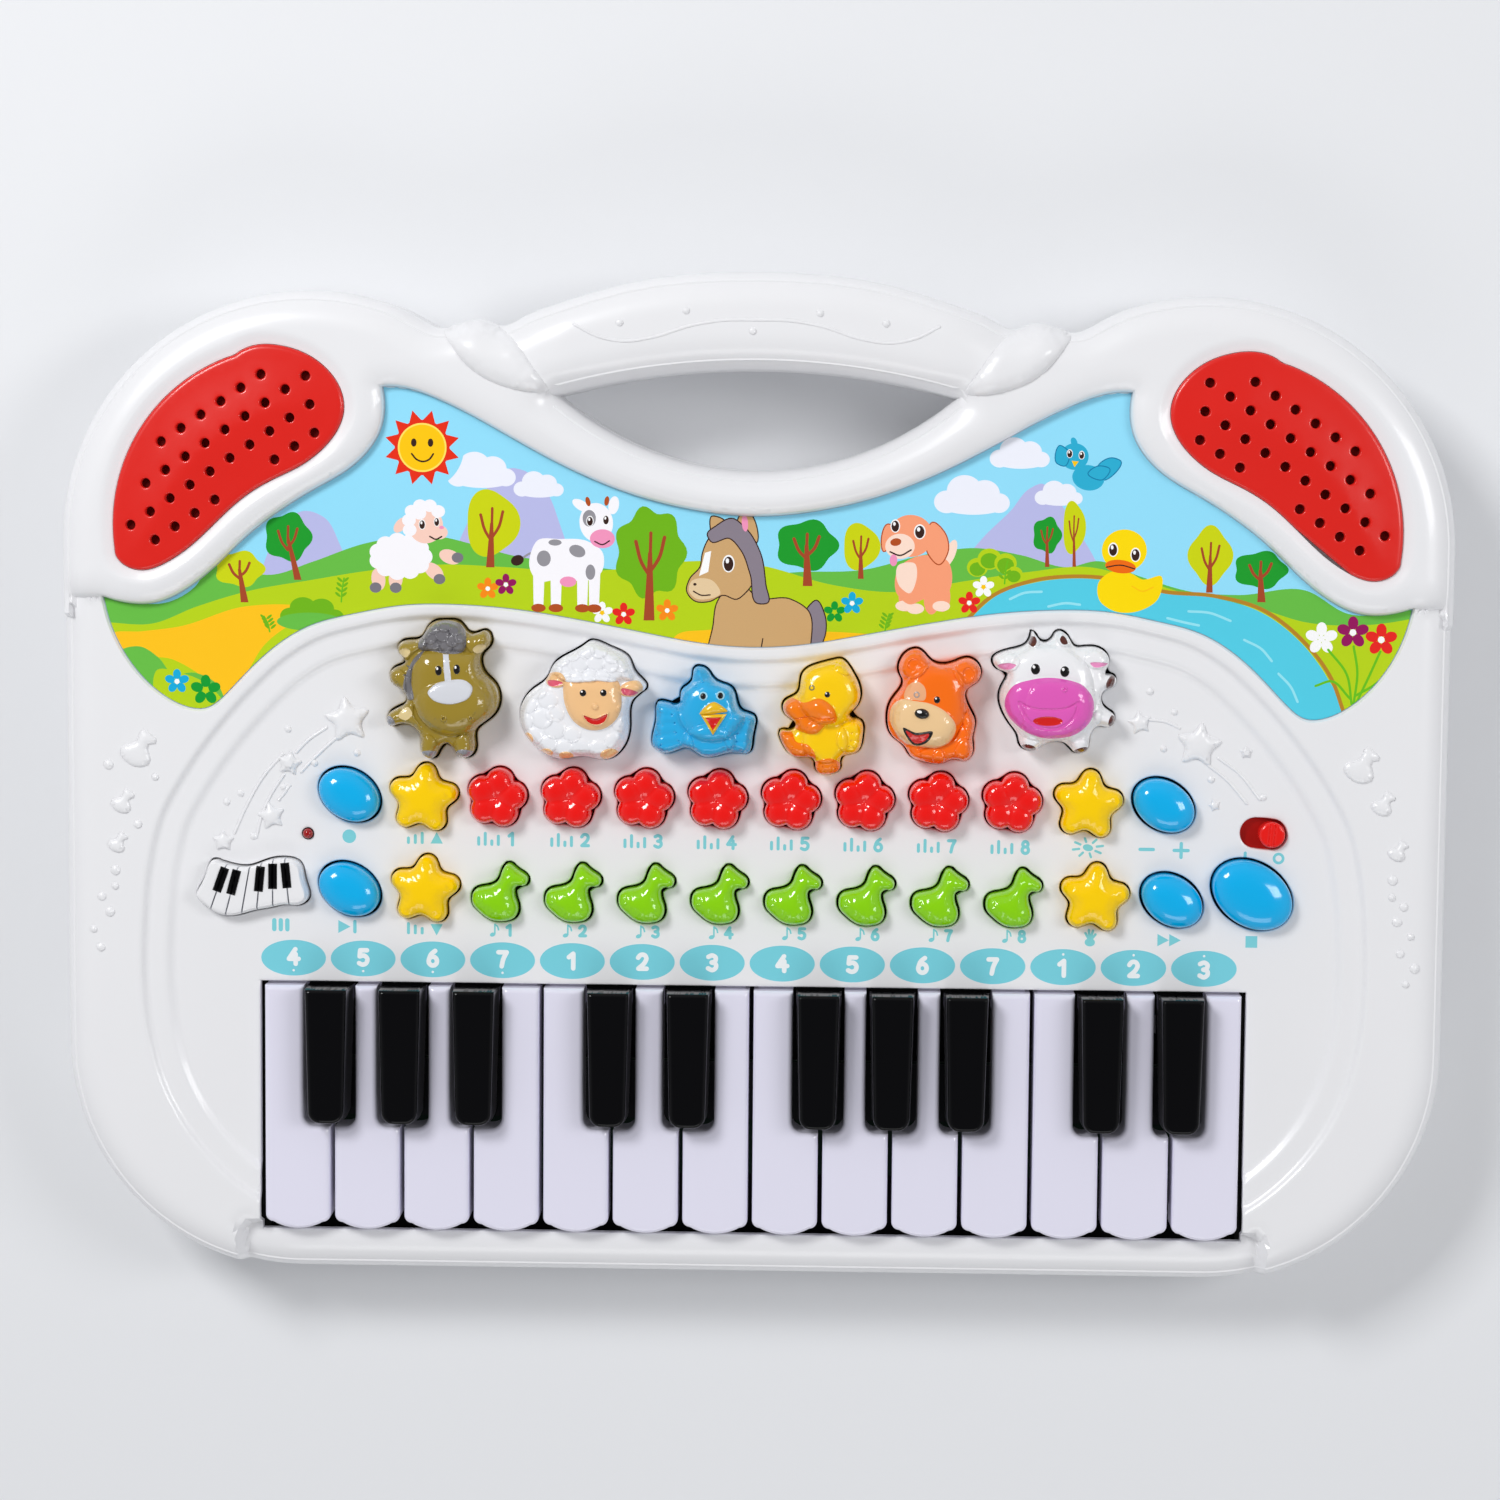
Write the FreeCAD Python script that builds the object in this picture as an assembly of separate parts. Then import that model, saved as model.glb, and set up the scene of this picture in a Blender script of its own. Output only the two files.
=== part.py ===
"""Toy electronic keyboard: every piece as its own solid, one STEP file per node.

Millimetres. X runs left to right, Y from the keys towards the carrying handle, Z up from the table.
The origin is the centre of the footprint on the table, under the rubber feet.
"""
import FreeCAD, Part
import math
import os

# ------------------------------------------------------------------ driving dimensions: casing
HALF_WIDTH = 200.0
HALF_DEPTH = 146.0
FRONT_CORNER_RADIUS = 68.0
SHOULDER_RADIUS = 72.0
SHOULDER_CENTRE_Y = 68.0
SHOULDER_SWEEP = 107.8          # degrees of arc from the side of the casing round to the handle
WALL = 2.5
SKIN = 2.4                      # thickness of the floor and of the top panels

# heights
CASE_BOTTOM = 3.0
HANDLE_BOTTOM = 12.0
PARTING_PLANE = 22.0
LEDGE_TOP = 33.0
PANEL_TOP = 36.0
STEP_TOP = 37.4
LABEL_BED = 37.7
LABEL_TOP = 38.0
RIM_TOP = 39.0
SHOULDER_TOP = 43.0
PANEL_UNDERSIDE = PANEL_TOP - SKIN
FLOOR_TOP = CASE_BOTTOM + SKIN
STEP_WIDTH = 8.0                # width of the lower step that runs round inside the arch

# ------------------------------------------------------------------ driving dimensions: keys
WHITE_KEYS = 14
KEY_PITCH = 20.3
KEY_GAP = 1.3
OPENING_BACK = -59.5
OPENING_FRONT = -133.3
OPENING_HALF_WIDTH = 143.0
WHITE_BACK = -60.5
WHITE_FRONT = -132.2
WHITE_TOP = 38.6
WHITE_BOTTOM = 26.6
BLACK_FRONT = -100.5
BLACK_TOP = 46.6
BLACK_BOTTOM = 30.0
BLACK_HALF_WIDTH = 6.6
BLACK_TAPER = 0.8
NOTCH_ROUNDING = 3.4
NOTCH_HALF_WIDTH = 7.5
NOTCH_FRONT = -102.0
KEY_SKIN = 1.6
HINGE_Y = -52.0
HINGE_Z = 28.0
ROD_RADIUS = 1.5
BORE_RADIUS = 1.58
TAIL_HALF_HEIGHT = 3.0
TAIL_BACK = HINGE_Y + 3.6
TAIL_ROOT = -66.0
PLUNGER_BOTTOM = 24.0
WHITE_PLUNGER_Y = -97.0
BLACK_PLUNGER_Y = -88.0
PLUNGER_RADIUS = 2.5
KEY_LETTERS = "FGABCDE" * 2
BLACK_SHIFT = {"F": -0.8, "G": 0.2, "A": 1.3, "C": -0.5, "D": 2.2}

# ------------------------------------------------------------------ driving dimensions: buttons
BUTTON_GAP = 0.45
FLANGE = 0.75
FLANGE_TOP = PANEL_UNDERSIDE - 0.4
FLANGE_THICKNESS = 1.8
STEM_RADIUS = 3.0
STEM_BOTTOM = 28.1
OVAL_TOP = 41.0
STAR_TOP = 41.0
FLOWER_TOP = 40.6
NOTE_TOP = 40.2
PIANO_TOP = 40.6
ANIMAL_TOP = 49.0
BANK_COUNT = 8
BANK_PITCH = 21.2

# ------------------------------------------------------------------ driving dimensions: inside
BOARD_BOTTOM = 22.6
BOARD_THICKNESS = 1.6
BOARD_TOP = BOARD_BOTTOM + BOARD_THICKNESS
PAD_BASE = 0.8
BUTTON_DOME_TOP = 26.0
CHASSIS_FLOOR = 15.0
CHASSIS_TOP = 17.0
KEY_BOARD_BOTTOM = 18.0
KEY_DOME_TOP = 21.6
DOME_RADIUS = 2.8
CELL_RADIUS = 7.25
CELL_LENGTH = 50.5
CELL_PITCH = 15.5
CELL_ROW_Y = 30.0
CELL_Z = 12.6
BAY_HALF_WIDTH = 33.0
BAY_HALF_DEPTH = 26.5
BAY_ROOF = 20.5
SPEAKER_X = 151.0
SPEAKER_Y = 97.0
SPEAKER_RADIUS = 22.5
SCREW_RADIUS = 1.5
SCREW_HEAD_RADIUS = 3.0
SCREW_HEAD_HEIGHT = 2.2
SCREW_LENGTH = 10.0
BOSS_RADIUS = 4.6
FOOT_RADIUS = 8.0
FOOT_RECESS = 0.8

CASE_SCREWS = [(184, 10), (165, -108), (112, 122), (62, 66)]
BOARD_SCREWS = [(155, 28), (86, -36.8)]
CHASSIS_SCREWS = [(120, -72), (120, -128)]
FEET = [(135, -120), (165, 50)]

# ------------------------------------------------------------------ outlines, right-hand half first
# crest of the casing from the end of the shoulder arc over the handle to the middle
CREST = [(97, 132.2), (90, 129.6), (82, 132), (76.5, 131.6), (73.5, 130.4),
         (68, 132.4), (58, 136.4), (38, 142.4), (20, 145.2), (0, HALF_DEPTH)]
# lens-shaped opening behind the handle: tip, height of its upper arc, height of its lower arc
LENS_TIP = (57.0, 110.5)
LENS_TOP = 118.3
LENS_BOTTOM = 89.4
# edge of the picture label: lower edge, edge along the speaker shoulder, edge under the handle
LABEL_LOWER = [(0, 39.2), (15, 40.2), (30, 42.8), (48, 46.2), (71, 49.7), (87, 50.7), (102, 50.2),
               (115, 47.8), (128, 44.2), (137.6, 38.5), (146.5, 30.4), (152.6, 24), (158.3, 20.1),
               (163, 20.3), (169.5, 23.2), (176, 28.6), (182.2, 37), (187.5, 51.8)]
LABEL_SIDE = [(187.5, 51.8), (180.2, 50), (172.5, 50.2), (163.8, 54), (156, 60), (146, 69.5),
              (137, 76.5), (126, 83.4), (116.6, 89), (110.7, 94.6), (107.2, 100.8), (106.2, 106.5),
              (106.7, 112.5)]
LABEL_UPPER = [(106.7, 112.5), (99.6, 112), (92, 109.5), (79.3, 103.4), (65, 95.5), (50.6, 88.3),
               (32.4, 81.5), (18, 78.2), (0, 76.5)]
# arch that frames the lowered control panel, from the top middle round to the key opening
ARCH = [(0, 35.6), (15, 36.5), (30, 39.2), (48, 42.7), (71, 46.2), (87, 47.4), (101, 46.9),
        (114, 44.4), (126, 40.8), (135.3, 35.2), (143.7, 27.7), (150.2, 20.8), (156.7, 13),
        (165, 1.1), (171.5, -11), (175.1, -25.2), (176.8, -42), (177, -61.7), (175.2, -77),
        (171.2, -90.8), (164.5, -103.4), (156.5, -113.2), (147.6, -121), (138, -127)]
# speaker grille: inner side, then the outer side is an arc about the shoulder
GRILLE = [(183.1, 63.9), (180, 60.8), (175.3, 59.8), (169.2, 61.8), (162.2, 66.4), (153, 75),
          (145.5, 81.5), (138, 86), (130, 90), (123.5, 95), (119, 101), (117.5, 106.3),
          (118.7, 112.3), (122.6, 117.7), (128.5, 121.8), (135.1, 123.9), (141.8, 124.2),
          (148.6, 121.3)]
GRILLE_ARC_RADIUS = 57.6
GRILLE_TOP = 43.4

# animal buttons
HORSE = [(-89.9, 46.2), (-93.5, 44.4), (-95.7, 41.1), (-101.6, 39.6), (-102.2, 37.1), (-100, 34.2),
         (-104.1, 31.7), (-103.9, 27.9), (-100, 25), (-99.6, 23.4), (-105.3, 18.4), (-104.9, 15.8),
         (-101.2, 16.2), (-95.8, 12.6), (-95.2, 7.5), (-92.1, 6.4), (-90.3, 9), (-87.9, 10.8),
         (-85.1, 7.6), (-82.2, 6.7), (-80.4, 8.4), (-80.2, 13.9), (-75.2, 18.7), (-73.2, 23.8),
         (-74.7, 28.2), (-77.5, 31.1), (-78.2, 36.6), (-75.6, 39.9), (-76.7, 43.2), (-81.1, 42.4),
         (-84.4, 45.5)]
SHEEP = [(-47.9, 40.2), (-52.6, 37.2), (-57.7, 33.5), (-59.5, 29.8), (-63.6, 26.5), (-66.8, 21.7),
         (-67, 17.3), (-64.6, 12.2), (-60.6, 8.6), (-54.7, 6.6), (-48.8, 7.4), (-41.5, 6.7),
         (-37.8, 9.5), (-35.7, 16.2), (-34.3, 24.2), (-30.9, 27.6), (-34, 31.6), (-35.8, 35.6),
         (-41.7, 39.1)]
BIRD = [(-15.5, 33.6), (-17, 33.2), (-17.9, 29.5), (-20.8, 26.6), (-21.5, 22.9), (-27.7, 23.2),
        (-28, 20.6), (-28.4, 16.2), (-28.7, 10.4), (-24.6, 8.6), (-18.8, 10.1), (-15.1, 8),
        (-10.7, 7.8), (-6.2, 8.9), (-1.2, 9), (-0.1, 13.8), (0.1, 19.5), (-3.4, 21), (-6.3, 27.5),
        (-11.1, 29.8)]
DUCK = [(24.2, 36.2), (19.4, 35), (13.8, 31.7), (12.3, 26), (8.7, 23.6), (9.1, 20), (12, 17.2),
        (10.8, 15.6), (7.6, 15.5), (8.4, 11.5), (12.5, 7.9), (17.3, 7.2), (18.2, 3.9), (22.6, 3.1),
        (25, 4.8), (25.2, 7.8), (29.4, 9.3), (31.4, 14.2), (30.5, 18.6), (27.4, 19.8), (29.2, 22.2),
        (30.6, 27), (28.3, 32.6)]
DOG = [(45.9, 39.3), (42.3, 36.8), (41.5, 32.8), (42.6, 30), (39.7, 24.7), (38.3, 19.9), (39.8, 14.2),
       (43.5, 11), (45.2, 8.4), (48.2, 7.1), (51.6, 6.4), (54.5, 6.6), (57.2, 7.8), (60.9, 7.3),
       (62.9, 9.7), (62.8, 13.7), (63.5, 18.5), (61.8, 22.5), (60.9, 27.6), (64.1, 30.2), (64.7, 34.2),
       (61.2, 36.8), (56.8, 35.4), (50.8, 35.9)]
COW = [(79.1, 44.6), (77.2, 40.6), (72.4, 39.1), (68.3, 36.3), (70.1, 33.5), (72.4, 32.6), (71, 28.6),
       (70.9, 22.6), (73.6, 17.8), (75.8, 14.4), (76.7, 11.6), (80.2, 10.5), (82.8, 12), (89.8, 12.2),
       (92.3, 9.9), (95.6, 10.8), (96.2, 13.6), (98.6, 17.6), (102, 17.5), (103.4, 20.4), (100.2, 23.4),
       (100, 27.6), (102.8, 29), (103.2, 32), (100.4, 32.6), (101.4, 35.4), (100.6, 38.6),
       (96.5, 40.4), (91.4, 40.6), (89.4, 43.6), (86.9, 44.8), (84.8, 42.4), (81.6, 42.2)]
ANIMALS = {"horse": HORSE, "sheep": SHEEP, "bird": BIRD, "duck": DUCK, "dog": DOG, "cow": COW}

# mini keyboard on the piano button, and a musical note about its own centre
PIANO = [(-155.5, -24.1), (-151.4, -25.4), (-145.9, -25.9), (-140.9, -24.2), (-134.9, -23.4),
         (-131.4, -24.6), (-129.8, -29.6), (-128.9, -35.2), (-131.4, -37), (-135, -36.9),
         (-139.2, -37.7), (-145.2, -38.9), (-148.6, -39.9), (-153.2, -40.2), (-157.9, -37.9),
         (-161, -34.6), (-158.8, -29.4)]
NOTE = [(-8.4, -1.7), (-6.8, 1.1), (-3.1, 2), (-0.9, 3.3), (0.6, 6.8), (2.2, 8.5), (5.2, 6.6),
        (8.1, 3.9), (7.4, 2), (4.6, 1.3), (4.3, -0.6), (5.3, -4.4), (4.4, -7.4), (1.5, -8.6),
        (-3.1, -8.1), (-6.8, -5.3)]

# round controls: name, centre, long and short half-axis
OVAL_TILT = -32.0
OVALS = {"record": (-116.8, -4.8, 9.5, 7.2), "replay": (-116.8, -32.3, 9.5, 7.2),
         "volume": (118.1, -5.3, 9.5, 7.2), "demo": (120.9, -32.8, 9.5, 7.2),
         "stop": (143.9, -30.9, 12.4, 9.3)}
STARS = {"tempo_up": (-95.3, -5.6), "tempo_down": (-94.9, -32.2),
         "drum": (96.3, -5.4), "clap": (98.6, -32.4)}
RHYTHM_ROW = (-74.0, -5.1)
SONG_ROW = (-72.9, -32.5)
LED_PLACE = (-129.0, -16.3)
SWITCH_PLACE = (147.0, -13.3)
SWITCH_TILT = -5.0
SLOT_LENGTH = 13.7
SLOT_WIDTH = 9.1
KNOB_OFFSET = 2.25              # the knob stands this far right of the slot's middle when off
KNOB_RADIUS = 3.7


# ------------------------------------------------------------------ plane geometry
def V(x, y, z=0.0):
    return FreeCAD.Vector(x, y, z)


def mirrored(points):
    return [(-x, y) for x, y in points]


def spline(points, closed=False):
    curve = Part.BSplineCurve()
    curve.interpolate(Points=[V(p[0], p[1]) for p in points], PeriodicFlag=closed)
    return curve.toShape()


def arc_chain(points):
    """Closed wire of short arcs, each through three neighbouring points; lines where it is straight or sharp."""
    straight, sharp = math.radians(0.6), math.radians(55)
    edges = []
    count = len(points)
    for i in range(0, count - 1, 2):
        a, b, c = points[i], points[i + 1], points[(i + 2) % count]
        turn = (b - a).getAngle(c - b)
        if turn < straight:
            edges.append(Part.LineSegment(a, c).toShape())
        elif turn > sharp:
            edges += [Part.LineSegment(a, b).toShape(), Part.LineSegment(b, c).toShape()]
        else:
            edges.append(Part.Arc(a, b, c).toShape())
    if count % 2:
        edges.append(Part.LineSegment(points[-1], points[0]).toShape())
    return Part.Wire(edges)


def closed_loop(points):
    """Smooth closed wire through the points."""
    return arc_chain(sampled(Part.Wire(spline(points, closed=True)), 1.3))


def sampled(wire, spacing):
    """Points along a closed wire, counter-clockwise."""
    count = max(36, int(wire.Length / spacing))
    points = wire.discretize(Number=count + 1)[:-1]
    pairs = zip(points, points[1:] + points[:1])
    area = sum(a.x * b.y - b.x * a.y for a, b in pairs)
    return points if area > 0 else points[::-1]


def distance_to(x, y, sides):
    """Distance from a point to the nearest of several straight sides."""
    best = float("inf")
    for ax, ay, dx, dy, squared in sides:
        t = ((x - ax) * dx + (y - ay) * dy) / squared
        t = min(1.0, max(0.0, t))
        best = min(best, (x - ax - t * dx) ** 2 + (y - ay - t * dy) ** 2)
    return math.sqrt(best)


def grown_points(points, distance, closed=True):
    """The points moved outwards by distance (inwards when negative), without those that cross over."""
    kept = []
    slack = 0.02
    sides = []
    for a, b in zip(points, points[1:] + (points[:1] if closed else [])):
        sides.append((a.x, a.y, b.x - a.x, b.y - a.y, (b.x - a.x) ** 2 + (b.y - a.y) ** 2))
    for i, point in enumerate(points):
        before = points[i - 1] if closed or i else point
        after = points[(i + 1) % len(points)] if closed or i + 1 < len(points) else point
        along = after - before
        along.normalize()
        moved = point + V(along.y, -along.x) * distance
        if distance_to(moved.x, moved.y, sides) > abs(distance) - slack:
            kept.append(moved)
    return kept


def spread(points, spacing):
    """The points with any that crowd the one before them left out."""
    kept = [points[0]]
    for point in points[1:]:
        if (point - kept[-1]).Length > spacing and (point - points[0]).Length > spacing:
            kept.append(point)
    return kept


def grown(wire, distance, spacing=1.3):
    """A closed wire offset outwards by distance, inwards when negative."""
    points = grown_points(sampled(wire, spacing), distance)
    return arc_chain(spread(points, 0.5 * spacing))


def rounded_polygon(corners, radius):
    """Closed wire of straight sides with every corner rounded."""
    edges = []
    previous_end = None
    first_start = None
    for i, corner in enumerate(corners):
        here = V(*corner)
        back = (V(*corners[i - 1]) - here).normalize()
        ahead = (V(*corners[(i + 1) % len(corners)]) - here).normalize()
        half_angle = back.getAngle(ahead) / 2.0
        reach = radius / math.tan(half_angle)
        bisector = (back + ahead).normalize()
        middle = here + bisector * (radius / math.sin(half_angle) - radius)
        start, end = here + back * reach, here + ahead * reach
        if previous_end is not None:
            edges.append(Part.LineSegment(previous_end, start).toShape())
        else:
            first_start = start
        edges.append(Part.Arc(start, middle, end).toShape())
        previous_end = end
    edges.append(Part.LineSegment(previous_end, first_start).toShape())
    return Part.Wire(edges)


def arc_about(centre, radius, start, end):
    """Arc about a centre between two angles in degrees."""
    points = []
    for degrees in (start, (start + end) / 2.0, end):
        angle = math.radians(degrees)
        points.append(centre + V(math.cos(angle), math.sin(angle)) * radius)
    return Part.Arc(*points).toShape()


# ------------------------------------------------------------------ solid helpers
def prism(wire, bottom, top):
    """Straight-sided solid over a closed wire, or over a face."""
    face = wire if wire.ShapeType == "Face" else Part.Face(wire)
    raised = face.copy()
    raised.translate(V(0, 0, bottom))
    return raised.extrude(V(0, 0, top - bottom))


def box(x0, x1, y0, y1, z0, z1):
    return Part.makeBox(x1 - x0, y1 - y0, z1 - z0, V(x0, y0, z0))


def post(x, y, radius, z0, z1):
    return Part.makeCylinder(radius, z1 - z0, V(x, y, z0))


def rod_along_x(radius, x0, x1, y, z):
    return Part.makeCylinder(radius, x1 - x0, V(x0, y, z), V(1, 0, 0))


def joined(pieces):
    return pieces[0].multiFuse(pieces[1:]).removeSplitter()


def both_sides(places):
    return [(side * x, y) for x, y in places for side in (1, -1)]


def save(name, pieces):
    """Write one node: a single solid, or a group of separate solids."""
    if not isinstance(pieces, list):
        pieces = [pieces]
    solids = [solid for piece in pieces for solid in piece.Solids]
    shape = solids[0] if len(solids) == 1 else Part.makeCompound(solids)
    shape.exportStep("parts/" + name + ".step")


# ------------------------------------------------------------------ outlines of the casing
def lens_wire():
    tip_x, tip_y = LENS_TIP
    left, right = V(-tip_x, tip_y), V(tip_x, tip_y)
    return Part.Wire([Part.Arc(left, V(0, LENS_BOTTOM), right).toShape(),
                      Part.Arc(right, V(0, LENS_TOP), left).toShape()])


def crest_edge(inset):
    """Top edge of the casing over the handle, from the right shoulder to the left one."""
    centre = V(HALF_WIDTH - SHOULDER_RADIUS, SHOULDER_CENTRE_Y)
    angle = math.radians(SHOULDER_SWEEP)
    outward = V(math.cos(angle), math.sin(angle))
    end = centre + outward * SHOULDER_RADIUS
    half = [(end.x, end.y)] + CREST
    edge = spline(half + mirrored(half[:-1])[::-1])
    if not inset:
        return edge
    points = edge.discretize(Number=160)
    moved = spread(grown_points(points[1:-1], -inset, closed=False), 2.0)
    ends = [centre + outward * (SHOULDER_RADIUS - inset)]
    ends.append(V(-ends[0].x, ends[0].y))
    inner = [p for p in moved if (p - ends[0]).Length > 1.5 and (p - ends[1]).Length > 1.5]
    return spline(ends[:1] + inner + ends[1:])


def casing_face(inset=0.0):
    """Plan of the casing with the handle opening, drawn in by inset from every edge."""
    corner = V(HALF_WIDTH - FRONT_CORNER_RADIUS, FRONT_CORNER_RADIUS - HALF_DEPTH)
    shoulder = V(HALF_WIDTH - SHOULDER_RADIUS, SHOULDER_CENTRE_Y)
    corner_radius = FRONT_CORNER_RADIUS - inset
    shoulder_radius = SHOULDER_RADIUS - inset
    side = HALF_WIDTH - inset
    front = inset - HALF_DEPTH
    left_corner, left_shoulder = V(-corner.x, corner.y), V(-shoulder.x, shoulder.y)
    edges = [Part.LineSegment(V(-corner.x, front), V(corner.x, front)).toShape(),
             arc_about(corner, corner_radius, -90, 0),
             Part.LineSegment(V(side, corner.y), V(side, shoulder.y)).toShape(),
             arc_about(shoulder, shoulder_radius, 0, SHOULDER_SWEEP),
             crest_edge(inset),
             arc_about(left_shoulder, shoulder_radius, 180 - SHOULDER_SWEEP, 180),
             Part.LineSegment(V(-side, shoulder.y), V(-side, corner.y)).toShape(),
             arc_about(left_corner, corner_radius, 180, 270)]
    opening = grown(lens_wire(), inset, 2.5) if inset else lens_wire()
    return Part.Face(Part.Wire(edges)).cut(Part.Face(opening)).Faces[0]


def label_wire():
    lower = mirrored(LABEL_LOWER[:0:-1]) + LABEL_LOWER
    upper = LABEL_UPPER + mirrored(LABEL_UPPER[:-1])[::-1]
    return Part.Wire([spline(lower), spline(LABEL_SIDE), spline(upper),
                      spline(mirrored(LABEL_SIDE)[::-1])])


def arch_wire():
    """Edge of the lowered panel; its straight end lies inside the key opening."""
    half = ARCH[::-1]
    curve = spline(half + mirrored(ARCH[1:]))
    return Part.Wire([curve, Part.LineSegment(V(-ARCH[-1][0], ARCH[-1][1]),
                                              V(ARCH[-1][0], ARCH[-1][1])).toShape()])


def back_region(drop=0.0):
    """Everything behind the label: the two speaker shoulders and the base of the handle."""
    beyond = 20.0
    edge_x = HALF_WIDTH + beyond
    far = HALF_DEPTH + beyond
    tip_x, tip_y = LABEL_SIDE[0]
    upper = LABEL_UPPER + mirrored(LABEL_UPPER[:-1])[::-1]
    edges = [Part.LineSegment(V(edge_x, tip_y), V(tip_x, tip_y)).toShape(),
             spline(LABEL_SIDE), spline(upper), spline(mirrored(LABEL_SIDE)[::-1]),
             Part.LineSegment(V(-tip_x, tip_y), V(-edge_x, tip_y)).toShape(),
             Part.LineSegment(V(-edge_x, tip_y), V(-edge_x, far)).toShape(),
             Part.LineSegment(V(-edge_x, far), V(edge_x, far)).toShape(),
             Part.LineSegment(V(edge_x, far), V(edge_x, tip_y)).toShape()]
    wire = Part.Wire(edges)
    return grown(wire, -drop, 3.0) if drop else wire


def grille_wire():
    """Outline of the right-hand speaker grille."""
    centre = V(HALF_WIDTH - SHOULDER_RADIUS, SHOULDER_CENTRE_Y)
    first, last = V(*GRILLE[0]), V(*GRILLE[-1])
    middle = (first - centre).normalize() + (last - centre).normalize()
    crown = centre + middle.normalize() * GRILLE_ARC_RADIUS
    return Part.Wire([spline(GRILLE), Part.Arc(last, crown, first).toShape()])


# ------------------------------------------------------------------ outlines of the buttons
def oval_wire(x, y, long_axis, short_axis):
    wire = Part.Wire(Part.Ellipse(V(0, 0), long_axis, short_axis).toShape())
    wire.rotate(V(0, 0), V(0, 0, 1), OVAL_TILT)
    wire.translate(V(x, y))
    return wire


def star_wire(x, y):
    tip_radius, waist_radius, rounding, tilt = 13.7, 6.9, 2.8, -6.0
    corners = []
    for i in range(10):
        radius = tip_radius if i % 2 == 0 else waist_radius
        angle = math.radians(90 + tilt + 36 * i)
        corners.append((x + radius * math.cos(angle), y + radius * math.sin(angle)))
    return rounded_polygon(corners, rounding)


def flower_wire(x, y):
    petal_distance, petal_radius, tilt = 4.6, 4.15, 80.0
    points = []
    for step in range(60):
        from_axis = (step * 6.0 + 36.0) % 72.0 - 36.0
        sideways = petal_distance * math.sin(math.radians(from_axis))
        reach = petal_distance * math.cos(math.radians(from_axis))
        reach += math.sqrt(petal_radius ** 2 - sideways ** 2)
        angle = math.radians(tilt + step * 6.0)
        points.append(V(x + reach * math.cos(angle), y + reach * math.sin(angle)))
    return arc_chain(points)


def note_wire(x, y):
    return closed_loop([(x + px, y + py) for px, py in NOTE])


def slot_wire(length, width):
    """Rounded slot about the switch, tilted with it."""
    half, radius = (length - width) / 2.0, width / 2.0
    wire = Part.Wire([Part.LineSegment(V(-half, -radius), V(half, -radius)).toShape(),
                      arc_about(V(half, 0), radius, -90, 90),
                      Part.LineSegment(V(half, radius), V(-half, radius)).toShape(),
                      arc_about(V(-half, 0), radius, 90, 270)])
    wire.rotate(V(0, 0), V(0, 0, 1), SWITCH_TILT)
    wire.translate(V(*SWITCH_PLACE))
    return wire


def bank_places(row):
    return [(row[0] + BANK_PITCH * i, row[1]) for i in range(BANK_COUNT)]


# ------------------------------------------------------------------ buttons
def cap(wire, tiers):
    """Push-button cap: retaining flange under the panel, then tiers of (inset, top height)."""
    pieces = [prism(grown(wire, FLANGE), FLANGE_TOP - FLANGE_THICKNESS, FLANGE_TOP)]
    bottom = FLANGE_TOP
    for inset, top in tiers:
        outline = grown(wire, -inset) if inset else wire
        pieces.append(prism(outline, bottom, top))
        bottom = top
    return pieces


def stems(places):
    return [post(x, y, STEM_RADIUS, STEM_BOTTOM, FLANGE_TOP - FLANGE_THICKNESS) for x, y in places]


def simple_button(wire, top, place):
    return joined(cap(wire, [(0.0, top - 1.4), (1.5, top)]) + stems([place]))


def middle_of(wire):
    centre = Part.Face(wire).CenterOfMass
    return (centre.x, centre.y)


def animal_wire(name):
    return closed_loop(ANIMALS[name])


def animal_button(name):
    wire = animal_wire(name)
    tiers = [(0.0, ANIMAL_TOP - 5.0), (1.6, ANIMAL_TOP - 2.2), (3.6, ANIMAL_TOP)]
    return joined(cap(wire, tiers) + stems([middle_of(wire)]))


def button_bank(first_wire, places, top):
    """Caps of one row, joined by a bar at the height of their flanges."""
    pieces = []
    half_bar = 2.2
    for i in range(BANK_COUNT):
        for piece in cap(first_wire, [(0.0, top - 1.4), (1.5, top)]):
            piece.translate(V(i * BANK_PITCH, 0))
            pieces.append(piece)
    first, last = places[0], places[-1]
    pieces.append(box(first[0], last[0], first[1] - half_bar, first[1] + half_bar,
                      FLANGE_TOP - FLANGE_THICKNESS, FLANGE_TOP))
    return joined(pieces + stems(places))


def panel_controls():
    """Every push button: name, outline, height, and where its stems stand."""
    controls = []
    for name in ANIMALS:
        wire = animal_wire(name)
        controls.append((name + "_button", [wire], ANIMAL_TOP, [middle_of(wire)]))
    for name, oval in OVALS.items():
        controls.append((name + "_button", [oval_wire(*oval)], OVAL_TOP, [oval[:2]]))
    for name, place in STARS.items():
        controls.append((name + "_button", [star_wire(*place)], STAR_TOP, [place]))
    piano = closed_loop(PIANO)
    controls.append(("piano_button", [piano], PIANO_TOP, [middle_of(piano)]))
    flowers = bank_places(RHYTHM_ROW)
    controls.append(("rhythm_button_bank", [flower_wire(*p) for p in flowers], FLOWER_TOP, flowers))
    notes = bank_places(SONG_ROW)
    controls.append(("song_button_bank", [note_wire(*p) for p in notes], NOTE_TOP, notes))
    return controls


def make_buttons(controls):
    for name, wires, top, places in controls:
        if name.split("_")[0] in ANIMALS:
            save(name, animal_button(name.split("_")[0]))
        elif len(wires) > 1:
            save(name, button_bank(wires[0], places, top))
        else:
            save(name, simple_button(wires[0], top, places[0]))


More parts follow.
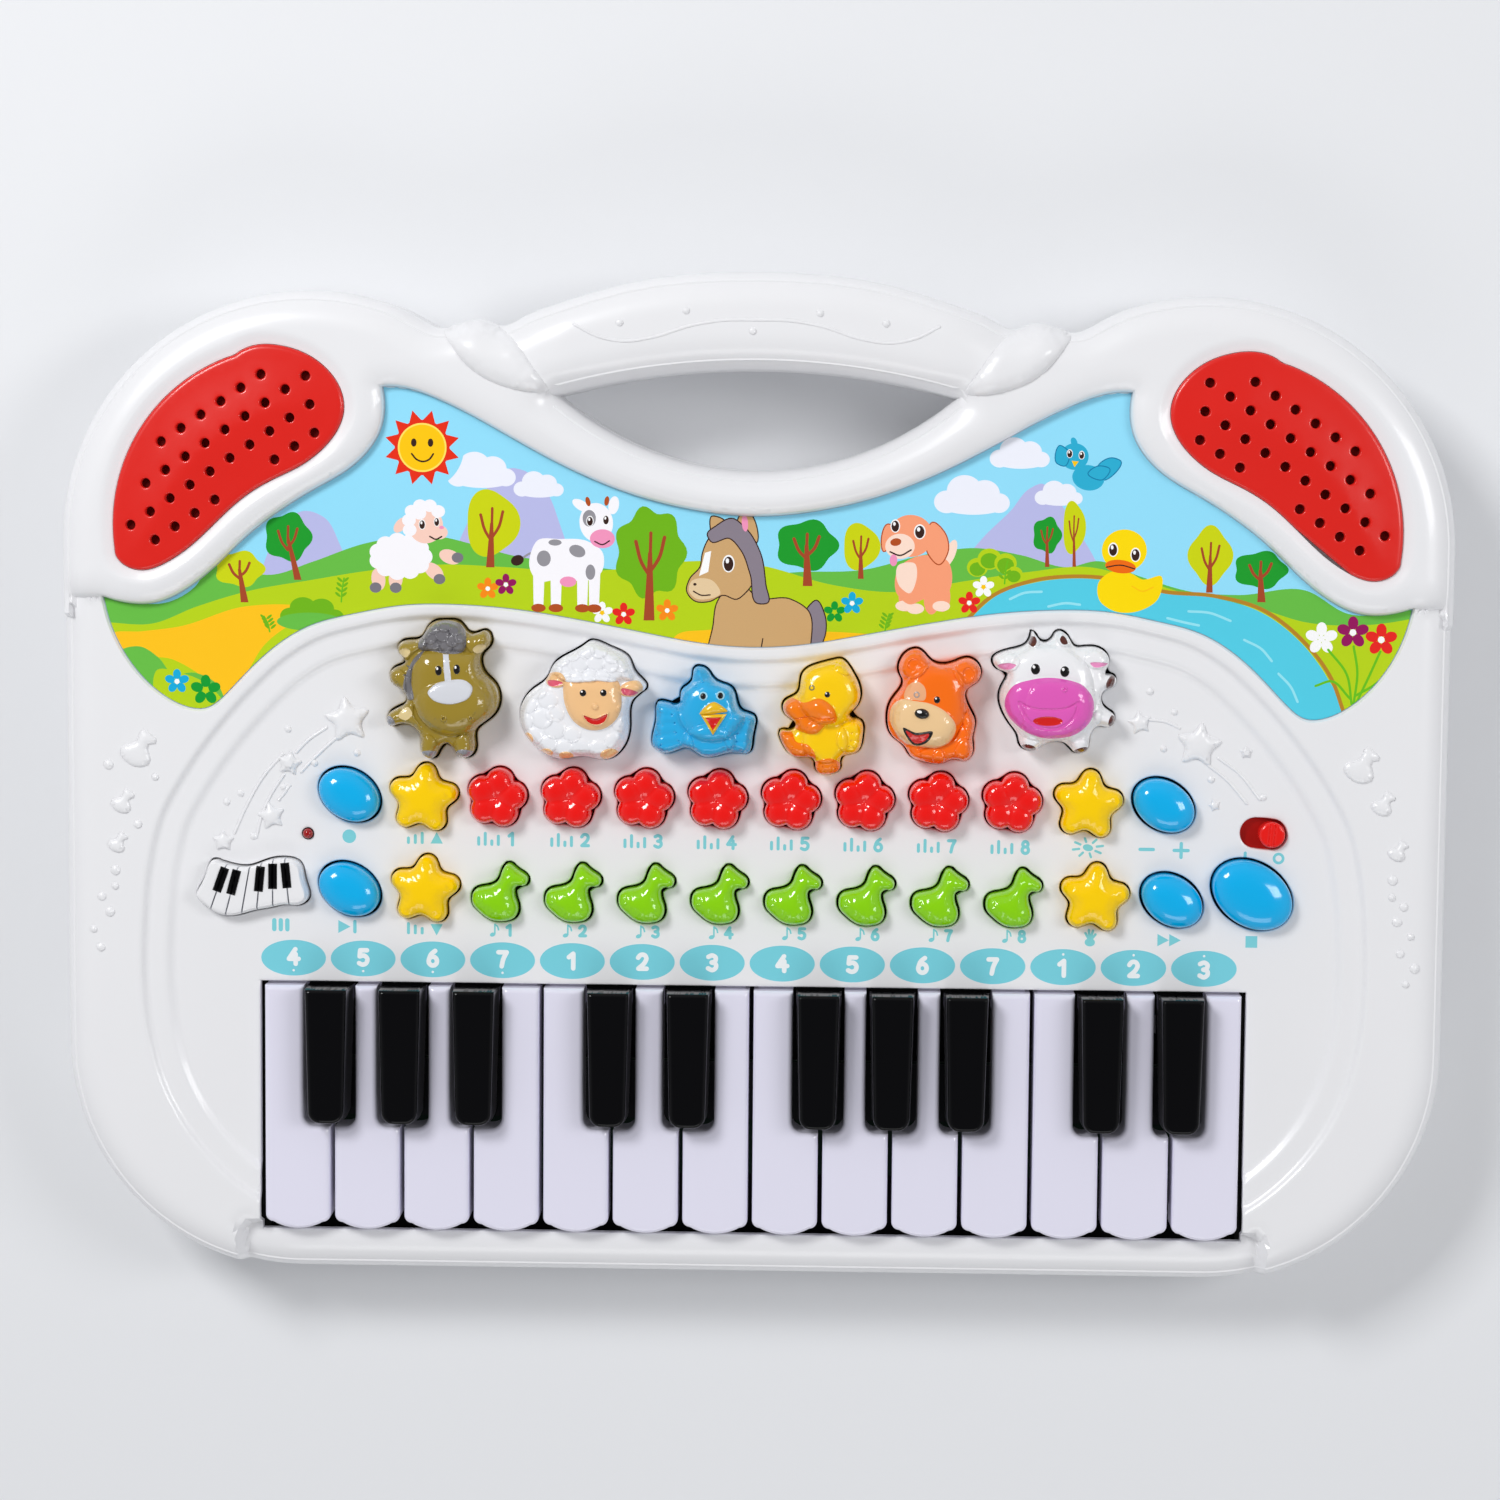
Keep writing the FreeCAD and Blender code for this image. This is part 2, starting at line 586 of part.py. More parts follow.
# ------------------------------------------------------------------ power switch and lamp
SWITCH_BODY_TOP = 26.4
CARRIER_LENGTH = 23.0
CARRIER_WIDTH = 11.0


def knob_place():
    angle = math.radians(SWITCH_TILT)
    return (SWITCH_PLACE[0] + KNOB_OFFSET * math.cos(angle),
            SWITCH_PLACE[1] + KNOB_OFFSET * math.sin(angle))


def power_switch_knob():
    """Round knob on a carrier that always covers the slot, with a lever down to the switch."""
    x, y = knob_place()
    knob = post(x, y, KNOB_RADIUS, FLANGE_TOP, PANEL_TOP + 2.2)
    groove = 0.5
    for step in (-2, -1, 0, 1, 2):
        cutter = box(x + step * 1.3 - groove / 2, x + step * 1.3 + groove / 2, y - 5, y + 5,
                     PANEL_TOP + 2.2 - groove, PANEL_TOP + 3)
        knob = knob.cut(cutter)
    carrier = prism(slot_wire(CARRIER_LENGTH, CARRIER_WIDTH), FLANGE_TOP - FLANGE_THICKNESS, FLANGE_TOP)
    lever = post(x, y, 1.6, SWITCH_BODY_TOP + 0.4, FLANGE_TOP)
    return joined([knob, carrier, lever])


def record_led():
    """Red lamp on its leads: body, collar and rounded lens standing just above the panel."""
    x, y = LED_PLACE
    lens_radius = 1.5
    body = post(x, y, lens_radius, BOARD_TOP, PANEL_TOP)
    collar = post(x, y, lens_radius + 0.4, BOARD_TOP, BOARD_TOP + 2.0)
    lens = Part.makeSphere(lens_radius, V(x, y, PANEL_TOP))
    return joined([body, collar, lens])


# ------------------------------------------------------------------ keys
def white_centre(i):
    return (i - (WHITE_KEYS - 1) / 2.0) * KEY_PITCH


def black_centres():
    """Middle of each black key, by the index of the white key on its left."""
    centres = {}
    for i, letter in enumerate(KEY_LETTERS[:-1]):
        if letter in BLACK_SHIFT:
            centres[i] = white_centre(i) + KEY_PITCH / 2.0 + BLACK_SHIFT[letter]
    return centres


def rib_places():
    """Boundaries between two white keys with no black key, where the chassis holds the rod."""
    return [white_centre(i) + KEY_PITCH / 2.0 for i in range(WHITE_KEYS - 1) if i not in black_centres()]


RIB_HALF_THICKNESS = 1.25
RIB_CLEARANCE = 0.6


def white_sides(i):
    """Left and right limits of a white key: at its front, beside the black keys, and at its tail."""
    half = (KEY_PITCH - KEY_GAP) / 2.0
    left, right = white_centre(i) - half, white_centre(i) + half
    blacks = black_centres()
    waist_left = blacks[i - 1] + NOTCH_HALF_WIDTH if i - 1 in blacks else left
    waist_right = blacks[i] - NOTCH_HALF_WIDTH if i in blacks else right
    room = RIB_HALF_THICKNESS + RIB_CLEARANCE
    tail_left, tail_right = waist_left, waist_right
    for rib in rib_places():
        if abs(rib - left) < KEY_GAP:
            tail_left = rib + room
        if abs(rib - right) < KEY_GAP:
            tail_right = rib - room
    return (left, right), (waist_left, waist_right), (tail_left, tail_right)


def white_front_wire(left, right, back):
    """Wide part of a white key in plan, with a bowed front edge and rounded corners."""
    middle = (left + right) / 2.0
    bow, corner_x, corner_y = 1.9, 2.2, 4.4
    start, end = V(left, WHITE_FRONT + corner_y), V(left + corner_x, WHITE_FRONT + bow)
    far_end, far_start = V(right - corner_x, WHITE_FRONT + bow), V(right, WHITE_FRONT + corner_y)
    turn_x, turn_y = 0.55, 2.7
    return Part.Wire([
        Part.LineSegment(V(right, back), V(left, back)).toShape(),
        Part.LineSegment(V(left, back), start).toShape(),
        Part.Arc(start, V(left + turn_x, WHITE_FRONT + turn_y), end).toShape(),
        Part.Arc(end, V(middle, WHITE_FRONT), far_end).toShape(),
        Part.Arc(far_end, V(right - turn_x, WHITE_FRONT + turn_y), far_start).toShape(),
        Part.LineSegment(far_start, V(right, back)).toShape()])


def notch_corner(x, way):
    """Web that rounds the inner corner of a white key's notch; way is 1 for a notch on the right."""
    near, far = x - way * 0.2, x + way * NOTCH_ROUNDING
    web = box(min(near, far), max(near, far), NOTCH_FRONT - 0.2, NOTCH_FRONT + NOTCH_ROUNDING,
              WHITE_BOTTOM, WHITE_TOP)
    return web.cut(post(far, NOTCH_FRONT + NOTCH_ROUNDING, NOTCH_ROUNDING, WHITE_BOTTOM - 1, WHITE_TOP + 1))


def white_key(i):
    front, waist, tail = white_sides(i)
    wide = prism(white_front_wire(front[0], front[1], NOTCH_FRONT), WHITE_BOTTOM, WHITE_TOP)
    narrow = box(waist[0], waist[1], NOTCH_FRONT, WHITE_BACK, WHITE_BOTTOM, WHITE_TOP)
    hollow_top = WHITE_TOP - KEY_SKIN
    hollows = [box(front[0] + KEY_SKIN, front[1] - KEY_SKIN, WHITE_FRONT + 5.0, NOTCH_FRONT - KEY_SKIN,
                   WHITE_BOTTOM, hollow_top),
               box(waist[0] + KEY_SKIN, waist[1] - KEY_SKIN, NOTCH_FRONT - KEY_SKIN, TAIL_ROOT,
                   WHITE_BOTTOM, hollow_top)]
    corners = []
    for edge, outer, way in ((waist[0], front[0], -1), (waist[1], front[1], 1)):
        if abs(outer - edge) > NOTCH_ROUNDING:
            corners.append(notch_corner(edge, way))
    shell = wide.multiFuse([narrow] + corners).cut(Part.makeCompound(hollows))
    hinge = box(tail[0], tail[1], TAIL_ROOT, TAIL_BACK, HINGE_Z - TAIL_HALF_HEIGHT, HINGE_Z + TAIL_HALF_HEIGHT)
    plunger_x = (waist[0] + waist[1]) / 2.0
    plunger = post(plunger_x, WHITE_PLUNGER_Y, PLUNGER_RADIUS, PLUNGER_BOTTOM, hollow_top)
    key = joined([shell, hinge, plunger])
    return key.cut(rod_along_x(BORE_RADIUS, front[0] - 1, front[1] + 1, HINGE_Y, HINGE_Z))


def black_wire(x, half_width, front, back, radius, z):
    """Plan of a black key at one height: square and a little wider at the back, rounded at the front."""
    left, right = x - half_width + BLACK_TAPER, x + half_width - BLACK_TAPER
    bend = radius * (1 - math.sqrt(0.5))
    wire = Part.Wire([
        Part.LineSegment(V(x + half_width, back), V(x - half_width, back)).toShape(),
        Part.LineSegment(V(x - half_width, back), V(left, front + radius)).toShape(),
        Part.Arc(V(left, front + radius), V(left + bend, front + bend), V(left + radius, front)).toShape(),
        Part.LineSegment(V(left + radius, front), V(right - radius, front)).toShape(),
        Part.Arc(V(right - radius, front), V(right - bend, front + bend), V(right, front + radius)).toShape(),
        Part.LineSegment(V(right, front + radius), V(x + half_width, back)).toShape()])
    wire.translate(V(0, 0, z))
    return wire


def black_key(x):
    shoulder = WHITE_TOP - 0.6
    top_half_width, top_front = 6.0, BLACK_FRONT + 1.0
    base = prism(black_wire(x, BLACK_HALF_WIDTH, BLACK_FRONT, WHITE_BACK, 4.0, 0), BLACK_BOTTOM, shoulder)
    crown = Part.makeLoft([black_wire(x, BLACK_HALF_WIDTH, BLACK_FRONT, WHITE_BACK, 4.0, shoulder),
                           black_wire(x, top_half_width, top_front, WHITE_BACK, 3.4, BLACK_TOP)],
                          True, True)
    hollow_half = BLACK_HALF_WIDTH - KEY_SKIN
    hollow = box(x - hollow_half, x + hollow_half, BLACK_FRONT + 4.0, TAIL_ROOT, BLACK_BOTTOM,
                 shoulder)
    hinge = box(x - BLACK_HALF_WIDTH, x + BLACK_HALF_WIDTH, TAIL_ROOT, TAIL_BACK,
                HINGE_Z - TAIL_HALF_HEIGHT, HINGE_Z + TAIL_HALF_HEIGHT)
    plunger = post(x, BLACK_PLUNGER_Y, PLUNGER_RADIUS, PLUNGER_BOTTOM, shoulder + 1.0)
    key = joined([base.cut(hollow), crown, hinge, plunger])
    return key.cut(rod_along_x(BORE_RADIUS, x - 10, x + 10, HINGE_Y, HINGE_Z))


def plunger_places():
    """Where the keys' plungers come down, white keys then black keys."""
    places = []
    for i in range(WHITE_KEYS):
        waist = white_sides(i)[1]
        places.append(((waist[0] + waist[1]) / 2.0, WHITE_PLUNGER_Y))
    return places + [(x, BLACK_PLUNGER_Y) for x in black_centres().values()]


CHEEK_INNER = 143.2
CHEEK_OUTER = 145.7
CHEEK_TOP = 31.4
CHEEK_FRONT_TOP = 27.0


def key_hinge_rod():
    return rod_along_x(ROD_RADIUS, -CHEEK_OUTER, CHEEK_OUTER, HINGE_Y, HINGE_Z)


def key_chassis():
    """Dark tray under the keys: floor, side cheeks and ribs for the hinge rod, rails for the board."""
    back, front, bearing_front = HINGE_Y + 6.0, -139.6, HINGE_Y - 8.0
    pieces = [box(-CHEEK_OUTER, CHEEK_OUTER, front, back, CHASSIS_FLOOR, CHASSIS_TOP)]
    for side in (-1, 1):
        outer, inner = side * CHEEK_OUTER, side * CHEEK_INNER
        low, high = min(outer, inner), max(outer, inner)
        pieces.append(box(low, high, front, bearing_front, CHASSIS_TOP, CHEEK_FRONT_TOP))
        pieces.append(box(low, high, bearing_front, back, CHASSIS_TOP, CHEEK_TOP))
    for x in rib_places():
        pieces.append(box(x - RIB_HALF_THICKNESS, x + RIB_HALF_THICKNESS, HINGE_Y - 4.0, back,
                          CHASSIS_TOP, CHEEK_TOP))
    rail = 2.0
    pieces.append(box(-CHEEK_INNER, CHEEK_INNER, front, front + rail, CHASSIS_TOP, CHEEK_FRONT_TOP))
    for y in (-117.0, -87.0):
        pieces.append(box(-CHEEK_INNER, CHEEK_INNER, y, y + rail, CHASSIS_TOP, KEY_BOARD_BOTTOM))
    tray = joined(pieces)
    holes = [rod_along_x(ROD_RADIUS + 0.04, -160, 160, HINGE_Y, HINGE_Z)]
    holes += [post(x, y, SCREW_RADIUS + 0.2, CHASSIS_FLOOR - 1, CHASSIS_TOP + 1)
              for x, y in both_sides(CHASSIS_SCREWS)]
    return tray.cut(Part.makeCompound(holes))


# ------------------------------------------------------------------ electronics
def main_circuit_board():
    """Main board with the slide switch and chips on it, and the strip board under the keys."""
    half_x, front, back = 165.0, -41.0, 36.0
    board = box(-half_x, half_x, front, back, BOARD_BOTTOM, BOARD_TOP)
    x, y = SWITCH_PLACE
    switch = box(x - 7, x + 7, y - 3.5, y + 3.5, BOARD_TOP, SWITCH_BODY_TOP)
    chip = box(-8, 8, 12, 24, BOARD_TOP, BOARD_TOP + 1.6)
    amplifier = box(120, 128, 8, 16, BOARD_TOP, BOARD_TOP + 1.6)
    main = joined([board, switch, chip, amplifier])
    holes = [post(hx, hy, SCREW_RADIUS + 0.2, BOARD_BOTTOM - 1, BOARD_TOP + 1)
             for hx, hy in both_sides(BOARD_SCREWS)]
    main = main.cut(Part.makeCompound(holes))
    strip = box(-140, 140, -118, -84, KEY_BOARD_BOTTOM, KEY_BOARD_BOTTOM + BOARD_THICKNESS)
    return [main, strip]


def dome(x, y, bottom, top):
    return Part.makeCone(DOME_RADIUS, DOME_RADIUS * 0.6, top - bottom, V(x, y, bottom))


def contact_pads(controls):
    """Silicone sheets with one dome per button stem and per key plunger."""
    sheets = []
    margin = 4.0
    for name, wires, top, places in controls:
        xs = [place[0] for place in places]
        ys = [place[1] for place in places]
        sheet = box(min(xs) - margin, max(xs) + margin, min(ys) - margin, max(ys) + margin,
                    BOARD_TOP, BOARD_TOP + PAD_BASE)
        domes = [dome(x, y, BOARD_TOP + PAD_BASE, BUTTON_DOME_TOP) for x, y in places]
        sheets.append(joined([sheet] + domes))
    base = KEY_BOARD_BOTTOM + BOARD_THICKNESS
    strip = box(-139, 139, -101.5, -84.5, base, base + PAD_BASE)
    domes = [dome(x, y, base + PAD_BASE, KEY_DOME_TOP) for x, y in plunger_places()]
    sheets.append(joined([strip] + domes))
    return sheets


def speaker_driver(side):
    """Small loudspeaker: frame ring, tapering basket with the cone hollowed out, and magnet."""
    profile = [(0, 7), (11, 7), (11, 12.6), (13, 12.6), (20, 20), (SPEAKER_RADIUS, 20),
               (SPEAKER_RADIUS, 22), (18.6, 22), (7, 16), (4, 17.2), (0, 17.8)]
    outline = Part.makePolygon([V(r, 0, z) for r, z in profile + profile[:1]])
    solid = Part.Face(outline).revolve(V(0, 0, 0), V(0, 0, 1), 360)
    solid.translate(V(side * SPEAKER_X, SPEAKER_Y, 0))
    return solid


def cells():
    """Three AA cells side by side, each with its raised positive end."""
    nub_radius, nub_length = 2.6, 1.2
    barrel = CELL_LENGTH - nub_length
    pieces = []
    for row in (-1, 0, 1):
        y = CELL_ROW_Y + row * CELL_PITCH
        facing = 1 if row % 2 == 0 else -1
        start = V(-facing * CELL_LENGTH / 2.0, y, CELL_Z)
        along = V(facing, 0, 0)
        body = Part.makeCylinder(CELL_RADIUS, barrel, start, along)
        nub = Part.makeCylinder(nub_radius, nub_length, start + along * barrel, along)
        pieces.append(joined([body, nub]))
    return pieces


def cell_contacts():
    """Flat spring plates at both ends of the cells."""
    half_width, thickness = 5.5, 0.6
    place = CELL_LENGTH / 2.0 + 0.15
    pieces = []
    for row in (-1, 0, 1):
        y = CELL_ROW_Y + row * CELL_PITCH
        for side in (-1, 1):
            near, far = side * place, side * (place + thickness)
            plate = box(min(near, far), max(near, far), y - half_width, y + half_width, 7.0, 19.0)
            foot_far = side * (BAY_HALF_WIDTH - 0.2)
            foot = box(min(near, foot_far), max(near, foot_far), y - 2.0, y + 2.0, 18.4, 19.0)
            pieces.append(joined([plate, foot]))
    return pieces


# ------------------------------------------------------------------ casing
DOOR_GAP = 0.4
DOOR_LIP = 2.0
DOOR_THICKNESS = 1.8
BAY_WALL = 3.5
DOOR_SCREW_X = 0.0
DOOR_SCREW_Y = CELL_ROW_Y + BAY_HALF_DEPTH + 4.2
DOOR_SCREW_LENGTH = 7.0


def bay_box(margin, bottom, top):
    """Box about the battery bay, wider than it by margin on every side."""
    return box(-BAY_HALF_WIDTH - margin, BAY_HALF_WIDTH + margin,
               CELL_ROW_Y - BAY_HALF_DEPTH - margin, CELL_ROW_Y + BAY_HALF_DEPTH + margin, bottom, top)


def door_tab(gap, bottom, top):
    """Tab at the back edge of the battery door, where its screw goes."""
    half = 7.0 + gap
    return box(-half, half, DOOR_SCREW_Y - 6.0, DOOR_SCREW_Y + 5.0 + gap, bottom, top)


def battery_door():
    """Flat door with a screw tab and raised ribs that hold the cells."""
    plate = bay_box(DOOR_LIP - DOOR_GAP, CASE_BOTTOM, CASE_BOTTOM + DOOR_THICKNESS)
    tab = door_tab(0.0, CASE_BOTTOM, CASE_BOTTOM + DOOR_THICKNESS)
    door = joined([plate, tab])
    hole = post(DOOR_SCREW_X, DOOR_SCREW_Y, SCREW_RADIUS + 0.15, 0, 10)
    seat = Part.makeCone(SCREW_HEAD_RADIUS + 0.1, SCREW_RADIUS + 0.15, 1.4,
                         V(DOOR_SCREW_X, DOOR_SCREW_Y, CASE_BOTTOM))
    finger_groove = box(-9, 9, 6.0, 8.0, CASE_BOTTOM, CASE_BOTTOM + 0.6)
    return door.cut(Part.makeCompound([hole, seat, finger_groove]))


def battery_door_screw():
    """Captive countersunk screw of the battery door, with a cross slot."""
    x, y = DOOR_SCREW_X, DOOR_SCREW_Y
    head = Part.makeCone(SCREW_HEAD_RADIUS, SCREW_RADIUS, 1.4, V(x, y, CASE_BOTTOM))
    shank = post(x, y, SCREW_RADIUS, CASE_BOTTOM + 1.4, CASE_BOTTOM + DOOR_SCREW_LENGTH)
    screw = joined([head, shank])
    return screw.cut(cross_slot(x, y, CASE_BOTTOM, 0.7))


def cross_slot(x, y, z, depth, upward=1):
    """Cross recess in a screw head; upward is the side that the head is entered from."""
    reach, half = 1.9, 0.4
    low, high = (z - 0.1, z + depth) if upward > 0 else (z - depth, z + 0.1)
    return joined([box(x - reach, x + reach, y - half, y + half, low, high),
                   box(x - half, x + half, y - reach, y + reach, low, high)])


def screw(x, y, head_z, pointing):
    """Pan-head screw whose head bears on height head_z and whose shank points up (1) or down (-1)."""
    if pointing > 0:
        head = post(x, y, SCREW_HEAD_RADIUS, head_z - SCREW_HEAD_HEIGHT, head_z)
        shank = post(x, y, SCREW_RADIUS, head_z, head_z + SCREW_LENGTH)
        slot = cross_slot(x, y, head_z - SCREW_HEAD_HEIGHT, 1.2, 1)
    else:
        head = post(x, y, SCREW_HEAD_RADIUS, head_z, head_z + SCREW_HEAD_HEIGHT)
        shank = post(x, y, SCREW_RADIUS, head_z - SCREW_LENGTH, head_z)
        slot = cross_slot(x, y, head_z + SCREW_HEAD_HEIGHT, 1.2, -1)
    return joined([head, shank]).cut(slot)


SCREW_SHELF = 17.0


def screws():
    """Case screws from below, board and chassis screws from above: all the same screw."""
    pieces = [screw(x, y, SCREW_SHELF, 1) for x, y in both_sides(CASE_SCREWS)]
    pieces += [screw(x, y, BOARD_TOP, -1) for x, y in both_sides(BOARD_SCREWS)]
    pieces += [screw(x, y, CHASSIS_TOP, -1) for x, y in both_sides(CHASSIS_SCREWS)]
    return pieces


def rubber_feet():
    return [post(x, y, FOOT_RADIUS, 0.0, CASE_BOTTOM + FOOT_RECESS) for x, y in both_sides(FEET)]


def handle_undercut(margin, bottom, top):
    """Space under the raised handle bar."""
    corners = [(-57, 106), (57, 106), (90, 141), (90, 160), (-90, 160), (-90, 141)]
    wire = Part.makePolygon([V(x, y) for x, y in corners + corners[:1]])
    if margin:
        wire = grown(wire, margin, 3.0)
    return prism(wire, bottom, top)


def lower_housing():
    """Bottom shell: floor, walls, seating lip, battery bay, screw bosses, posts and speaker seats."""
    outer = prism(casing_face(), CASE_BOTTOM, PARTING_PLANE).cut(handle_undercut(0, 0, HANDLE_BOTTOM))
    cavity = prism(casing_face(WALL), FLOOR_TOP, PARTING_PLANE)
    cavity = cavity.cut(handle_undercut(WALL, 0, HANDLE_BOTTOM + SKIN))
    lip_gap, lip_thickness, lip_height = 0.2, 1.4, 2.0
    lip = prism(casing_face(WALL + lip_gap), PARTING_PLANE - 3.0, PARTING_PLANE + lip_height)
    lip = lip.cut(prism(casing_face(WALL + lip_gap + lip_thickness), PARTING_PLANE - 4.0, PARTING_PLANE + 3.0))
    skirt = prism(casing_face(WALL - 0.5), PARTING_PLANE - 3.0, PARTING_PLANE)
    skirt = skirt.cut(prism(casing_face(WALL + lip_gap + lip_thickness), PARTING_PLANE - 4.0, PARTING_PLANE + 1))
    adds = [lip, skirt, bay_box(BAY_WALL, FLOOR_TOP - 1, BAY_ROOF + 1.6),
            door_tab(2.4, CASE_BOTTOM, CASE_BOTTOM + DOOR_SCREW_LENGTH + 1.6)]
    cuts = [bay_box(0, 0, BAY_ROOF), bay_box(DOOR_LIP, 0, CASE_BOTTOM + DOOR_THICKNESS + 0.1),
            door_tab(DOOR_GAP, 0, CASE_BOTTOM + DOOR_THICKNESS + 0.1),
            post(DOOR_SCREW_X, DOOR_SCREW_Y, SCREW_RADIUS + 0.1, 0, CASE_BOTTOM + DOOR_SCREW_LENGTH + 0.4)]
    for x, y in both_sides(CASE_SCREWS):
        adds.append(post(x, y, BOSS_RADIUS, CASE_BOTTOM, PARTING_PLANE - 0.2))
        cuts.append(post(x, y, SCREW_HEAD_RADIUS + 0.3, 0, SCREW_SHELF))
        cuts.append(post(x, y, SCREW_RADIUS + 0.2, 0, PARTING_PLANE))
    for x, y in both_sides(BOARD_SCREWS):
        adds.append(post(x, y, BOSS_RADIUS - 1, CASE_BOTTOM, BOARD_BOTTOM))
        cuts.append(post(x, y, SCREW_RADIUS + 0.05, FLOOR_TOP + 1, BOARD_BOTTOM))
    for x, y in both_sides(CHASSIS_SCREWS):
        adds.append(post(x, y, BOSS_RADIUS, CASE_BOTTOM, CHASSIS_FLOOR))
        cuts.append(post(x, y, SCREW_RADIUS + 0.05, FLOOR_TOP + 1, CHASSIS_FLOOR))
    for side in (-1, 1):
        x = side * SPEAKER_X
        adds.append(post(x, SPEAKER_Y, SPEAKER_RADIUS, FLOOR_TOP - 1, 20.0))
        cuts.append(post(x, SPEAKER_Y, SPEAKER_RADIUS - 2.0, FLOOR_TOP, 21.0))
    cuts += [post(x, y, FOOT_RADIUS + 0.2, 0, CASE_BOTTOM + FOOT_RECESS) for x, y in both_sides(FEET)]
    shell = joined([outer.cut(cavity)] + adds)
    return shell.cut(Part.makeCompound(cuts))


def upper_cavity():
    """Hollow of the top shell, following each level of its skin."""
    open_plan = casing_face(WALL)
    arch_rim = grown(arch_wire(), WALL, 3.0)
    low = prism(open_plan, PARTING_PLANE - 1, PANEL_UNDERSIDE)
    low = low.cut(box(-152, 152, -150, OPENING_FRONT + 2, LEDGE_TOP - SKIN, 60))
    middle = prism(open_plan, PANEL_UNDERSIDE, LABEL_BED - SKIN)
    middle = middle.cut(prism(arch_rim, 30, 60)).cut(box(-160, 160, -150, -100, 30, 60))
    high = prism(open_plan, LABEL_BED - SKIN, SHOULDER_TOP - SKIN)
    high = high.common(prism(back_region(WALL), 30, 60))
    bosses = [post(x, y, BOSS_RADIUS, PARTING_PLANE, SHOULDER_TOP) for x, y in both_sides(CASE_SCREWS)]
    return [hollow.cut(Part.makeCompound(bosses)) for hollow in (low, middle, high)]


def front_region():
    """Everything in front of the raised shoulders, out beyond the casing."""
    reach = HALF_WIDTH + 60.0
    corners = [V(-reach, -reach), V(reach, -reach), V(reach, reach), V(-reach, reach)]
    sheet = Part.Face(Part.makePolygon(corners + corners[:1]))
    return sheet.cut(Part.Face(back_region())).Faces[0]


def panel_openings(controls):
    """One cutter for each hole in the top skin, apart from the speaker openings."""
    cuts = [box(-OPENING_HALF_WIDTH, OPENING_HALF_WIDTH, OPENING_FRONT, OPENING_BACK, 20, 60),
            post(LED_PLACE[0], LED_PLACE[1], 1.65, 30, 40),
            prism(slot_wire(SLOT_LENGTH, SLOT_WIDTH), 30, 40)]
    for name, wires, top, places in controls:
        opening = prism(grown(wires[0], BUTTON_GAP), PANEL_UNDERSIDE - 1, RIM_TOP + 1)
        for i in range(len(wires)):
            shifted = opening.copy()
            shifted.translate(V(i * BANK_PITCH, 0))
            cuts.append(shifted)
    return cuts


def upper_housing(controls):
    """Top shell: rim, stepped arch panel, label bed, raised shoulders and handle, all openings."""
    above = SHOULDER_TOP + 1
    arch = arch_wire()
    body = prism(casing_face(), PARTING_PLANE, SHOULDER_TOP)
    body = body.cut(prism(front_region(), RIM_TOP, above))
    body = body.cut(prism(arch, STEP_TOP, RIM_TOP + 1))
    body = body.cut(prism(grown(arch, -STEP_WIDTH, 3.0), PANEL_TOP, RIM_TOP + 1))
    body = body.cut(prism(label_wire(), LABEL_BED, above))
    body = body.cut(box(-149, 149, -HALF_DEPTH - 1, -130, LEDGE_TOP, RIM_TOP + 1))
    for hollow in upper_cavity():
        body = body.cut(hollow)
    grille_hole = prism(grown(grille_wire(), 0.15, 2.0), PANEL_TOP, above)
    pilot_holes = [post(x, y, SCREW_RADIUS + 0.04, PARTING_PLANE - 1, SCREW_SHELF + SCREW_LENGTH + 1)
                   for x, y in both_sides(CASE_SCREWS)]
    cuts = panel_openings(controls) + [grille_hole, grille_hole.mirror(V(0, 0), V(1, 0))] + pilot_holes
    for cutter in cuts:
        body = body.cut(cutter)
    return body


def scene_label():
    return prism(label_wire(), LABEL_BED, LABEL_TOP)


def grille_holes(wire):
    """Sound holes in slanted rows inside the grille's outline."""
    hole_radius, along, across, slant = 1.4, 6.9, 7.4, 146.0
    angle = math.radians(slant)
    step = V(math.cos(angle), math.sin(angle)) * along
    row = V(-math.sin(angle), math.cos(angle)) * across
    inner = Part.Face(grown(wire, -4.2, 2.0))
    start = V(150.0, 92.0)
    holes = []
    for i in range(-12, 13):
        for j in range(-8, 9):
            shift = 0.5 if j % 2 else 0.0
            place = start + step * (i + shift) + row * j
            if inner.isInside(place, 0.01, True):
                holes.append(post(place.x, place.y, hole_radius, 36, 50))
    return holes


def speaker_grille():
    """Right-hand grille: hollow plate that fills the opening, with a flange under the skin."""
    wire = grille_wire()
    flange_bottom = SHOULDER_TOP - SKIN - 1.2
    flange_top = SHOULDER_TOP - SKIN - 0.1
    flange = prism(grown(wire, 1.6, 2.0), flange_bottom, flange_top)
    plate = prism(wire, flange_bottom, GRILLE_TOP)
    pocket = prism(grown(wire, -2.0, 2.0), flange_bottom - 1, GRILLE_TOP - 2.2)
    return joined([plate, flange]).cut(Part.makeCompound([pocket] + grille_holes(wire)))


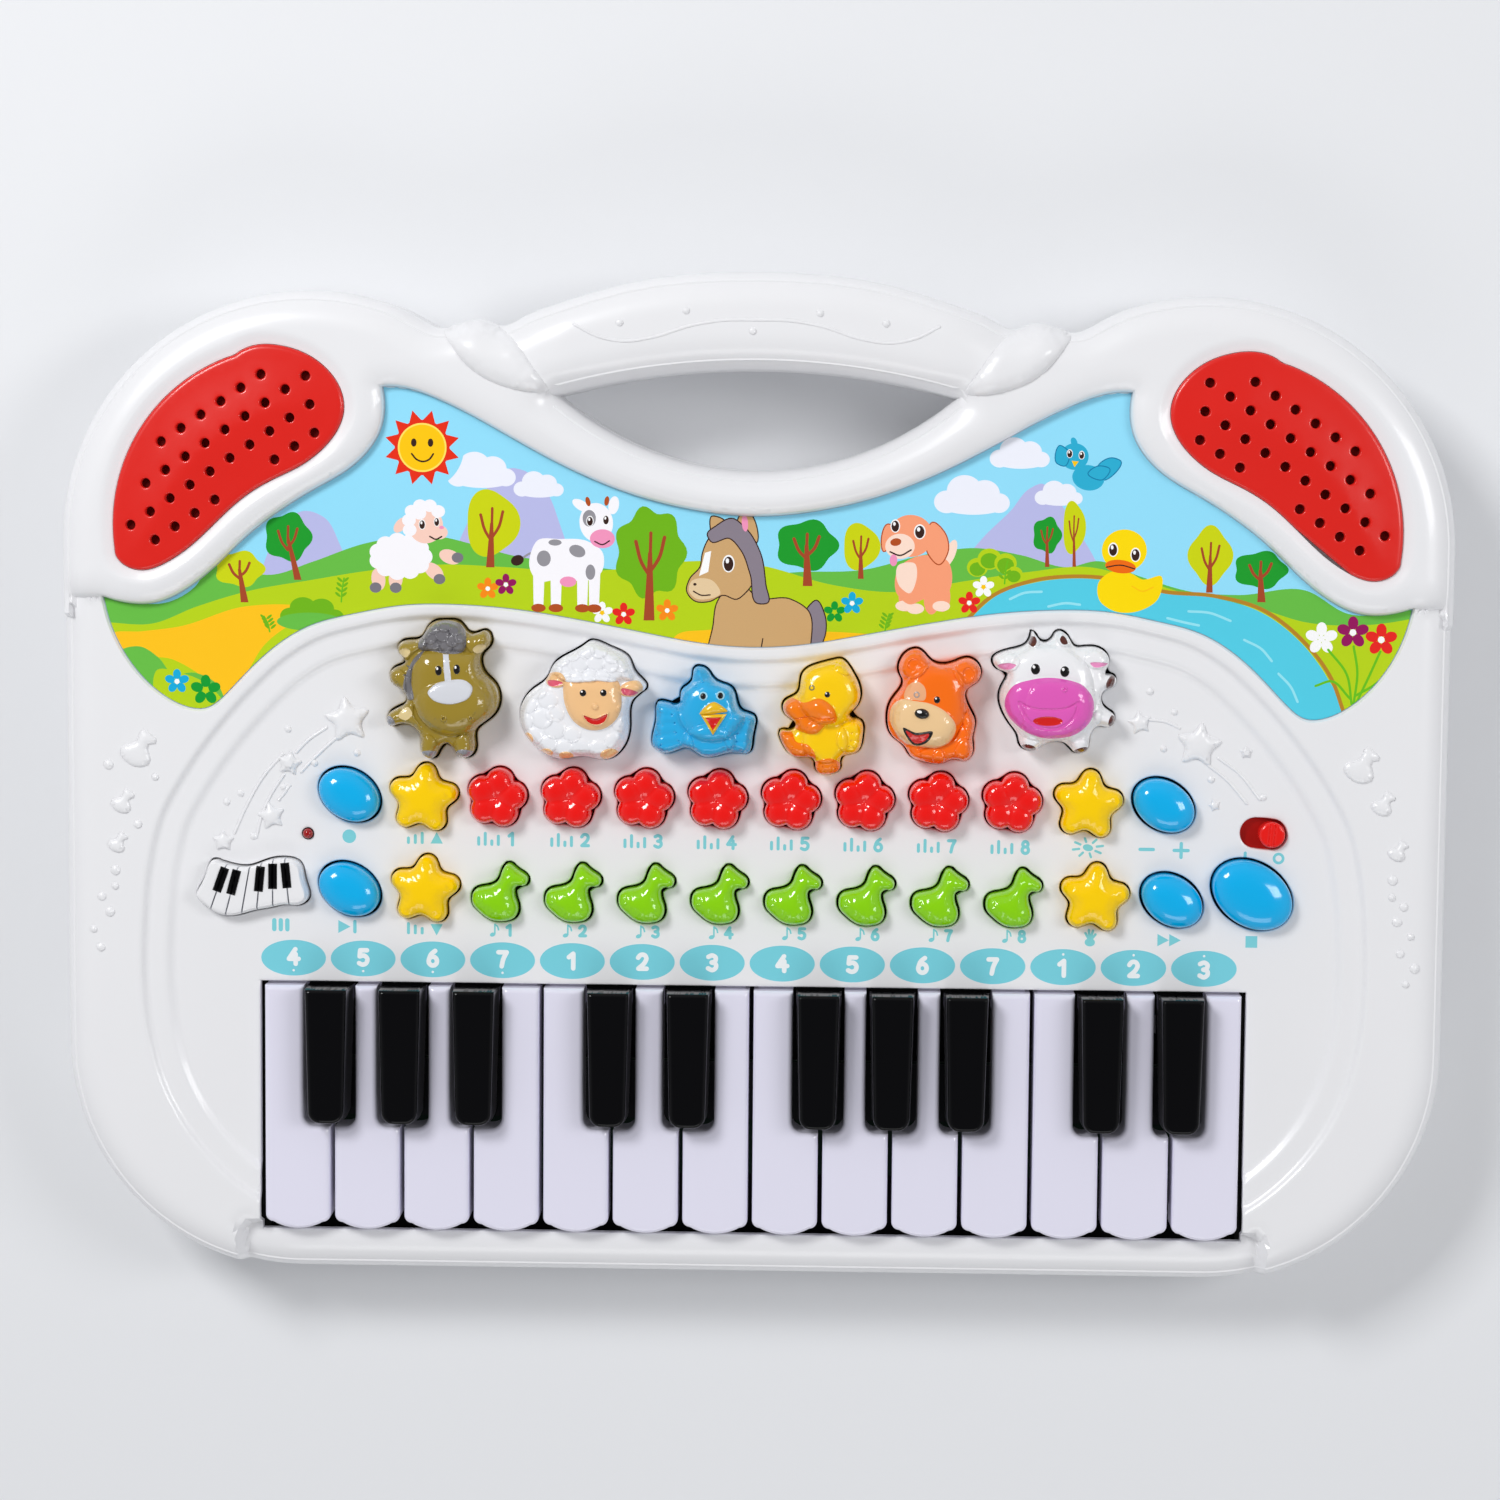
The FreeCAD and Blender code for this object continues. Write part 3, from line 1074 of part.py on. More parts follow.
# ------------------------------------------------------------------ build every node
def main():
    os.makedirs("parts", exist_ok=True)
    controls = panel_controls()
    save("upper_housing", upper_housing(controls))
    save("lower_housing", lower_housing())
    save("battery_door", battery_door())
    save("battery_door_screw", battery_door_screw())
    save("screws", screws())
    save("rubber_feet", rubber_feet())
    grille = speaker_grille()
    save("speaker_grille_right", grille)
    save("speaker_grille_left", grille.mirror(V(0, 0), V(1, 0)))
    save("speaker_drivers", [speaker_driver(-1), speaker_driver(1)])
    save("scene_label", scene_label())
    save("main_circuit_board", main_circuit_board())
    save("contact_pads", contact_pads(controls))
    save("batteries", cells())
    save("battery_contacts", cell_contacts())
    save("key_chassis", key_chassis())
    save("key_hinge_rod", key_hinge_rod())
    save("record_led", record_led())
    save("power_switch_knob", power_switch_knob())
    make_buttons(controls)
    for i in range(WHITE_KEYS):
        save("white_key_%02d" % (i + 1), white_key(i))
    for i, x in enumerate(black_centres().values()):
        save("black_key_%02d" % (i + 1), black_key(x))


main()
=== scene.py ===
import math
from collections import defaultdict

import bpy
import numpy as np
from mathutils import Matrix, Vector
from mathutils.geometry import delaunay_2d_cdt
from mathutils.kdtree import KDTree


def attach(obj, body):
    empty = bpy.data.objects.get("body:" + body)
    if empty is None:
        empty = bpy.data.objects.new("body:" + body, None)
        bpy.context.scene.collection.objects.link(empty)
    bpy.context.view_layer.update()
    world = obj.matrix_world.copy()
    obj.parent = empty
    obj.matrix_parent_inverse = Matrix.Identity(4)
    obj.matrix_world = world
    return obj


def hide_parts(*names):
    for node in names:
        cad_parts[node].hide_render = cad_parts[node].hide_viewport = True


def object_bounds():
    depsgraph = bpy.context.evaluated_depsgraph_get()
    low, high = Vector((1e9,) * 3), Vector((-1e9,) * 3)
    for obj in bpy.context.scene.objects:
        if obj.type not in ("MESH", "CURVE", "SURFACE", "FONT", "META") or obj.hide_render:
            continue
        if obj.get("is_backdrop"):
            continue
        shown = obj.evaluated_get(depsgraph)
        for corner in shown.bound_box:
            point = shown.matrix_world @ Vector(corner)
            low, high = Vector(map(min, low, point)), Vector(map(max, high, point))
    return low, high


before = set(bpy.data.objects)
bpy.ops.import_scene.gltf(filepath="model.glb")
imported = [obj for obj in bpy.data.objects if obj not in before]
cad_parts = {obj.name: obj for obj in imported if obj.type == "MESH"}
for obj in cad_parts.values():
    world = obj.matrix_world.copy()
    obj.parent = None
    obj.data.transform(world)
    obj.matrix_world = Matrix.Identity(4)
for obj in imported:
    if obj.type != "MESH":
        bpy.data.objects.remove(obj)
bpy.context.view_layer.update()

MM = 0.001          # every dimension below is in millimetres; meshes are made in metres

# ------------------------------------------------------------------ levels and places, in millimetres
PARTING_PLANE = 22.0
LEDGE_TOP = 33.0
PANEL_TOP = 36.0
STEP_TOP = 37.4
LABEL_BED = 37.7
LABEL_TOP = 38.0
RIM_TOP = 39.0
SHOULDER_TOP = 43.0
SKIN = 2.4
STEP_WIDTH = 8.0
KEY_OPENING = (-143.0, 143.0, -133.3, -59.5)
LEDGE_HALF_WIDTH = 149.0
LEDGE_BACK = -130.0
SHARED_EDGE = 3.5       # the shoulders run along the casing's own edge within this distance
ARCH = [(0, 35.6), (15, 36.5), (30, 39.2), (48, 42.7), (71, 46.2), (87, 47.4), (101, 46.9),
        (114, 44.4), (126, 40.8), (135.3, 35.2), (143.7, 27.7), (150.2, 20.8), (156.7, 13),
        (165, 1.1), (171.5, -11), (175.1, -25.2), (176.8, -42), (177, -61.7), (175.2, -77),
        (171.2, -90.8), (164.5, -103.4), (156.5, -113.2), (147.6, -121), (138, -127)]


# ------------------------------------------------------------------ plane geometry
def thinned(points, gap):
    """The points without any that crowd the one before."""
    kept = [points[0]]
    for point in points[1:]:
        if np.hypot(*(point - kept[-1])) > gap:
            kept.append(point)
    if len(kept) > 3 and np.hypot(*(kept[-1] - kept[0])) < gap:
        kept.pop()
    return np.array(kept)


def without_collinear(points, slack=0.004):
    """The loop without points that lie on the straight line between their neighbours."""
    kept = []
    count = len(points)
    for i in range(count):
        before = kept[-1] if kept else points[i - 1]
        here, after = points[i], points[(i + 1) % count]
        along = after - before
        length = max(np.hypot(*along), 1e-9)
        off = abs(along[0] * (here[1] - before[1]) - along[1] * (here[0] - before[0])) / length
        if off > slack or np.dot(here - before, after - here) < 0:
            kept.append(here)
    return np.array(kept)


def smooth_path(points, spacing, closed):
    """Points evenly spaced along the smooth curve through the given ones."""
    points = np.asarray(points, float)
    if closed:
        padded = np.vstack([points[-1:], points, points[:2]])
    else:
        padded = np.vstack([2 * points[:1] - points[1:2], points, 2 * points[-1:] - points[-2:-1]])
    step = np.diff(padded, axis=0)
    chord = np.maximum(np.linalg.norm(step, axis=1), 1e-6)
    unit = step / chord[:, None]
    near, far = chord[:-1, None], chord[1:, None]
    tangent = (unit[:-1] * far + unit[1:] * near) / (near + far)
    path = []
    for i in range(len(tangent) - 1):
        length = chord[i + 1]
        t = np.arange(max(1, int(math.ceil(length / spacing))))[:, None]
        t = t / len(t)
        a, b = padded[i + 1], padded[i + 2]
        path.append((2 * t**3 - 3 * t**2 + 1) * a + (t**3 - 2 * t**2 + t) * length * tangent[i]
                    + (3 * t**2 - 2 * t**3) * b + (t**3 - t**2) * length * tangent[i + 1])
    if not closed:
        path.append(points[-1:])
    return np.vstack(path)


def smooth_loop(points, spacing, corner=42.0, long_side=9.0):
    """A closed loop resampled along smooth curves; sharp corners and long straight sides stay as they are."""
    points = without_collinear(thinned(np.asarray(points, float), 0.05))
    ahead = np.roll(points, -1, axis=0) - points
    behind = np.roll(ahead, 1, axis=0)
    turn = np.abs(np.arctan2(behind[:, 0] * ahead[:, 1] - behind[:, 1] * ahead[:, 0],
                             np.sum(behind * ahead, axis=1)))
    length = np.hypot(*ahead.T)
    breaks = (turn > math.radians(corner)) | (length > long_side) | (np.roll(length, 1) > long_side)
    places = np.nonzero(breaks)[0]
    if len(places) == 0:
        return smooth_path(points, spacing, True)
    points = np.roll(points, -places[0], axis=0)
    places = np.append(places - places[0], len(points))
    wrapped = np.vstack([points, points[:1]])
    return np.vstack([smooth_path(wrapped[a:b + 1], spacing, False)[:-1]
                      for a, b in zip(places[:-1], places[1:])])


def area(loop):
    x, y = loop[:, 0], loop[:, 1]
    return 0.5 * np.sum(x * np.roll(y, -1) - np.roll(x, -1) * y)


def mirrored(points):
    return [(-x, y) for x, y in points]


def ellipse(x, y, rx, ry, tilt=0.0, count=40):
    angle = np.arange(count) * 2 * math.pi / count
    c, s = math.cos(math.radians(tilt)), math.sin(math.radians(tilt))
    u, v = rx * np.cos(angle), ry * np.sin(angle)
    return np.column_stack([x + c * u - s * v, y + s * u + c * v])


def blob(points, spacing=0.5):
    """Smooth closed curve through given points."""
    loop = smooth_path(np.asarray(points, float), spacing, True)
    return loop if area(loop) > 0 else loop[::-1]


def polygon(points):
    loop = np.asarray(points, float)
    return loop if area(loop) > 0 else loop[::-1]


def ribbon(path, width, spacing=0.4):
    """Closed outline of a brush stroke of one width along a path, with round ends."""
    middle = smooth_path(path, spacing, False) if len(path) > 2 else np.asarray(path, float)
    along = np.gradient(middle, axis=0)
    along /= np.maximum(np.hypot(*along.T), 1e-9)[:, None]
    side = np.column_stack([-along[:, 1], along[:, 0]]) * width / 2
    ends = []
    for centre, direction in ((middle[-1], along[-1]), (middle[0], -along[0])):
        start = math.atan2(direction[1], direction[0]) - math.pi / 2
        turn = start + np.arange(1, 6) * math.pi / 6
        ends.append(centre + width / 2 * np.column_stack([np.cos(turn), np.sin(turn)]))
    return polygon(np.vstack([middle - side, ends[0], (middle + side)[::-1], ends[1]]))


def inside(points, loop):
    """Which points lie inside a closed loop."""
    result = np.zeros(len(points), bool)
    low, high = loop.min(0), loop.max(0)
    near = np.nonzero(np.all((points >= low) & (points <= high), axis=1))[0]
    ax, ay = loop.T
    bx, by = np.roll(loop, -1, axis=0).T
    rise = np.where(np.abs(by - ay) < 1e-12, 1e-12, by - ay)
    for start in range(0, len(near), 2000):
        chosen = near[start:start + 2000]
        x, y = points[chosen, 0][:, None], points[chosen, 1][:, None]
        crosses = ((ay > y) != (by > y)) & (x < (bx - ax) * (y - ay) / rise + ax)
        result[chosen] = crosses.sum(axis=1) % 2 == 1
    return result


class Border:
    """Distance to closed loops, or to the chosen sides of them."""

    def __init__(self, loops, keep=None, spacing=1.0):
        self.loops = [np.asarray(loop, float) for loop in loops]
        starts = np.vstack(self.loops)
        ends = np.vstack([np.roll(loop, -1, axis=0) for loop in self.loops])
        if keep is not None:
            chosen = keep((starts + ends) / 2)
            starts, ends = starts[chosen], ends[chosen]
        pieces = np.maximum(1, np.ceil(np.hypot(*(ends - starts).T) / spacing)).astype(int)
        index = np.repeat(np.arange(len(starts)), pieces)
        first = np.concatenate([[0], np.cumsum(pieces)[:-1]])
        step = (np.arange(len(index)) - first[index])[:, None] / pieces[index][:, None]
        self.a = starts[index] + (ends - starts)[index] * step
        self.b = self.a + (ends - starts)[index] / pieces[index][:, None]
        middle = (self.a + self.b) / 2
        self.tree = KDTree(len(middle))
        for i, (x, y) in enumerate(middle):
            self.tree.insert((x, y, 0.0), i)
        self.tree.balance()

    def distance(self, points):
        nearest = np.empty((len(points), 3), int)
        for i, (x, y) in enumerate(points):
            found = self.tree.find_n((x, y, 0.0), 3)
            nearest[i] = [item[1] for item in found]
        best = np.full(len(points), 1e9)
        for k in range(3):
            a, b = self.a[nearest[:, k]], self.b[nearest[:, k]]
            along = b - a
            t = np.sum((points - a) * along, axis=1) / np.maximum(np.sum(along * along, axis=1), 1e-12)
            gap = points - a - np.clip(t, 0, 1)[:, None] * along
            best = np.minimum(best, np.hypot(*gap.T))
        return best

    def signed(self, points):
        """Positive inside the first loop and outside the others."""
        distance = self.distance(points)
        within = inside(points, self.loops[0])
        for loop in self.loops[1:]:
            within &= ~inside(points, loop)
        return np.where(within, distance, -distance)


def inward(loop):
    """Unit directions into a counter-clockwise loop, one for each point."""
    along = np.roll(loop, -1, axis=0) - np.roll(loop, 1, axis=0)
    along /= np.maximum(np.hypot(*along.T), 1e-9)[:, None]
    return np.column_stack([-along[:, 1], along[:, 0]])


def ring(loop, inset, border=None):
    """The loop's points moved inwards by inset, without those that cross over."""
    moved = loop + inset * inward(loop)
    border = border or Border([loop])
    return moved[border.distance(moved) > abs(inset) - 0.03]


def pushed_out(loop, chosen, reach):
    """The loop with its chosen points moved outwards."""
    return np.where(chosen[:, None], loop - reach * inward(loop), loop)


def rings(loop, insets, border=None):
    border = border or Border([loop])
    return np.vstack([ring(loop, inset, border) for inset in insets])


def hexagonal(low, high, spacing):
    """Points of a triangular grid over a box."""
    rows = np.arange(low[1], high[1], spacing * math.sqrt(0.75))
    columns = np.arange(low[0], high[0], spacing)
    x, y = np.meshgrid(columns, rows)
    x = x + (np.arange(len(rows)) % 2)[:, None] * spacing / 2
    return np.column_stack([x.ravel(), y.ravel()])


def away_from(points, others, gap):
    """The points that stand clear of the others."""
    tree = KDTree(len(others))
    for i, (x, y) in enumerate(others):
        tree.insert((x, y, 0.0), i)
    tree.balance()
    return points[[tree.find((x, y, 0.0))[2] > gap for x, y in points]]


def smoothstep(t):
    t = np.clip(t, 0.0, 1.0)
    return t * t * (3 - 2 * t)


def quarter(t):
    """Height of a quarter round at a share t of its width."""
    t = np.clip(t, 0.0, 1.0)
    return np.sqrt(1 - (1 - t) ** 2)


# ------------------------------------------------------------------ outlines read from the CAD nodes
def cad_loops(node, height):
    """Closed outlines where a level plane cuts a CAD node, largest first, counter-clockwise."""
    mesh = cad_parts[node].data
    points = np.empty(len(mesh.vertices) * 3)
    mesh.vertices.foreach_get("co", points)
    mesh.calc_loop_triangles()
    corners = np.empty(len(mesh.loop_triangles) * 3, np.int32)
    mesh.loop_triangles.foreach_get("vertices", corners)
    points, merged = np.unique(np.round(points.reshape(-1, 3) / MM, 4), axis=0, return_inverse=True)
    triangles = merged.ravel()[corners].reshape(-1, 3)
    above = points[:, 2] > height
    crossing = triangles[above[triangles].any(1) & ~above[triangles].all(1)]
    links = defaultdict(list)
    places = {}
    for a, b, c in crossing:
        keys = []
        for p, q in ((a, b), (b, c), (c, a)):
            if above[p] != above[q]:
                share = (height - points[p, 2]) / (points[q, 2] - points[p, 2])
                key = (min(p, q), max(p, q))
                places[key] = (points[p] + (points[q] - points[p]) * share)[:2]
                keys.append(key)
        links[keys[0]].append(keys[1])
        links[keys[1]].append(keys[0])
    loops, used = [], set()
    for start in links:
        loop, here = [], start
        while here not in used:
            used.add(here)
            loop.append(places[here])
            following = [key for key in links[here] if key not in used]
            if following:
                here = following[0]
        if len(loop) > 2:
            loops.append(polygon(loop))
    return sorted(loops, key=area, reverse=True)


# ------------------------------------------------------------------ meshes
def mesh_object(name, vertices, faces, finishes, indices=None, sharp=38.0):
    mesh = bpy.data.meshes.new(name)
    mesh.from_pydata((np.asarray(vertices) * MM).tolist(), [], faces)
    for finish in finishes:
        mesh.materials.append(finish)
    if indices is not None:
        mesh.polygons.foreach_set("material_index", np.asarray(indices, np.int32))
    mesh.polygons.foreach_set("use_smooth", np.ones(len(mesh.polygons), bool))
    mesh.update()
    mesh.set_sharp_from_angle(angle=math.radians(sharp))
    piece = bpy.data.objects.new(name, mesh)
    bpy.context.scene.collection.objects.link(piece)
    return piece


def place(piece, body, *nodes):
    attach(piece, body)
    if nodes:
        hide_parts(*nodes)
    return piece


def sheet(outline, top, bottom, holes=(), inks=(), follow=(), fill=(), relax=0, steady=None):
    """Closed solid over an outline, between two height functions: vertices, faces and their finish
    indices. Inks are (loop, finish index), the later ones over the earlier ones. Mesh edges run along
    the follow lines, and fill holds loose points."""
    loops = [outline] + list(holes) + [ink[0] for ink in inks]
    points, faces, edges, start = [], [], [], 0
    for loop in loops:
        points.append(loop)
        faces.append(list(range(start, start + len(loop))))
        start += len(loop)
    for group in follow:
        if len(group) > 1:
            step = np.hypot(*np.diff(group, axis=0).T)
            near = np.nonzero(step < 2.3 * np.median(step))[0] + start
            edges += [(int(i), int(i) + 1) for i in near]
            points.append(group)
            start += len(group)
    points = np.vstack(points + [np.asarray(group) for group in fill if len(group)])
    flat, _, triangles, _, _, owners = delaunay_2d_cdt([Vector(p) for p in points], edges, faces, 0, 1e-5)
    flat = np.array([(p.x, p.y) for p in flat])
    hole_ids = set(range(1, 1 + len(holes)))
    kept, finish = [], []
    for triangle, owner in zip(triangles, owners):
        if 0 not in owner or hole_ids & set(owner):
            continue
        kept.append(triangle)
        top_ink = max(owner)
        finish.append(inks[top_ink - 1 - len(holes)][1] if top_ink > len(holes) else 0)
    used = np.unique(np.concatenate([np.asarray(t) for t in kept]))
    renumber = -np.ones(len(flat), int)
    renumber[used] = np.arange(len(used))
    flat = flat[used]
    kept = [[int(renumber[i]) for i in triangle] for triangle in kept]
    count = len(flat)
    high = top(flat)
    if relax:
        high = relaxed(high, kept, relax, steady(flat) if steady else None)
    low = bottom(flat) if callable(bottom) else np.full(count, float(bottom))
    vertices = np.vstack([np.column_stack([flat, high]), np.column_stack([flat, low])])
    directed = {}
    for triangle in kept:
        for a, b in zip(triangle, triangle[1:] + triangle[:1]):
            directed[(a, b)] = True
    walls = [[a, a + count, b + count, b] for a, b in directed if (b, a) not in directed]
    under = [[i + count for i in reversed(triangle)] for triangle in kept]
    return vertices, kept + under + walls, finish + [0] * (len(under) + len(walls))


def relaxed(heights, triangles, rounds, held=None):
    """Heights evened out with their neighbours; the rim and the held points are kept."""
    sides = np.array([(t[k], t[(k + 1) % 3]) for t in triangles for k in range(3)])
    both, uses = np.unique(np.sort(sides, axis=1), axis=0, return_counts=True)
    fixed = np.zeros(len(heights), bool)
    fixed[both[uses == 1].ravel()] = True
    if held is not None:
        fixed |= held
    a, b = both.T
    share = np.bincount(a, minlength=len(heights)) + np.bincount(b, minlength=len(heights))
    for _ in range(rounds):
        total = (np.bincount(a, heights[b], len(heights)) + np.bincount(b, heights[a], len(heights)))
        heights = np.where(fixed, heights, 0.5 * heights + 0.5 * total / np.maximum(share, 1))
    return heights


def solid(name, finishes, *sheets, sharp=38.0):
    """One object from one or several sheets, each given as (vertices, faces, finish indices)."""
    vertices, faces, indices, start = [], [], [], 0
    for points, sides, finish in sheets:
        vertices.append(points)
        faces += [[i + start for i in side] for side in sides]
        indices += finish
        start += len(points)
    return mesh_object(name, np.vstack(vertices), faces, finishes, indices, sharp)


def refinished(made, finish):
    """A sheet with one finish index all over."""
    vertices, faces, _ = made
    return vertices, faces, [finish] * len(faces)


def flat_top(height):
    return lambda points: np.full(len(points), float(height))


# ------------------------------------------------------------------ finishes
def material(name):
    made = bpy.data.materials.new(name)
    made.use_nodes = True
    nodes, links = made.node_tree.nodes, made.node_tree.links
    return made, nodes, links, nodes["Principled BSDF"]


def linear(colour):
    """Linear colour of an 8-bit display colour."""
    shares = [c / 255.0 for c in colour]
    return [s / 12.92 if s <= 0.04045 else ((s + 0.055) / 1.055) ** 2.4 for s in shares] + [1.0]


def noise(nodes, links, scale, detail=3.0, roughness=0.5):
    place = nodes.new("ShaderNodeTexCoord")
    texture = nodes.new("ShaderNodeTexNoise")
    texture.inputs["Scale"].default_value = scale
    texture.inputs["Detail"].default_value = detail
    texture.inputs["Roughness"].default_value = roughness
    links.new(place.outputs["Object"], texture.inputs["Vector"])
    return texture


def spread_value(nodes, links, source, low, high):
    ranger = nodes.new("ShaderNodeMapRange")
    ranger.inputs["From Min"].default_value = 0.3
    ranger.inputs["From Max"].default_value = 0.7
    ranger.inputs["To Min"].default_value = low
    ranger.inputs["To Max"].default_value = high
    links.new(source, ranger.inputs["Value"])
    return ranger.outputs["Result"]


def plastic(name, colour, rough=0.28, coat=0.0, bump=0.006, grain=900.0, tint=0.03,
            metallic=0.0, shine=0.5):
    """Moulded plastic: slightly uneven colour and gloss, with a fine moulded surface."""
    made, nodes, links, shader = material(name)
    base = linear(colour)
    cloud = noise(nodes, links, 35.0, 4.0)
    mix = nodes.new("ShaderNodeMix")
    mix.data_type = "RGBA"
    links.new(cloud.outputs["Fac"], mix.inputs["Factor"])
    mix.inputs["A"].default_value = [c * (1 - tint) for c in base[:3]] + [1.0]
    mix.inputs["B"].default_value = [min(1.0, c * (1 + tint)) for c in base[:3]] + [1.0]
    links.new(mix.outputs["Result"], shader.inputs["Base Color"])
    fine = noise(nodes, links, grain, 2.0)
    gloss = noise(nodes, links, 120.0, 3.0)
    links.new(spread_value(nodes, links, gloss.outputs["Fac"], rough * 0.95, rough * 1.05),
              shader.inputs["Roughness"])
    relief = nodes.new("ShaderNodeBump")
    relief.inputs["Strength"].default_value = 0.25
    relief.inputs["Distance"].default_value = bump * MM
    links.new(fine.outputs["Fac"], relief.inputs["Height"])
    links.new(relief.outputs["Normal"], shader.inputs["Normal"])
    shader.inputs["Specular IOR Level"].default_value = shine
    shader.inputs["Coat Weight"].default_value = coat
    shader.inputs["Coat Roughness"].default_value = 0.06
    shader.inputs["Metallic"].default_value = metallic
    return made


def printed(name, colour, rough=0.32, tint=0.02):
    """Printing ink on plastic or on the laminated label."""
    return plastic(name, colour, rough=rough, bump=0.004, grain=2500.0, tint=tint, shine=0.25)


casing_white = plastic("casing_white", (236, 236, 238), rough=0.30, coat=0.25, bump=0.008, tint=0.012)
casing_underside = plastic(
    "casing_underside", (228, 228, 230), rough=0.42, bump=0.03, grain=1400.0, tint=0.02)
print_cyan = printed("print_cyan", (122, 208, 222))
print_white = printed("print_white", (240, 244, 246))
print_icon = printed("print_icon", (128, 208, 216))
key_white = plastic("key_white", (230, 228, 244), rough=0.12, coat=0.5, tint=0.01)
key_black = plastic("key_black", (4, 4, 6), rough=0.08, coat=0.12, tint=0.08, shine=0.15)
button_blue = plastic("button_blue", (0, 176, 236), rough=0.12, coat=0.4, shine=0.4)
button_yellow = plastic("button_yellow", (255, 208, 0), rough=0.12, coat=0.25, shine=0.3)
button_red = plastic("button_red", (240, 14, 8), rough=0.12, coat=0.4, shine=0.4)
button_green = plastic("button_green", (138, 212, 0), rough=0.12, coat=0.4, shine=0.4)
piano_white = plastic("piano_white", (238, 238, 240), rough=0.22, coat=0.4)
grille_red = plastic("grille_red", (222, 30, 20), rough=0.3, coat=0.2, bump=0.01, shine=0.4)
# painted shade: the grille's red darkened, for the shaded insides of its holes
grille_hole_shade = plastic("grille_hole_shade", (86, 6, 4), rough=0.7, shine=0.1)
switch_red = plastic("switch_red", (236, 22, 14), rough=0.2, coat=0.3, shine=0.4)
# painted shade: the slider's red darkened where it lies in the shade of the slot
slot_shaded_red = plastic("slot_shaded_red", (172, 18, 12), rough=0.4, shine=0.2)
lamp_red = plastic("lamp_red", (156, 4, 8), rough=0.1, coat=0.4)
# painted shade: grey for the thin dark line where the casing steps down to the label
label_edge_shade = plastic("label_edge_shade", (186, 190, 196), rough=0.4)
shadow_black = plastic("shadow_black", (8, 8, 9), rough=0.7, shine=0.15)

# ------------------------------------------------------------------ upper shell of the casing
casing_loop = smooth_loop(cad_loops("upper_housing", 30.0)[0], 1.5)
lens_loop = smooth_loop(cad_loops("upper_housing", 30.0)[3], 1.5)
casing_border = Border([casing_loop, lens_loop])
arch_half = ARCH[::-1]
arch_loop = polygon(np.vstack([smooth_path(arch_half + mirrored(ARCH[1:]), 1.5, False)]))
arch_border = Border([arch_loop])
label_loop = smooth_loop(cad_loops("scene_label", 0.5 * (LABEL_BED + LABEL_TOP))[0], 1.4)
label_border = Border([label_loop])
raised_loop = smooth_loop(cad_loops("upper_housing", 41.7)[0], 1.4)
raised_border = Border([raised_loop], keep=lambda middle: casing_border.distance(middle) > SHARED_EDGE)
raised_loop = pushed_out(raised_loop, casing_border.distance(raised_loop) <= SHARED_EDGE, 5.0)
grille_openings = [smooth_loop(loop, 1.4) for loop in cad_loops("upper_housing", 42.5)[1:3]]
grille_border = Border(grille_openings)
panel_cuts = cad_loops("upper_housing", 35.0)
x0, x1, y0, y1 = KEY_OPENING
key_opening = smooth_loop([(x0, y0), (x1, y0), (x1, y1), (x0, y1)], 2.0)
panel_openings = []
for cut in panel_cuts[1:]:
    low, high = cut.min(0), cut.max(0)
    within_panel = inside(cut.mean(0)[None], arch_loop)[0] and high[1] < 50 and low[1] > -58
    boss = high[0] - low[0] < 9.4 and abs((high - low)[0] - (high - low)[1]) < 0.1 and area(cut) > 60
    if within_panel and high[0] - low[0] < 60 and not boss:
        panel_openings.append(smooth_loop(cut, 0.7))


def step(distance, width):
    """Soft rise from 0 to 1 centred on an edge."""
    return smoothstep(distance / width + 0.5)


def shell_levels(points):
    """Height of the top skin before its outer edges are rounded off."""
    x, y = points.T
    within_arch = arch_border.signed(points)
    level = RIM_TOP - (RIM_TOP - STEP_TOP) * step(within_arch - 0.6, 2.4)
    level = level - (STEP_TOP - PANEL_TOP) * step(within_arch - STEP_WIDTH, 2.8)
    ledge = step(LEDGE_HALF_WIDTH - np.abs(x), 3.0) * step(LEDGE_BACK - y, 2.0)
    level = level + (LEDGE_TOP - level) * ledge
    off_label = -label_border.signed(points)
    level = np.where(off_label < 0, LABEL_BED, LABEL_BED + (level - LABEL_BED) * smoothstep(off_label / 0.9))
    behind = inside(points, raised_loop)
    rise = raised_border.distance(points)
    level = np.where(behind, level + (SHOULDER_TOP - level) * quarter(rise / 8.0), level)
    bar = smoothstep((74 - np.abs(x)) / 22) * smoothstep((y - 104) / 14)
    level = level + 2.6 * bar * np.where(behind, smoothstep(rise / 10), 0.0)
    round_grille = 1 - smoothstep(grille_border.distance(points) / 4.0)
    return level - np.where(behind, 1.0 * round_grille, 0.0)


def shell_top(points):
    level = shell_levels(points)
    edge = casing_border.distance(points)
    opening = 0.35 * (1 - quarter(openings_border.distance(points) / 0.7))
    drop = 9.5 * (1 - quarter(edge / 10.5))
    return np.maximum(level - drop - opening, PARTING_PLANE + 0.6)


def shell_bottom(points):
    edge = casing_border.distance(points)
    return np.where(edge < 2.55, PARTING_PLANE, np.maximum(shell_levels(points) - SKIN - 0.4, 24.5))


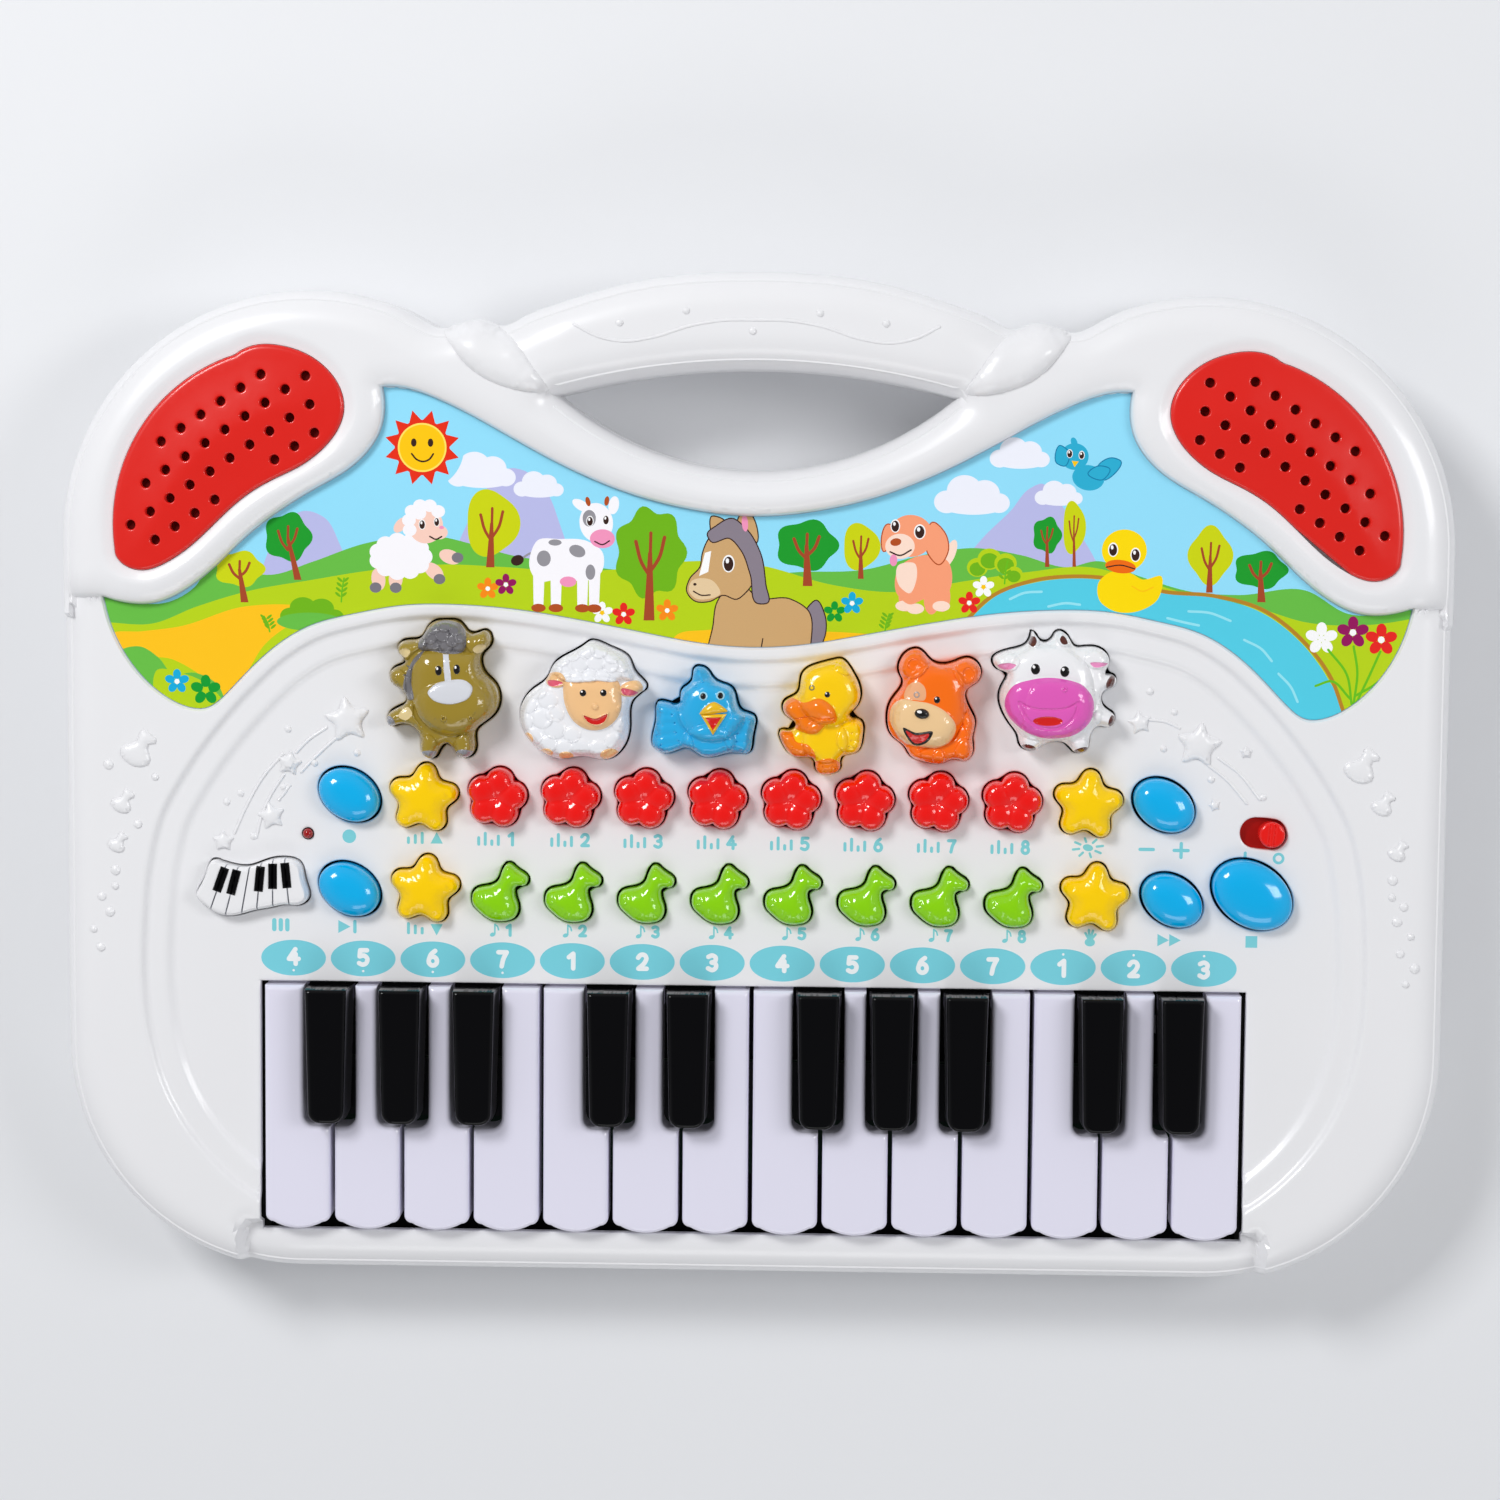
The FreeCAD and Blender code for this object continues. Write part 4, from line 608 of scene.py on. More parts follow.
openings_border = Border([key_opening] + panel_openings)
EDGE_RINGS = (0.12, 0.4, 0.85, 1.5, 2.2, 2.6, 3.4, 4.5, 5.9, 7.4, 9.0, 10.6)
shoulder_points = rings(raised_loop, (0.15, 0.45, 0.9, 1.5, 2.3, 3.3, 4.5, 5.9, 7.4, 8.6))
arch_rings = (-1.2, -0.6, 0.0, 0.6, 1.2, 1.8, 2.4, 5.8, 6.6, 7.3, 8.0, 8.7, 9.4, 10.2)
off_edge = casing_border.distance(shoulder_points) > SHARED_EDGE
outline_points = [
    rings(casing_loop, EDGE_RINGS, casing_border),
    rings(lens_loop[::-1], EDGE_RINGS, casing_border),
    rings(arch_loop, arch_rings, arch_border),
    rings(label_loop, (-0.55, -0.8, -1.05, -1.5), label_border),
    rings(label_loop, (0.4,), label_border),
    shoulder_points[off_edge & inside(shoulder_points, casing_loop)],
    np.vstack([rings(loop, (-0.6, -1.2, -1.9, -2.7, -3.6, -4.4), grille_border)
               for loop in grille_openings]),
    np.vstack([rings(loop, (-0.2, -0.45, -0.75)) for loop in [key_opening] + panel_openings])]
known = np.vstack(outline_points)
grid = away_from(hexagonal(casing_loop.min(0), casing_loop.max(0), 2.7), np.vstack([known, label_loop]), 1.1)

# ------------------------------------------------------------------ printing on the panel
DIGIT_STROKES = {
    "1": [[(-0.24, 0.26), (0.06, 0.5)], [(0.06, 0.5), (0.06, -0.5)]],
    "2": [[(-0.28, 0.28), (-0.1, 0.48), (0.16, 0.46), (0.28, 0.24), (0.18, -0.02), (-0.26, -0.46)],
          [(-0.26, -0.46), (0.3, -0.46)]],
    "3": [[(-0.26, 0.4), (0.0, 0.5), (0.24, 0.34), (0.18, 0.1), (-0.04, 0.02)],
          [(-0.04, 0.02), (0.22, -0.06), (0.26, -0.3), (0.02, -0.5), (-0.28, -0.38)]],
    "4": [[(0.12, 0.5), (-0.32, -0.16)], [(-0.32, -0.16), (0.34, -0.16)], [(0.14, 0.16), (0.14, -0.5)]],
    "5": [[(0.26, 0.48), (-0.2, 0.48)], [(-0.2, 0.48), (-0.24, 0.06)],
          [(-0.24, 0.06), (0.06, 0.12), (0.28, -0.1), (0.2, -0.4), (-0.04, -0.5), (-0.28, -0.4)]],
    "6": [[(0.16, 0.5), (-0.12, 0.26), (-0.27, -0.12)]],
    "7": [[(-0.28, 0.46), (0.28, 0.46)], [(0.28, 0.46), (0.06, 0.02), (-0.06, -0.5)]],
    "8": [],
}
DIGIT_RINGS = {"6": [(0.0, -0.2, 0.28, 0.3)], "8": [(0.0, 0.25, 0.22, 0.24), (0.0, -0.24, 0.27, 0.28)]}


def digit(symbol, x, y, height, weight, ink, ground):
    """Inks for one rounded numeral centred on a place."""
    inks = []
    for stroke in DIGIT_STROKES[symbol]:
        inks.append((ribbon([(x + px * height, y + py * height) for px, py in stroke], weight), ink))
    for px, py, rx, ry in DIGIT_RINGS.get(symbol, []):
        cx, cy, rx, ry = x + px * height, y + py * height, rx * height, ry * height
        inks.append((ellipse(cx, cy, rx + weight / 2, ry + weight / 2), ink))
        inks.append((ellipse(cx, cy, rx - weight / 2, ry - weight / 2, count=20), ground))
    return inks


def turned(points, x, y, degrees):
    """Points about a centre, turned."""
    c, s = math.cos(math.radians(degrees)), math.sin(math.radians(degrees))
    return [(x + c * px - s * py, y + s * px + c * py) for px, py in points]


def triangle(x, y, size, degrees):
    corners = [(-0.5 * size, -0.43 * size), (0.5 * size, -0.43 * size), (0, 0.5 * size)]
    return polygon(turned(corners, x, y, degrees))


def note_icon(x, y, size, ink):
    head = ellipse(x - 0.25 * size, y - 0.36 * size, 0.22 * size, 0.16 * size, 20, 20)
    stem = ribbon([(x - 0.07 * size, y - 0.3 * size), (x - 0.07 * size, y + 0.45 * size)], 0.13 * size)
    flag = ribbon([(x - 0.07 * size, y + 0.45 * size), (x + 0.14 * size, y + 0.28 * size),
                   (x + 0.22 * size, y + 0.02 * size)], 0.13 * size)
    return [(head, ink), (stem, ink), (flag, ink)]


CYAN, WHITE, ICON, LABEL_EDGE_SHADE = 1, 2, 3, 4      # places in the upper shell's list of finishes
OVAL_NUMBERS = "45671234567123"
OVAL_ROW, UPPER_ROW, LOWER_ROW = -52.7, -17.3, -43.9
panel_inks = []
for i, symbol in enumerate(OVAL_NUMBERS):
    x, y = -133.3 + 20.3 * i, OVAL_ROW
    panel_inks.append((ellipse(x, y, 9.45, 5.25, count=64), CYAN))
    panel_inks += digit(symbol, x, y + (0.35 if i < 4 else -0.35 if i > 10 else 0), 4.3, 1.35, WHITE, CYAN)
    if i < 4:
        panel_inks.append((ellipse(x, y - 3.7, 0.36, 0.36, count=14), WHITE))
    if i > 10:
        panel_inks.append((ellipse(x, y + 3.7, 0.36, 0.36, count=14), WHITE))


def stroke(start, end, width=0.9):
    panel_inks.append((ribbon([start, end], width), ICON))


def dot(x, y, rx, ry, tilt=0.0, count=24, ink=ICON):
    panel_inks.append((ellipse(x, y, rx, ry, tilt, count), ink))


def arrow(x, y, size, degrees):
    panel_inks.append((triangle(x, y, size, degrees), ICON))


for i in range(8):
    x, y = -74.0 + 21.2 * i, UPPER_ROW - 0.1 * i
    for k, lift in enumerate((0.0, 1.3, -0.9, 0.5)):
        stroke((x - 5.4 + 1.9 * k, y - 1.6), (x - 5.4 + 1.9 * k, y + 0.3 + lift))
    panel_inks += digit(str(i + 1), x + 4.2, y, 3.4, 0.95, ICON, 0)
    panel_inks += note_icon(x - 0.4, LOWER_ROW, 3.7, ICON)
    panel_inks += digit(str(i + 1), x + 3.6, LOWER_ROW, 3.0, 0.95, ICON, 0)

# record, replay, tempo up and down, volume, demo, stop
dot(-117.0, -17.0, 2.0, 2.0, count=30)
arrow(-118.6, -43.4, 3.8, -90)
stroke((-115.4, -41.9), (-115.4, -44.9), 1.0)
for y, degrees, foot, first, climb in ((UPPER_ROW, 0, -18.6, -17.3, 0.7),
                                       (LOWER_ROW, 180, -45.0, -42.3, -0.7)):
    arrow(-91.6, y, 3.6, degrees)
    for k in range(3):
        stroke((-99.8 + 2.0 * k, foot), (-99.8 + 2.0 * k, first + climb * k))
stroke((111.6, -18.2), (115.4, -18.2), 1.0)
stroke((121.4, -18.4), (125.4, -18.4), 1.0)
stroke((123.4, -16.4), (123.4, -20.4), 1.0)
arrow(118.6, -44.5, 3.6, -90)
arrow(122.0, -44.5, 3.6, -90)
panel_inks.append((polygon([(142.4, -46.4), (145.8, -46.4), (145.8, -43.0), (142.4, -43.0)]), ICON))

# drum with rays, hand, power on and off, keys
for direction in range(0, 360, 45):
    a = math.radians(direction + 12)
    stroke((96.6 + 2.6 * math.cos(a), -17.9 + 1.7 * math.sin(a)),
           (96.6 + 4.4 * math.cos(a), -17.9 + 2.8 * math.sin(a)), 0.7)
dot(96.6, -17.9, 1.5, 1.0, -12)
for direction, reach in ((120, 2.6), (96, 3.2), (74, 3.1), (50, 2.5)):
    a = math.radians(direction)
    stroke((97.6, -45.0), (97.6 + reach * math.cos(a), -45.0 + reach * math.sin(a)), 0.75)
dot(97.6, -45.4, 1.5, 1.2)
stroke((141.8, -20.4), (141.8, -18.9))
dot(151.4, -20.4, 1.7, 1.7, count=28)
dot(151.4, -20.4, 0.9, 0.9, count=20, ink=0)
for shift in (-1.9, 0.0, 1.9):
    stroke((-137.0 + shift, -44.4), (-137.0 + shift, -41.8), 1.3)

upper_shell = solid("upper_shell", [casing_white, print_cyan, print_white, print_icon, label_edge_shade],
                    sheet(casing_loop, shell_top, shell_bottom,
                          [lens_loop, key_opening] + grille_openings + panel_openings,
                          # the grey ring just outside the label is painted shade along its edge
                          [(ring(label_loop, -0.3, label_border), LABEL_EDGE_SHADE), (label_loop, 0)] + panel_inks,
                          outline_points, [grid]), sharp=30.0)
place(upper_shell, "housing", "upper_housing")


# ------------------------------------------------------------------ keys
WHITE_BOTTOM = 26.6
WHITE_TOP = 38.6
BLACK_BOTTOM = 30.0
FLANK_BOTTOM = 37.0
FLANK_TOP = 45.5
CROWN = 1.1         # rise of the black keys' rounded top over the flanks
TAIL_BOTTOM = 25.1
TAIL_TOP = 30.9
PANEL_FRONT = -56.0


def rounded_slab(loop, bottom, top, radius, spacing=1.6):
    """Straight-sided slab with a rounded upper edge."""
    border = Border([loop])

    def surface(points):
        return top - radius * (1 - quarter(border.distance(points) / radius))

    insets = [radius * share for share in (0.06, 0.18, 0.36, 0.6, 0.85, 1.05)]
    inner = rings(loop, insets, border)
    fill = away_from(hexagonal(loop.min(0), loop.max(0), spacing), np.vstack([inner, loop]), 0.6 * spacing)
    return sheet(loop, surface, bottom, follow=[inner], fill=[fill])


def key_tail(node):
    """The part of a key that runs under the panel to the hinge rod."""
    loops = [loop for loop in cad_loops(node, 26.4) if loop[:, 1].max() > PANEL_FRONT]
    return [sheet(smooth_loop(loop, 2.0), flat_top(TAIL_TOP), TAIL_BOTTOM) for loop in loops]


for i in range(1, 15):
    node = f"white_key_{i:02d}"
    loop = smooth_loop(cad_loops(node, 38.2)[0], 0.9, corner=50.0)
    front = rounded_slab(loop, WHITE_BOTTOM, WHITE_TOP, 1.5)
    place(solid("ivory_" + node, [key_white], front, *key_tail(node), sharp=50.0), node, node)

for i in range(1, 11):
    node = f"black_key_{i:02d}"
    base = smooth_loop(cad_loops(node, 34.0)[0], 0.8, corner=50.0)
    crown = smooth_loop(cad_loops(node, 46.4)[0], 0.8, corner=50.0)
    base_border, crown_border = Border([base]), Border([crown])

    def black_top(points, base_border=base_border, crown_border=crown_border):
        outer = base_border.distance(points)
        inner = -crown_border.signed(points)
        share = np.clip(outer / np.maximum(outer + np.maximum(inner, 0), 1e-6), 0, 1)
        flank = FLANK_BOTTOM + (FLANK_TOP - FLANK_BOTTOM) * share
        return np.where(inner > 0, flank, FLANK_TOP + CROWN * quarter(-inner / 1.3))

    extra = [rings(base, (0.2,), base_border), ring(crown, -0.35, crown_border),
             rings(crown, (0.02, 0.12, 0.35, 0.7, 1.0, 1.35), crown_border)]
    fill = away_from(hexagonal(base.min(0), base.max(0), 1.5), np.vstack(extra), 0.8)
    body = sheet(base, black_top, BLACK_BOTTOM, follow=extra + [crown], fill=[fill])
    place(solid("ebony_" + node, [key_black], body, *key_tail(node), sharp=40.0), node, node)

# ------------------------------------------------------------------ simple buttons
FLANGE_TOP = 33.2
FLANGE_BOTTOM = 31.4
CAP_TOP = 42.6
OVAL_SHOULDER = 38.6
STAR_SHOULDER = 38.4
FLOWER_SHOULDER = 38.2
NOTE_TOP = 42.0
NOTE_SHOULDER = 37.8


def pillow(loop, top, side_top, width, spacing=0.7, relax=12):
    """Domed cap: straight side up to side_top, then a soft rise over the given width."""
    border = Border([loop])

    def surface(points):
        edge = border.distance(points)
        return side_top + (top - side_top) * quarter(edge / width)

    inner = rings(loop, [width * share for share in (0.03, 0.08, 0.16, 0.28, 0.44, 0.64, 0.86)], border)
    fill = away_from(hexagonal(loop.min(0), loop.max(0), spacing), np.vstack([inner, loop]), 0.55 * spacing)
    return sheet(loop, surface, FLANGE_BOTTOM, follow=[inner], fill=[fill], relax=relax,
                 steady=lambda points: border.distance(points) < 0.3 * width)


def flange(node, finish=1, height=32.0):
    """Retaining flange under the panel, in the shade of the gap round the cap."""
    loops = [smooth_loop(loop, 1.2) for loop in cad_loops(node, height)]
    return [refinished(sheet(loop, flat_top(FLANGE_TOP), FLANGE_BOTTOM), finish) for loop in loops]


def cap_loops(node, count=1, height=38.0, spacing=0.6, gap=0.0):
    """Outlines of a node's caps, drawn in by a gap."""
    loops = [smooth_loop(loop, spacing) for loop in cad_loops(node, height)[:count]]
    return [ring(loop, gap) for loop in loops] if gap else loops


for node, width in (("record_button", 6.6), ("replay_button", 6.6), ("volume_button", 6.6),
                    ("demo_button", 6.6), ("stop_button", 8.6)):
    cap = pillow(cap_loops(node, gap=0.25)[0], CAP_TOP, OVAL_SHOULDER, width, relax=0)
    place(solid("dome_" + node, [button_blue, shadow_black], cap, *flange(node)), node, node)

for node in ("tempo_up_button", "tempo_down_button", "drum_button", "clap_button"):
    cap = pillow(cap_loops(node, gap=0.1)[0], CAP_TOP, STAR_SHOULDER, 4.6)
    place(solid("star_" + node, [button_yellow, shadow_black], cap, *flange(node)), node, node)


def petal_surface(loop, top, side_top, tilt=80.0):
    """Cap with five domed petals that meet in valleys."""
    border = Border([loop])
    centre = loop.mean(0)
    reach = 0.52 * np.hypot(*(loop - centre).T).max()

    def surface(points):
        dome = np.zeros(len(points))
        for k in range(5):
            angle = math.radians(tilt + 72 * k)
            petal = centre + reach * np.array([math.cos(angle), math.sin(angle)])
            off = np.hypot(*(points - petal).T) / (1.08 * reach)
            dome = np.maximum(dome, np.sqrt(np.maximum(1 - off ** 2, 0)))
        rim = quarter(border.distance(points) / 1.3)
        return side_top + (top - side_top) * rim * (0.25 + 0.75 * dome)

    inner = rings(loop, (0.1, 0.3, 0.6, 1.0, 1.6), border)
    fill = away_from(hexagonal(loop.min(0), loop.max(0), 0.45), np.vstack([inner, loop]), 0.25)
    return sheet(loop, surface, FLANGE_BOTTOM, follow=[inner], fill=[fill], relax=2)


rhythm = [petal_surface(loop, CAP_TOP, FLOWER_SHOULDER) for loop in cap_loops("rhythm_button_bank", 8)]
place(solid("rhythm_flowers", [button_red, shadow_black], *rhythm, *flange("rhythm_button_bank"), sharp=60.0),
      "rhythm_button_bank", "rhythm_button_bank")
songs = [pillow(loop, NOTE_TOP, NOTE_SHOULDER, 3.9, 0.6)
         for loop in cap_loops("song_button_bank", 8, gap=0.2)]
place(solid("song_notes", [button_green, shadow_black], *songs, *flange("song_button_bank"), sharp=60.0),
      "song_button_bank", "song_button_bank")

# ------------------------------------------------------------------ speaker grilles
GRILLE_RIM = 42.2
GRILLE_BOTTOM = 39.4
HOLE_FLOOR = 41.2       # painted shade: level of the dark red discs seen in the holes
HOLE_RADIUS = 1.4
for side in ("left", "right"):
    node = "speaker_grille_" + side
    loops = cad_loops(node, 43.0)
    outline = smooth_loop(loops[0], 1.2)
    holes = [ellipse(*loop.mean(0), HOLE_RADIUS, HOLE_RADIUS, count=24) for loop in loops[1:]]
    border = Border([outline])
    hole_border = Border(holes)

    def grille_top(points, border=border, hole_border=hole_border):
        edge = border.distance(points)
        rim = 0.35 * (1 - quarter(hole_border.distance(points) / 0.5))
        return GRILLE_RIM + 1.0 * quarter(edge / 1.4) + 1.5 * smoothstep(edge / 22) - rim

    extra = [rings(outline, (0.1, 0.3, 0.6, 1.0, 1.5), border),
             np.vstack([rings(hole, (-0.15, -0.35, -0.6)) for hole in holes])]
    fill = away_from(hexagonal(outline.min(0), outline.max(0), 1.8), np.vstack(extra), 0.9)
    plate = sheet(outline, grille_top, GRILLE_BOTTOM, holes, follow=extra, fill=[fill])
    discs = [ellipse(*hole.mean(0), 1.7, 1.7, count=20) for hole in holes]
    # dark red discs inside the holes are painted shade
    hole_shade_discs = [refinished(sheet(disc, flat_top(HOLE_FLOOR), HOLE_FLOOR - 1.0), 1) for disc in discs]
    place(solid("perforated_" + node, [grille_red, grille_hole_shade], plate, *hole_shade_discs), "housing", node)

# ------------------------------------------------------------------ animal buttons
ANIMAL_SIDE = 41.0
ANIMAL_BASE = 44.6


def oval(x, y, rx, ry, tilt=0.0):
    return ellipse(x, y, rx, ry, tilt, count=max(14, int(2 * math.pi * max(rx, ry) / 0.45)))


def figure(name, node, base, features, base_width=2.6, spacing=0.55):
    """Painted relief over the button's outline. Each feature is (loop, rise, width, finish or None):
    the surface rises by that much within the width of the feature's edge, and takes its finish."""
    loop = cap_loops(node, 1, 42.0, 0.5, gap=0.1)[0]
    border = Border([loop])
    borders = [Border([feature[0]], spacing=0.6) for feature in features]

    def surface(points):
        height = ANIMAL_SIDE + (ANIMAL_BASE - ANIMAL_SIDE) * quarter(border.distance(points) / base_width)
        edge = smoothstep(border.distance(points) / 0.9)
        for (shape, rise, width, _), own in zip(features, borders):
            if rise:
                low, high = shape.min(0) - 0.1, shape.max(0) + 0.1
                near = np.all((points > low) & (points < high), axis=1)
                if near.any():
                    depth = np.maximum(own.signed(points[near]), 0.0)
                    height[near] += rise * quarter(depth / width) * edge[near]
        return height

    extra = [rings(loop, (0.08, 0.25, 0.5, 0.9, 1.5, 2.2), border)]
    for (shape, rise, width, _), own in zip(features, borders):
        if rise:
            extra.append(shape)
            extra.append(rings(shape, [width * share for share in (0.08, 0.3, 0.65)] + [-0.15], own))
    points = np.vstack(extra)
    fill = away_from(hexagonal(loop.min(0), loop.max(0), spacing), np.vstack([points, loop]), 0.3)
    painted = [(feature[0], feature[3]) for feature in features if feature[3]]
    finishes = list(dict.fromkeys([base] + [finish for _, finish in painted] + [shadow_black]))
    inks = [(shape, finishes.index(finish)) for shape, finish in painted]
    cap = sheet(loop, surface, FLANGE_BOTTOM, inks=inks, follow=extra, fill=[fill], relax=2)
    return place(solid(name, finishes, cap, *flange(node, len(finishes) - 1), sharp=70.0), node, node)


def paint(name, colour, rough=0.14, coat=0.45):
    return plastic(name, colour, rough=rough, coat=coat, bump=0.004, grain=1500.0, tint=0.03, shine=0.4)


def form(points, rise, width, finish=None):
    return blob(points), rise, width, finish


eye_black = paint("eye_black", (16, 14, 14))
glint_white = paint("glint_white", (246, 246, 246))


def eye(x, y, rx, ry, glint=True):
    parts = [(oval(x, y, rx, ry), 0.25, 0.5, eye_black)]
    if glint:
        parts.append((oval(x - 0.35 * rx, y + 0.4 * ry, 0.3 * rx, 0.28 * ry), 0, 1, glint_white))
    return parts


mouth_red = paint("mouth_red", (214, 28, 24))
horse_olive = paint("horse_olive", (156, 132, 44))
horse_grey = paint("horse_grey", (116, 114, 118))
horse_cream = paint("horse_cream", (226, 204, 148))
horse_pale = paint("horse_pale", (214, 216, 222))
horse_hoof = paint("horse_hoof", (142, 142, 148))

curls = [(-95, 39.8, 1.7), (-94, 42.6, 1.8), (-91.3, 44.2, 1.9), (-88.2, 44.9, 2), (-85.2, 43.7, 1.9),
         (-83.7, 41.4, 1.8), (-92.2, 41.4, 2), (-88.8, 42.2, 2.1), (-86, 40.6, 1.9), (-91.4, 38.9, 1.8),
         (-87.6, 39, 1.9), (-84.3, 38.9, 1.6)]
horse_head = blob([(-95, 36.8), (-97.3, 33.4), (-97.9, 28.7), (-97.5, 22.8), (-95.6, 18.5), (-92.1, 14.8),
                   (-87, 13.3), (-81.1, 14.4), (-76.3, 17.6), (-74.4, 21.6), (-74.7, 25.3), (-76.2, 28.9),
                   (-77.8, 32.6), (-78.4, 36.2), (-82.6, 37.3), (-88.4, 37.6)])
figure("horse_figure", "horse_button", horse_olive, [
    form([(-105.4, 18.4), (-100, 23.2), (-97.5, 22.7), (-97.1, 19.2), (-94.9, 14.1), (-96.3, 13.2),
          (-100, 16.1), (-102.7, 15.7), (-105.1, 16)], 0.5, 1.2),
    form([(-101.6, 18.6), (-98.8, 21.4), (-97.6, 19.6), (-99.4, 17.6)], -0.3, 0.5, horse_cream),
    (oval(-104.2, 17, 1.5, 1.7, 20), 0.4, 0.8, horse_hoof),
    (oval(-93.1, 9, 2.9, 4.6), 1, 1.8, None),
    (oval(-82.8, 9.2, 3.1, 4.8), 1, 1.8, None),
    (oval(-93.1, 7.2, 2.9, 1.8, 5), 0.3, 0.8, horse_hoof),
    (oval(-82.5, 7.6, 2.9, 1.8, -8), 0.3, 0.8, horse_hoof),
    form([(-104.3, 31.4), (-102, 32.4), (-99.8, 31.2), (-99.3, 28.7), (-99.8, 25.2), (-102, 26.3),
          (-103.8, 28.6)], 0.9, 1.2),
    (ribbon([(-104, 30.4), (-102.2, 30)], 0.4), -0.4, 0.2, None),
    (ribbon([(-103.8, 28.7), (-102, 28.6)], 0.4), -0.4, 0.2, None),
    form([(-102.3, 38.5), (-100.1, 40), (-96.5, 40), (-95.4, 38.2), (-97.2, 36.9), (-99.4, 34.7),
          (-101.6, 35.6)], 0.9, 1.2),
    form([(-101.4, 37.4), (-99.8, 38.2), (-98.1, 37.6), (-99.4, 35.6), (-101.1, 36)], -0.5, 0.6,
         horse_cream),
    form([(-82.2, 41.1), (-79.3, 43.2), (-76.6, 42.6), (-75.9, 39.9), (-77.1, 37.4), (-79.7, 36.6),
          (-81.9, 38.2)], 1, 1.3),
    form([(-80.2, 37.9), (-78.6, 39.5), (-76.7, 39.2), (-77.3, 37.7), (-79.3, 37)], -0.5, 0.6, horse_cream),
    form([(-94.3, 37.5), (-96.6, 36), (-98.4, 33.1), (-100, 28.7), (-100.1, 25.7), (-99, 23.4),
          (-97.5, 23.4), (-97.8, 28.7), (-97.2, 33.1), (-95, 36)], 0.7, 0.8, horse_grey),
    (ribbon([(-99.9, 30.6), (-98.3, 29.9)], 0.35), -0.4, 0.2, horse_grey),
    (ribbon([(-99.2, 33.2), (-97.7, 32.2)], 0.35), -0.4, 0.2, horse_grey),
    (horse_head, 3.4, 6, None),
    (oval(-86, 21.5, 10.8, 7.6), 1.3, 5.5, None),
    form([(-95.6, 38.1), (-95.6, 41.1), (-93.5, 43.5), (-91.4, 45), (-89.2, 46.2), (-86.2, 45.9),
          (-83.7, 44.8), (-82.4, 42.4), (-82.1, 39.8), (-83, 37.5), (-87, 36.8), (-91.4, 37.5)], 1.4, 2,
         horse_grey),
] + [(oval(x, y, r, r), 0.8, 1.3, None) for x, y, r in curls] + [
    (polygon([(-88.6, 36.7), (-87, 36.7), (-86, 29), (-87.9, 29)]), 0, 1, horse_pale),
    form([(-92.7, 25.8), (-91, 28), (-87, 29.3), (-81.8, 29.2), (-80, 27.4), (-80.7, 24.8), (-84, 23),
          (-88.4, 22.8), (-91.4, 24)], 0.45, 0.6, horse_pale),
    (oval(-88.1, 18.5, 0.95, 1), 0.45, 0.4, None),
    (oval(-80.4, 18.6, 0.95, 1), 0.45, 0.4, None),
    (oval(-88.1, 18.5, 0.45, 0.5), -0.6, 0.3, None),
    (oval(-80.4, 18.6, 0.45, 0.5), -0.6, 0.3, None),
] + eye(-89.7, 32.1, 0.95, 1.4) + eye(-84.5, 32.5, 0.95, 1.4))

sheep_white = paint("sheep_white", (238, 239, 243), rough=0.24, coat=0.45)
sheep_peach = paint("sheep_peach", (244, 196, 140))
sheep_pink = paint("sheep_pink", (226, 92, 116))
wool = []
for x, y, r in ((-64.6, 22.6, 3), (-65.6, 17.6, 2.8), (-62.8, 13.4, 2.8), (-58.6, 11.2, 2.8), (-54, 10, 2.8),
                (-49.2, 10.4, 2.8), (-44.2, 10, 2.8), (-39.6, 12.2, 2.7), (-38, 17.2, 2.4), (-37, 21.6, 2),
                (-61.6, 26.6, 2.8), (-58.6, 24, 3), (-60.2, 18.6, 3.2), (-56.6, 15.6, 3.2), (-51.6, 14, 2.6),
                (-56.6, 20, 2.8)):
    wool.append((oval(x, y, r, r * 0.92), 0.55, 1.9, None))
fringe = []
for x, y, r in ((-56.6, 33, 2.2), (-54.6, 35.6, 2.4), (-51.6, 37.4, 2.5), (-47.8, 38.2, 2.6),
                (-44, 38.2, 2.5), (-40.4, 36.8, 2.5), (-37.6, 34.2, 2.4), (-36.2, 31.6, 2),
                (-39.4, 31.4, 2), (-42.8, 31, 2.1), (-46.6, 31, 2.1), (-50.4, 30.9, 2.1), (-53.8, 31.4, 2),
                (-49.6, 34.2, 2.5), (-44.8, 34.6, 2.6), (-40.6, 34, 2.3)):
    fringe.append((oval(x, y, r, r * 0.95), 0.6, 1.6, None))
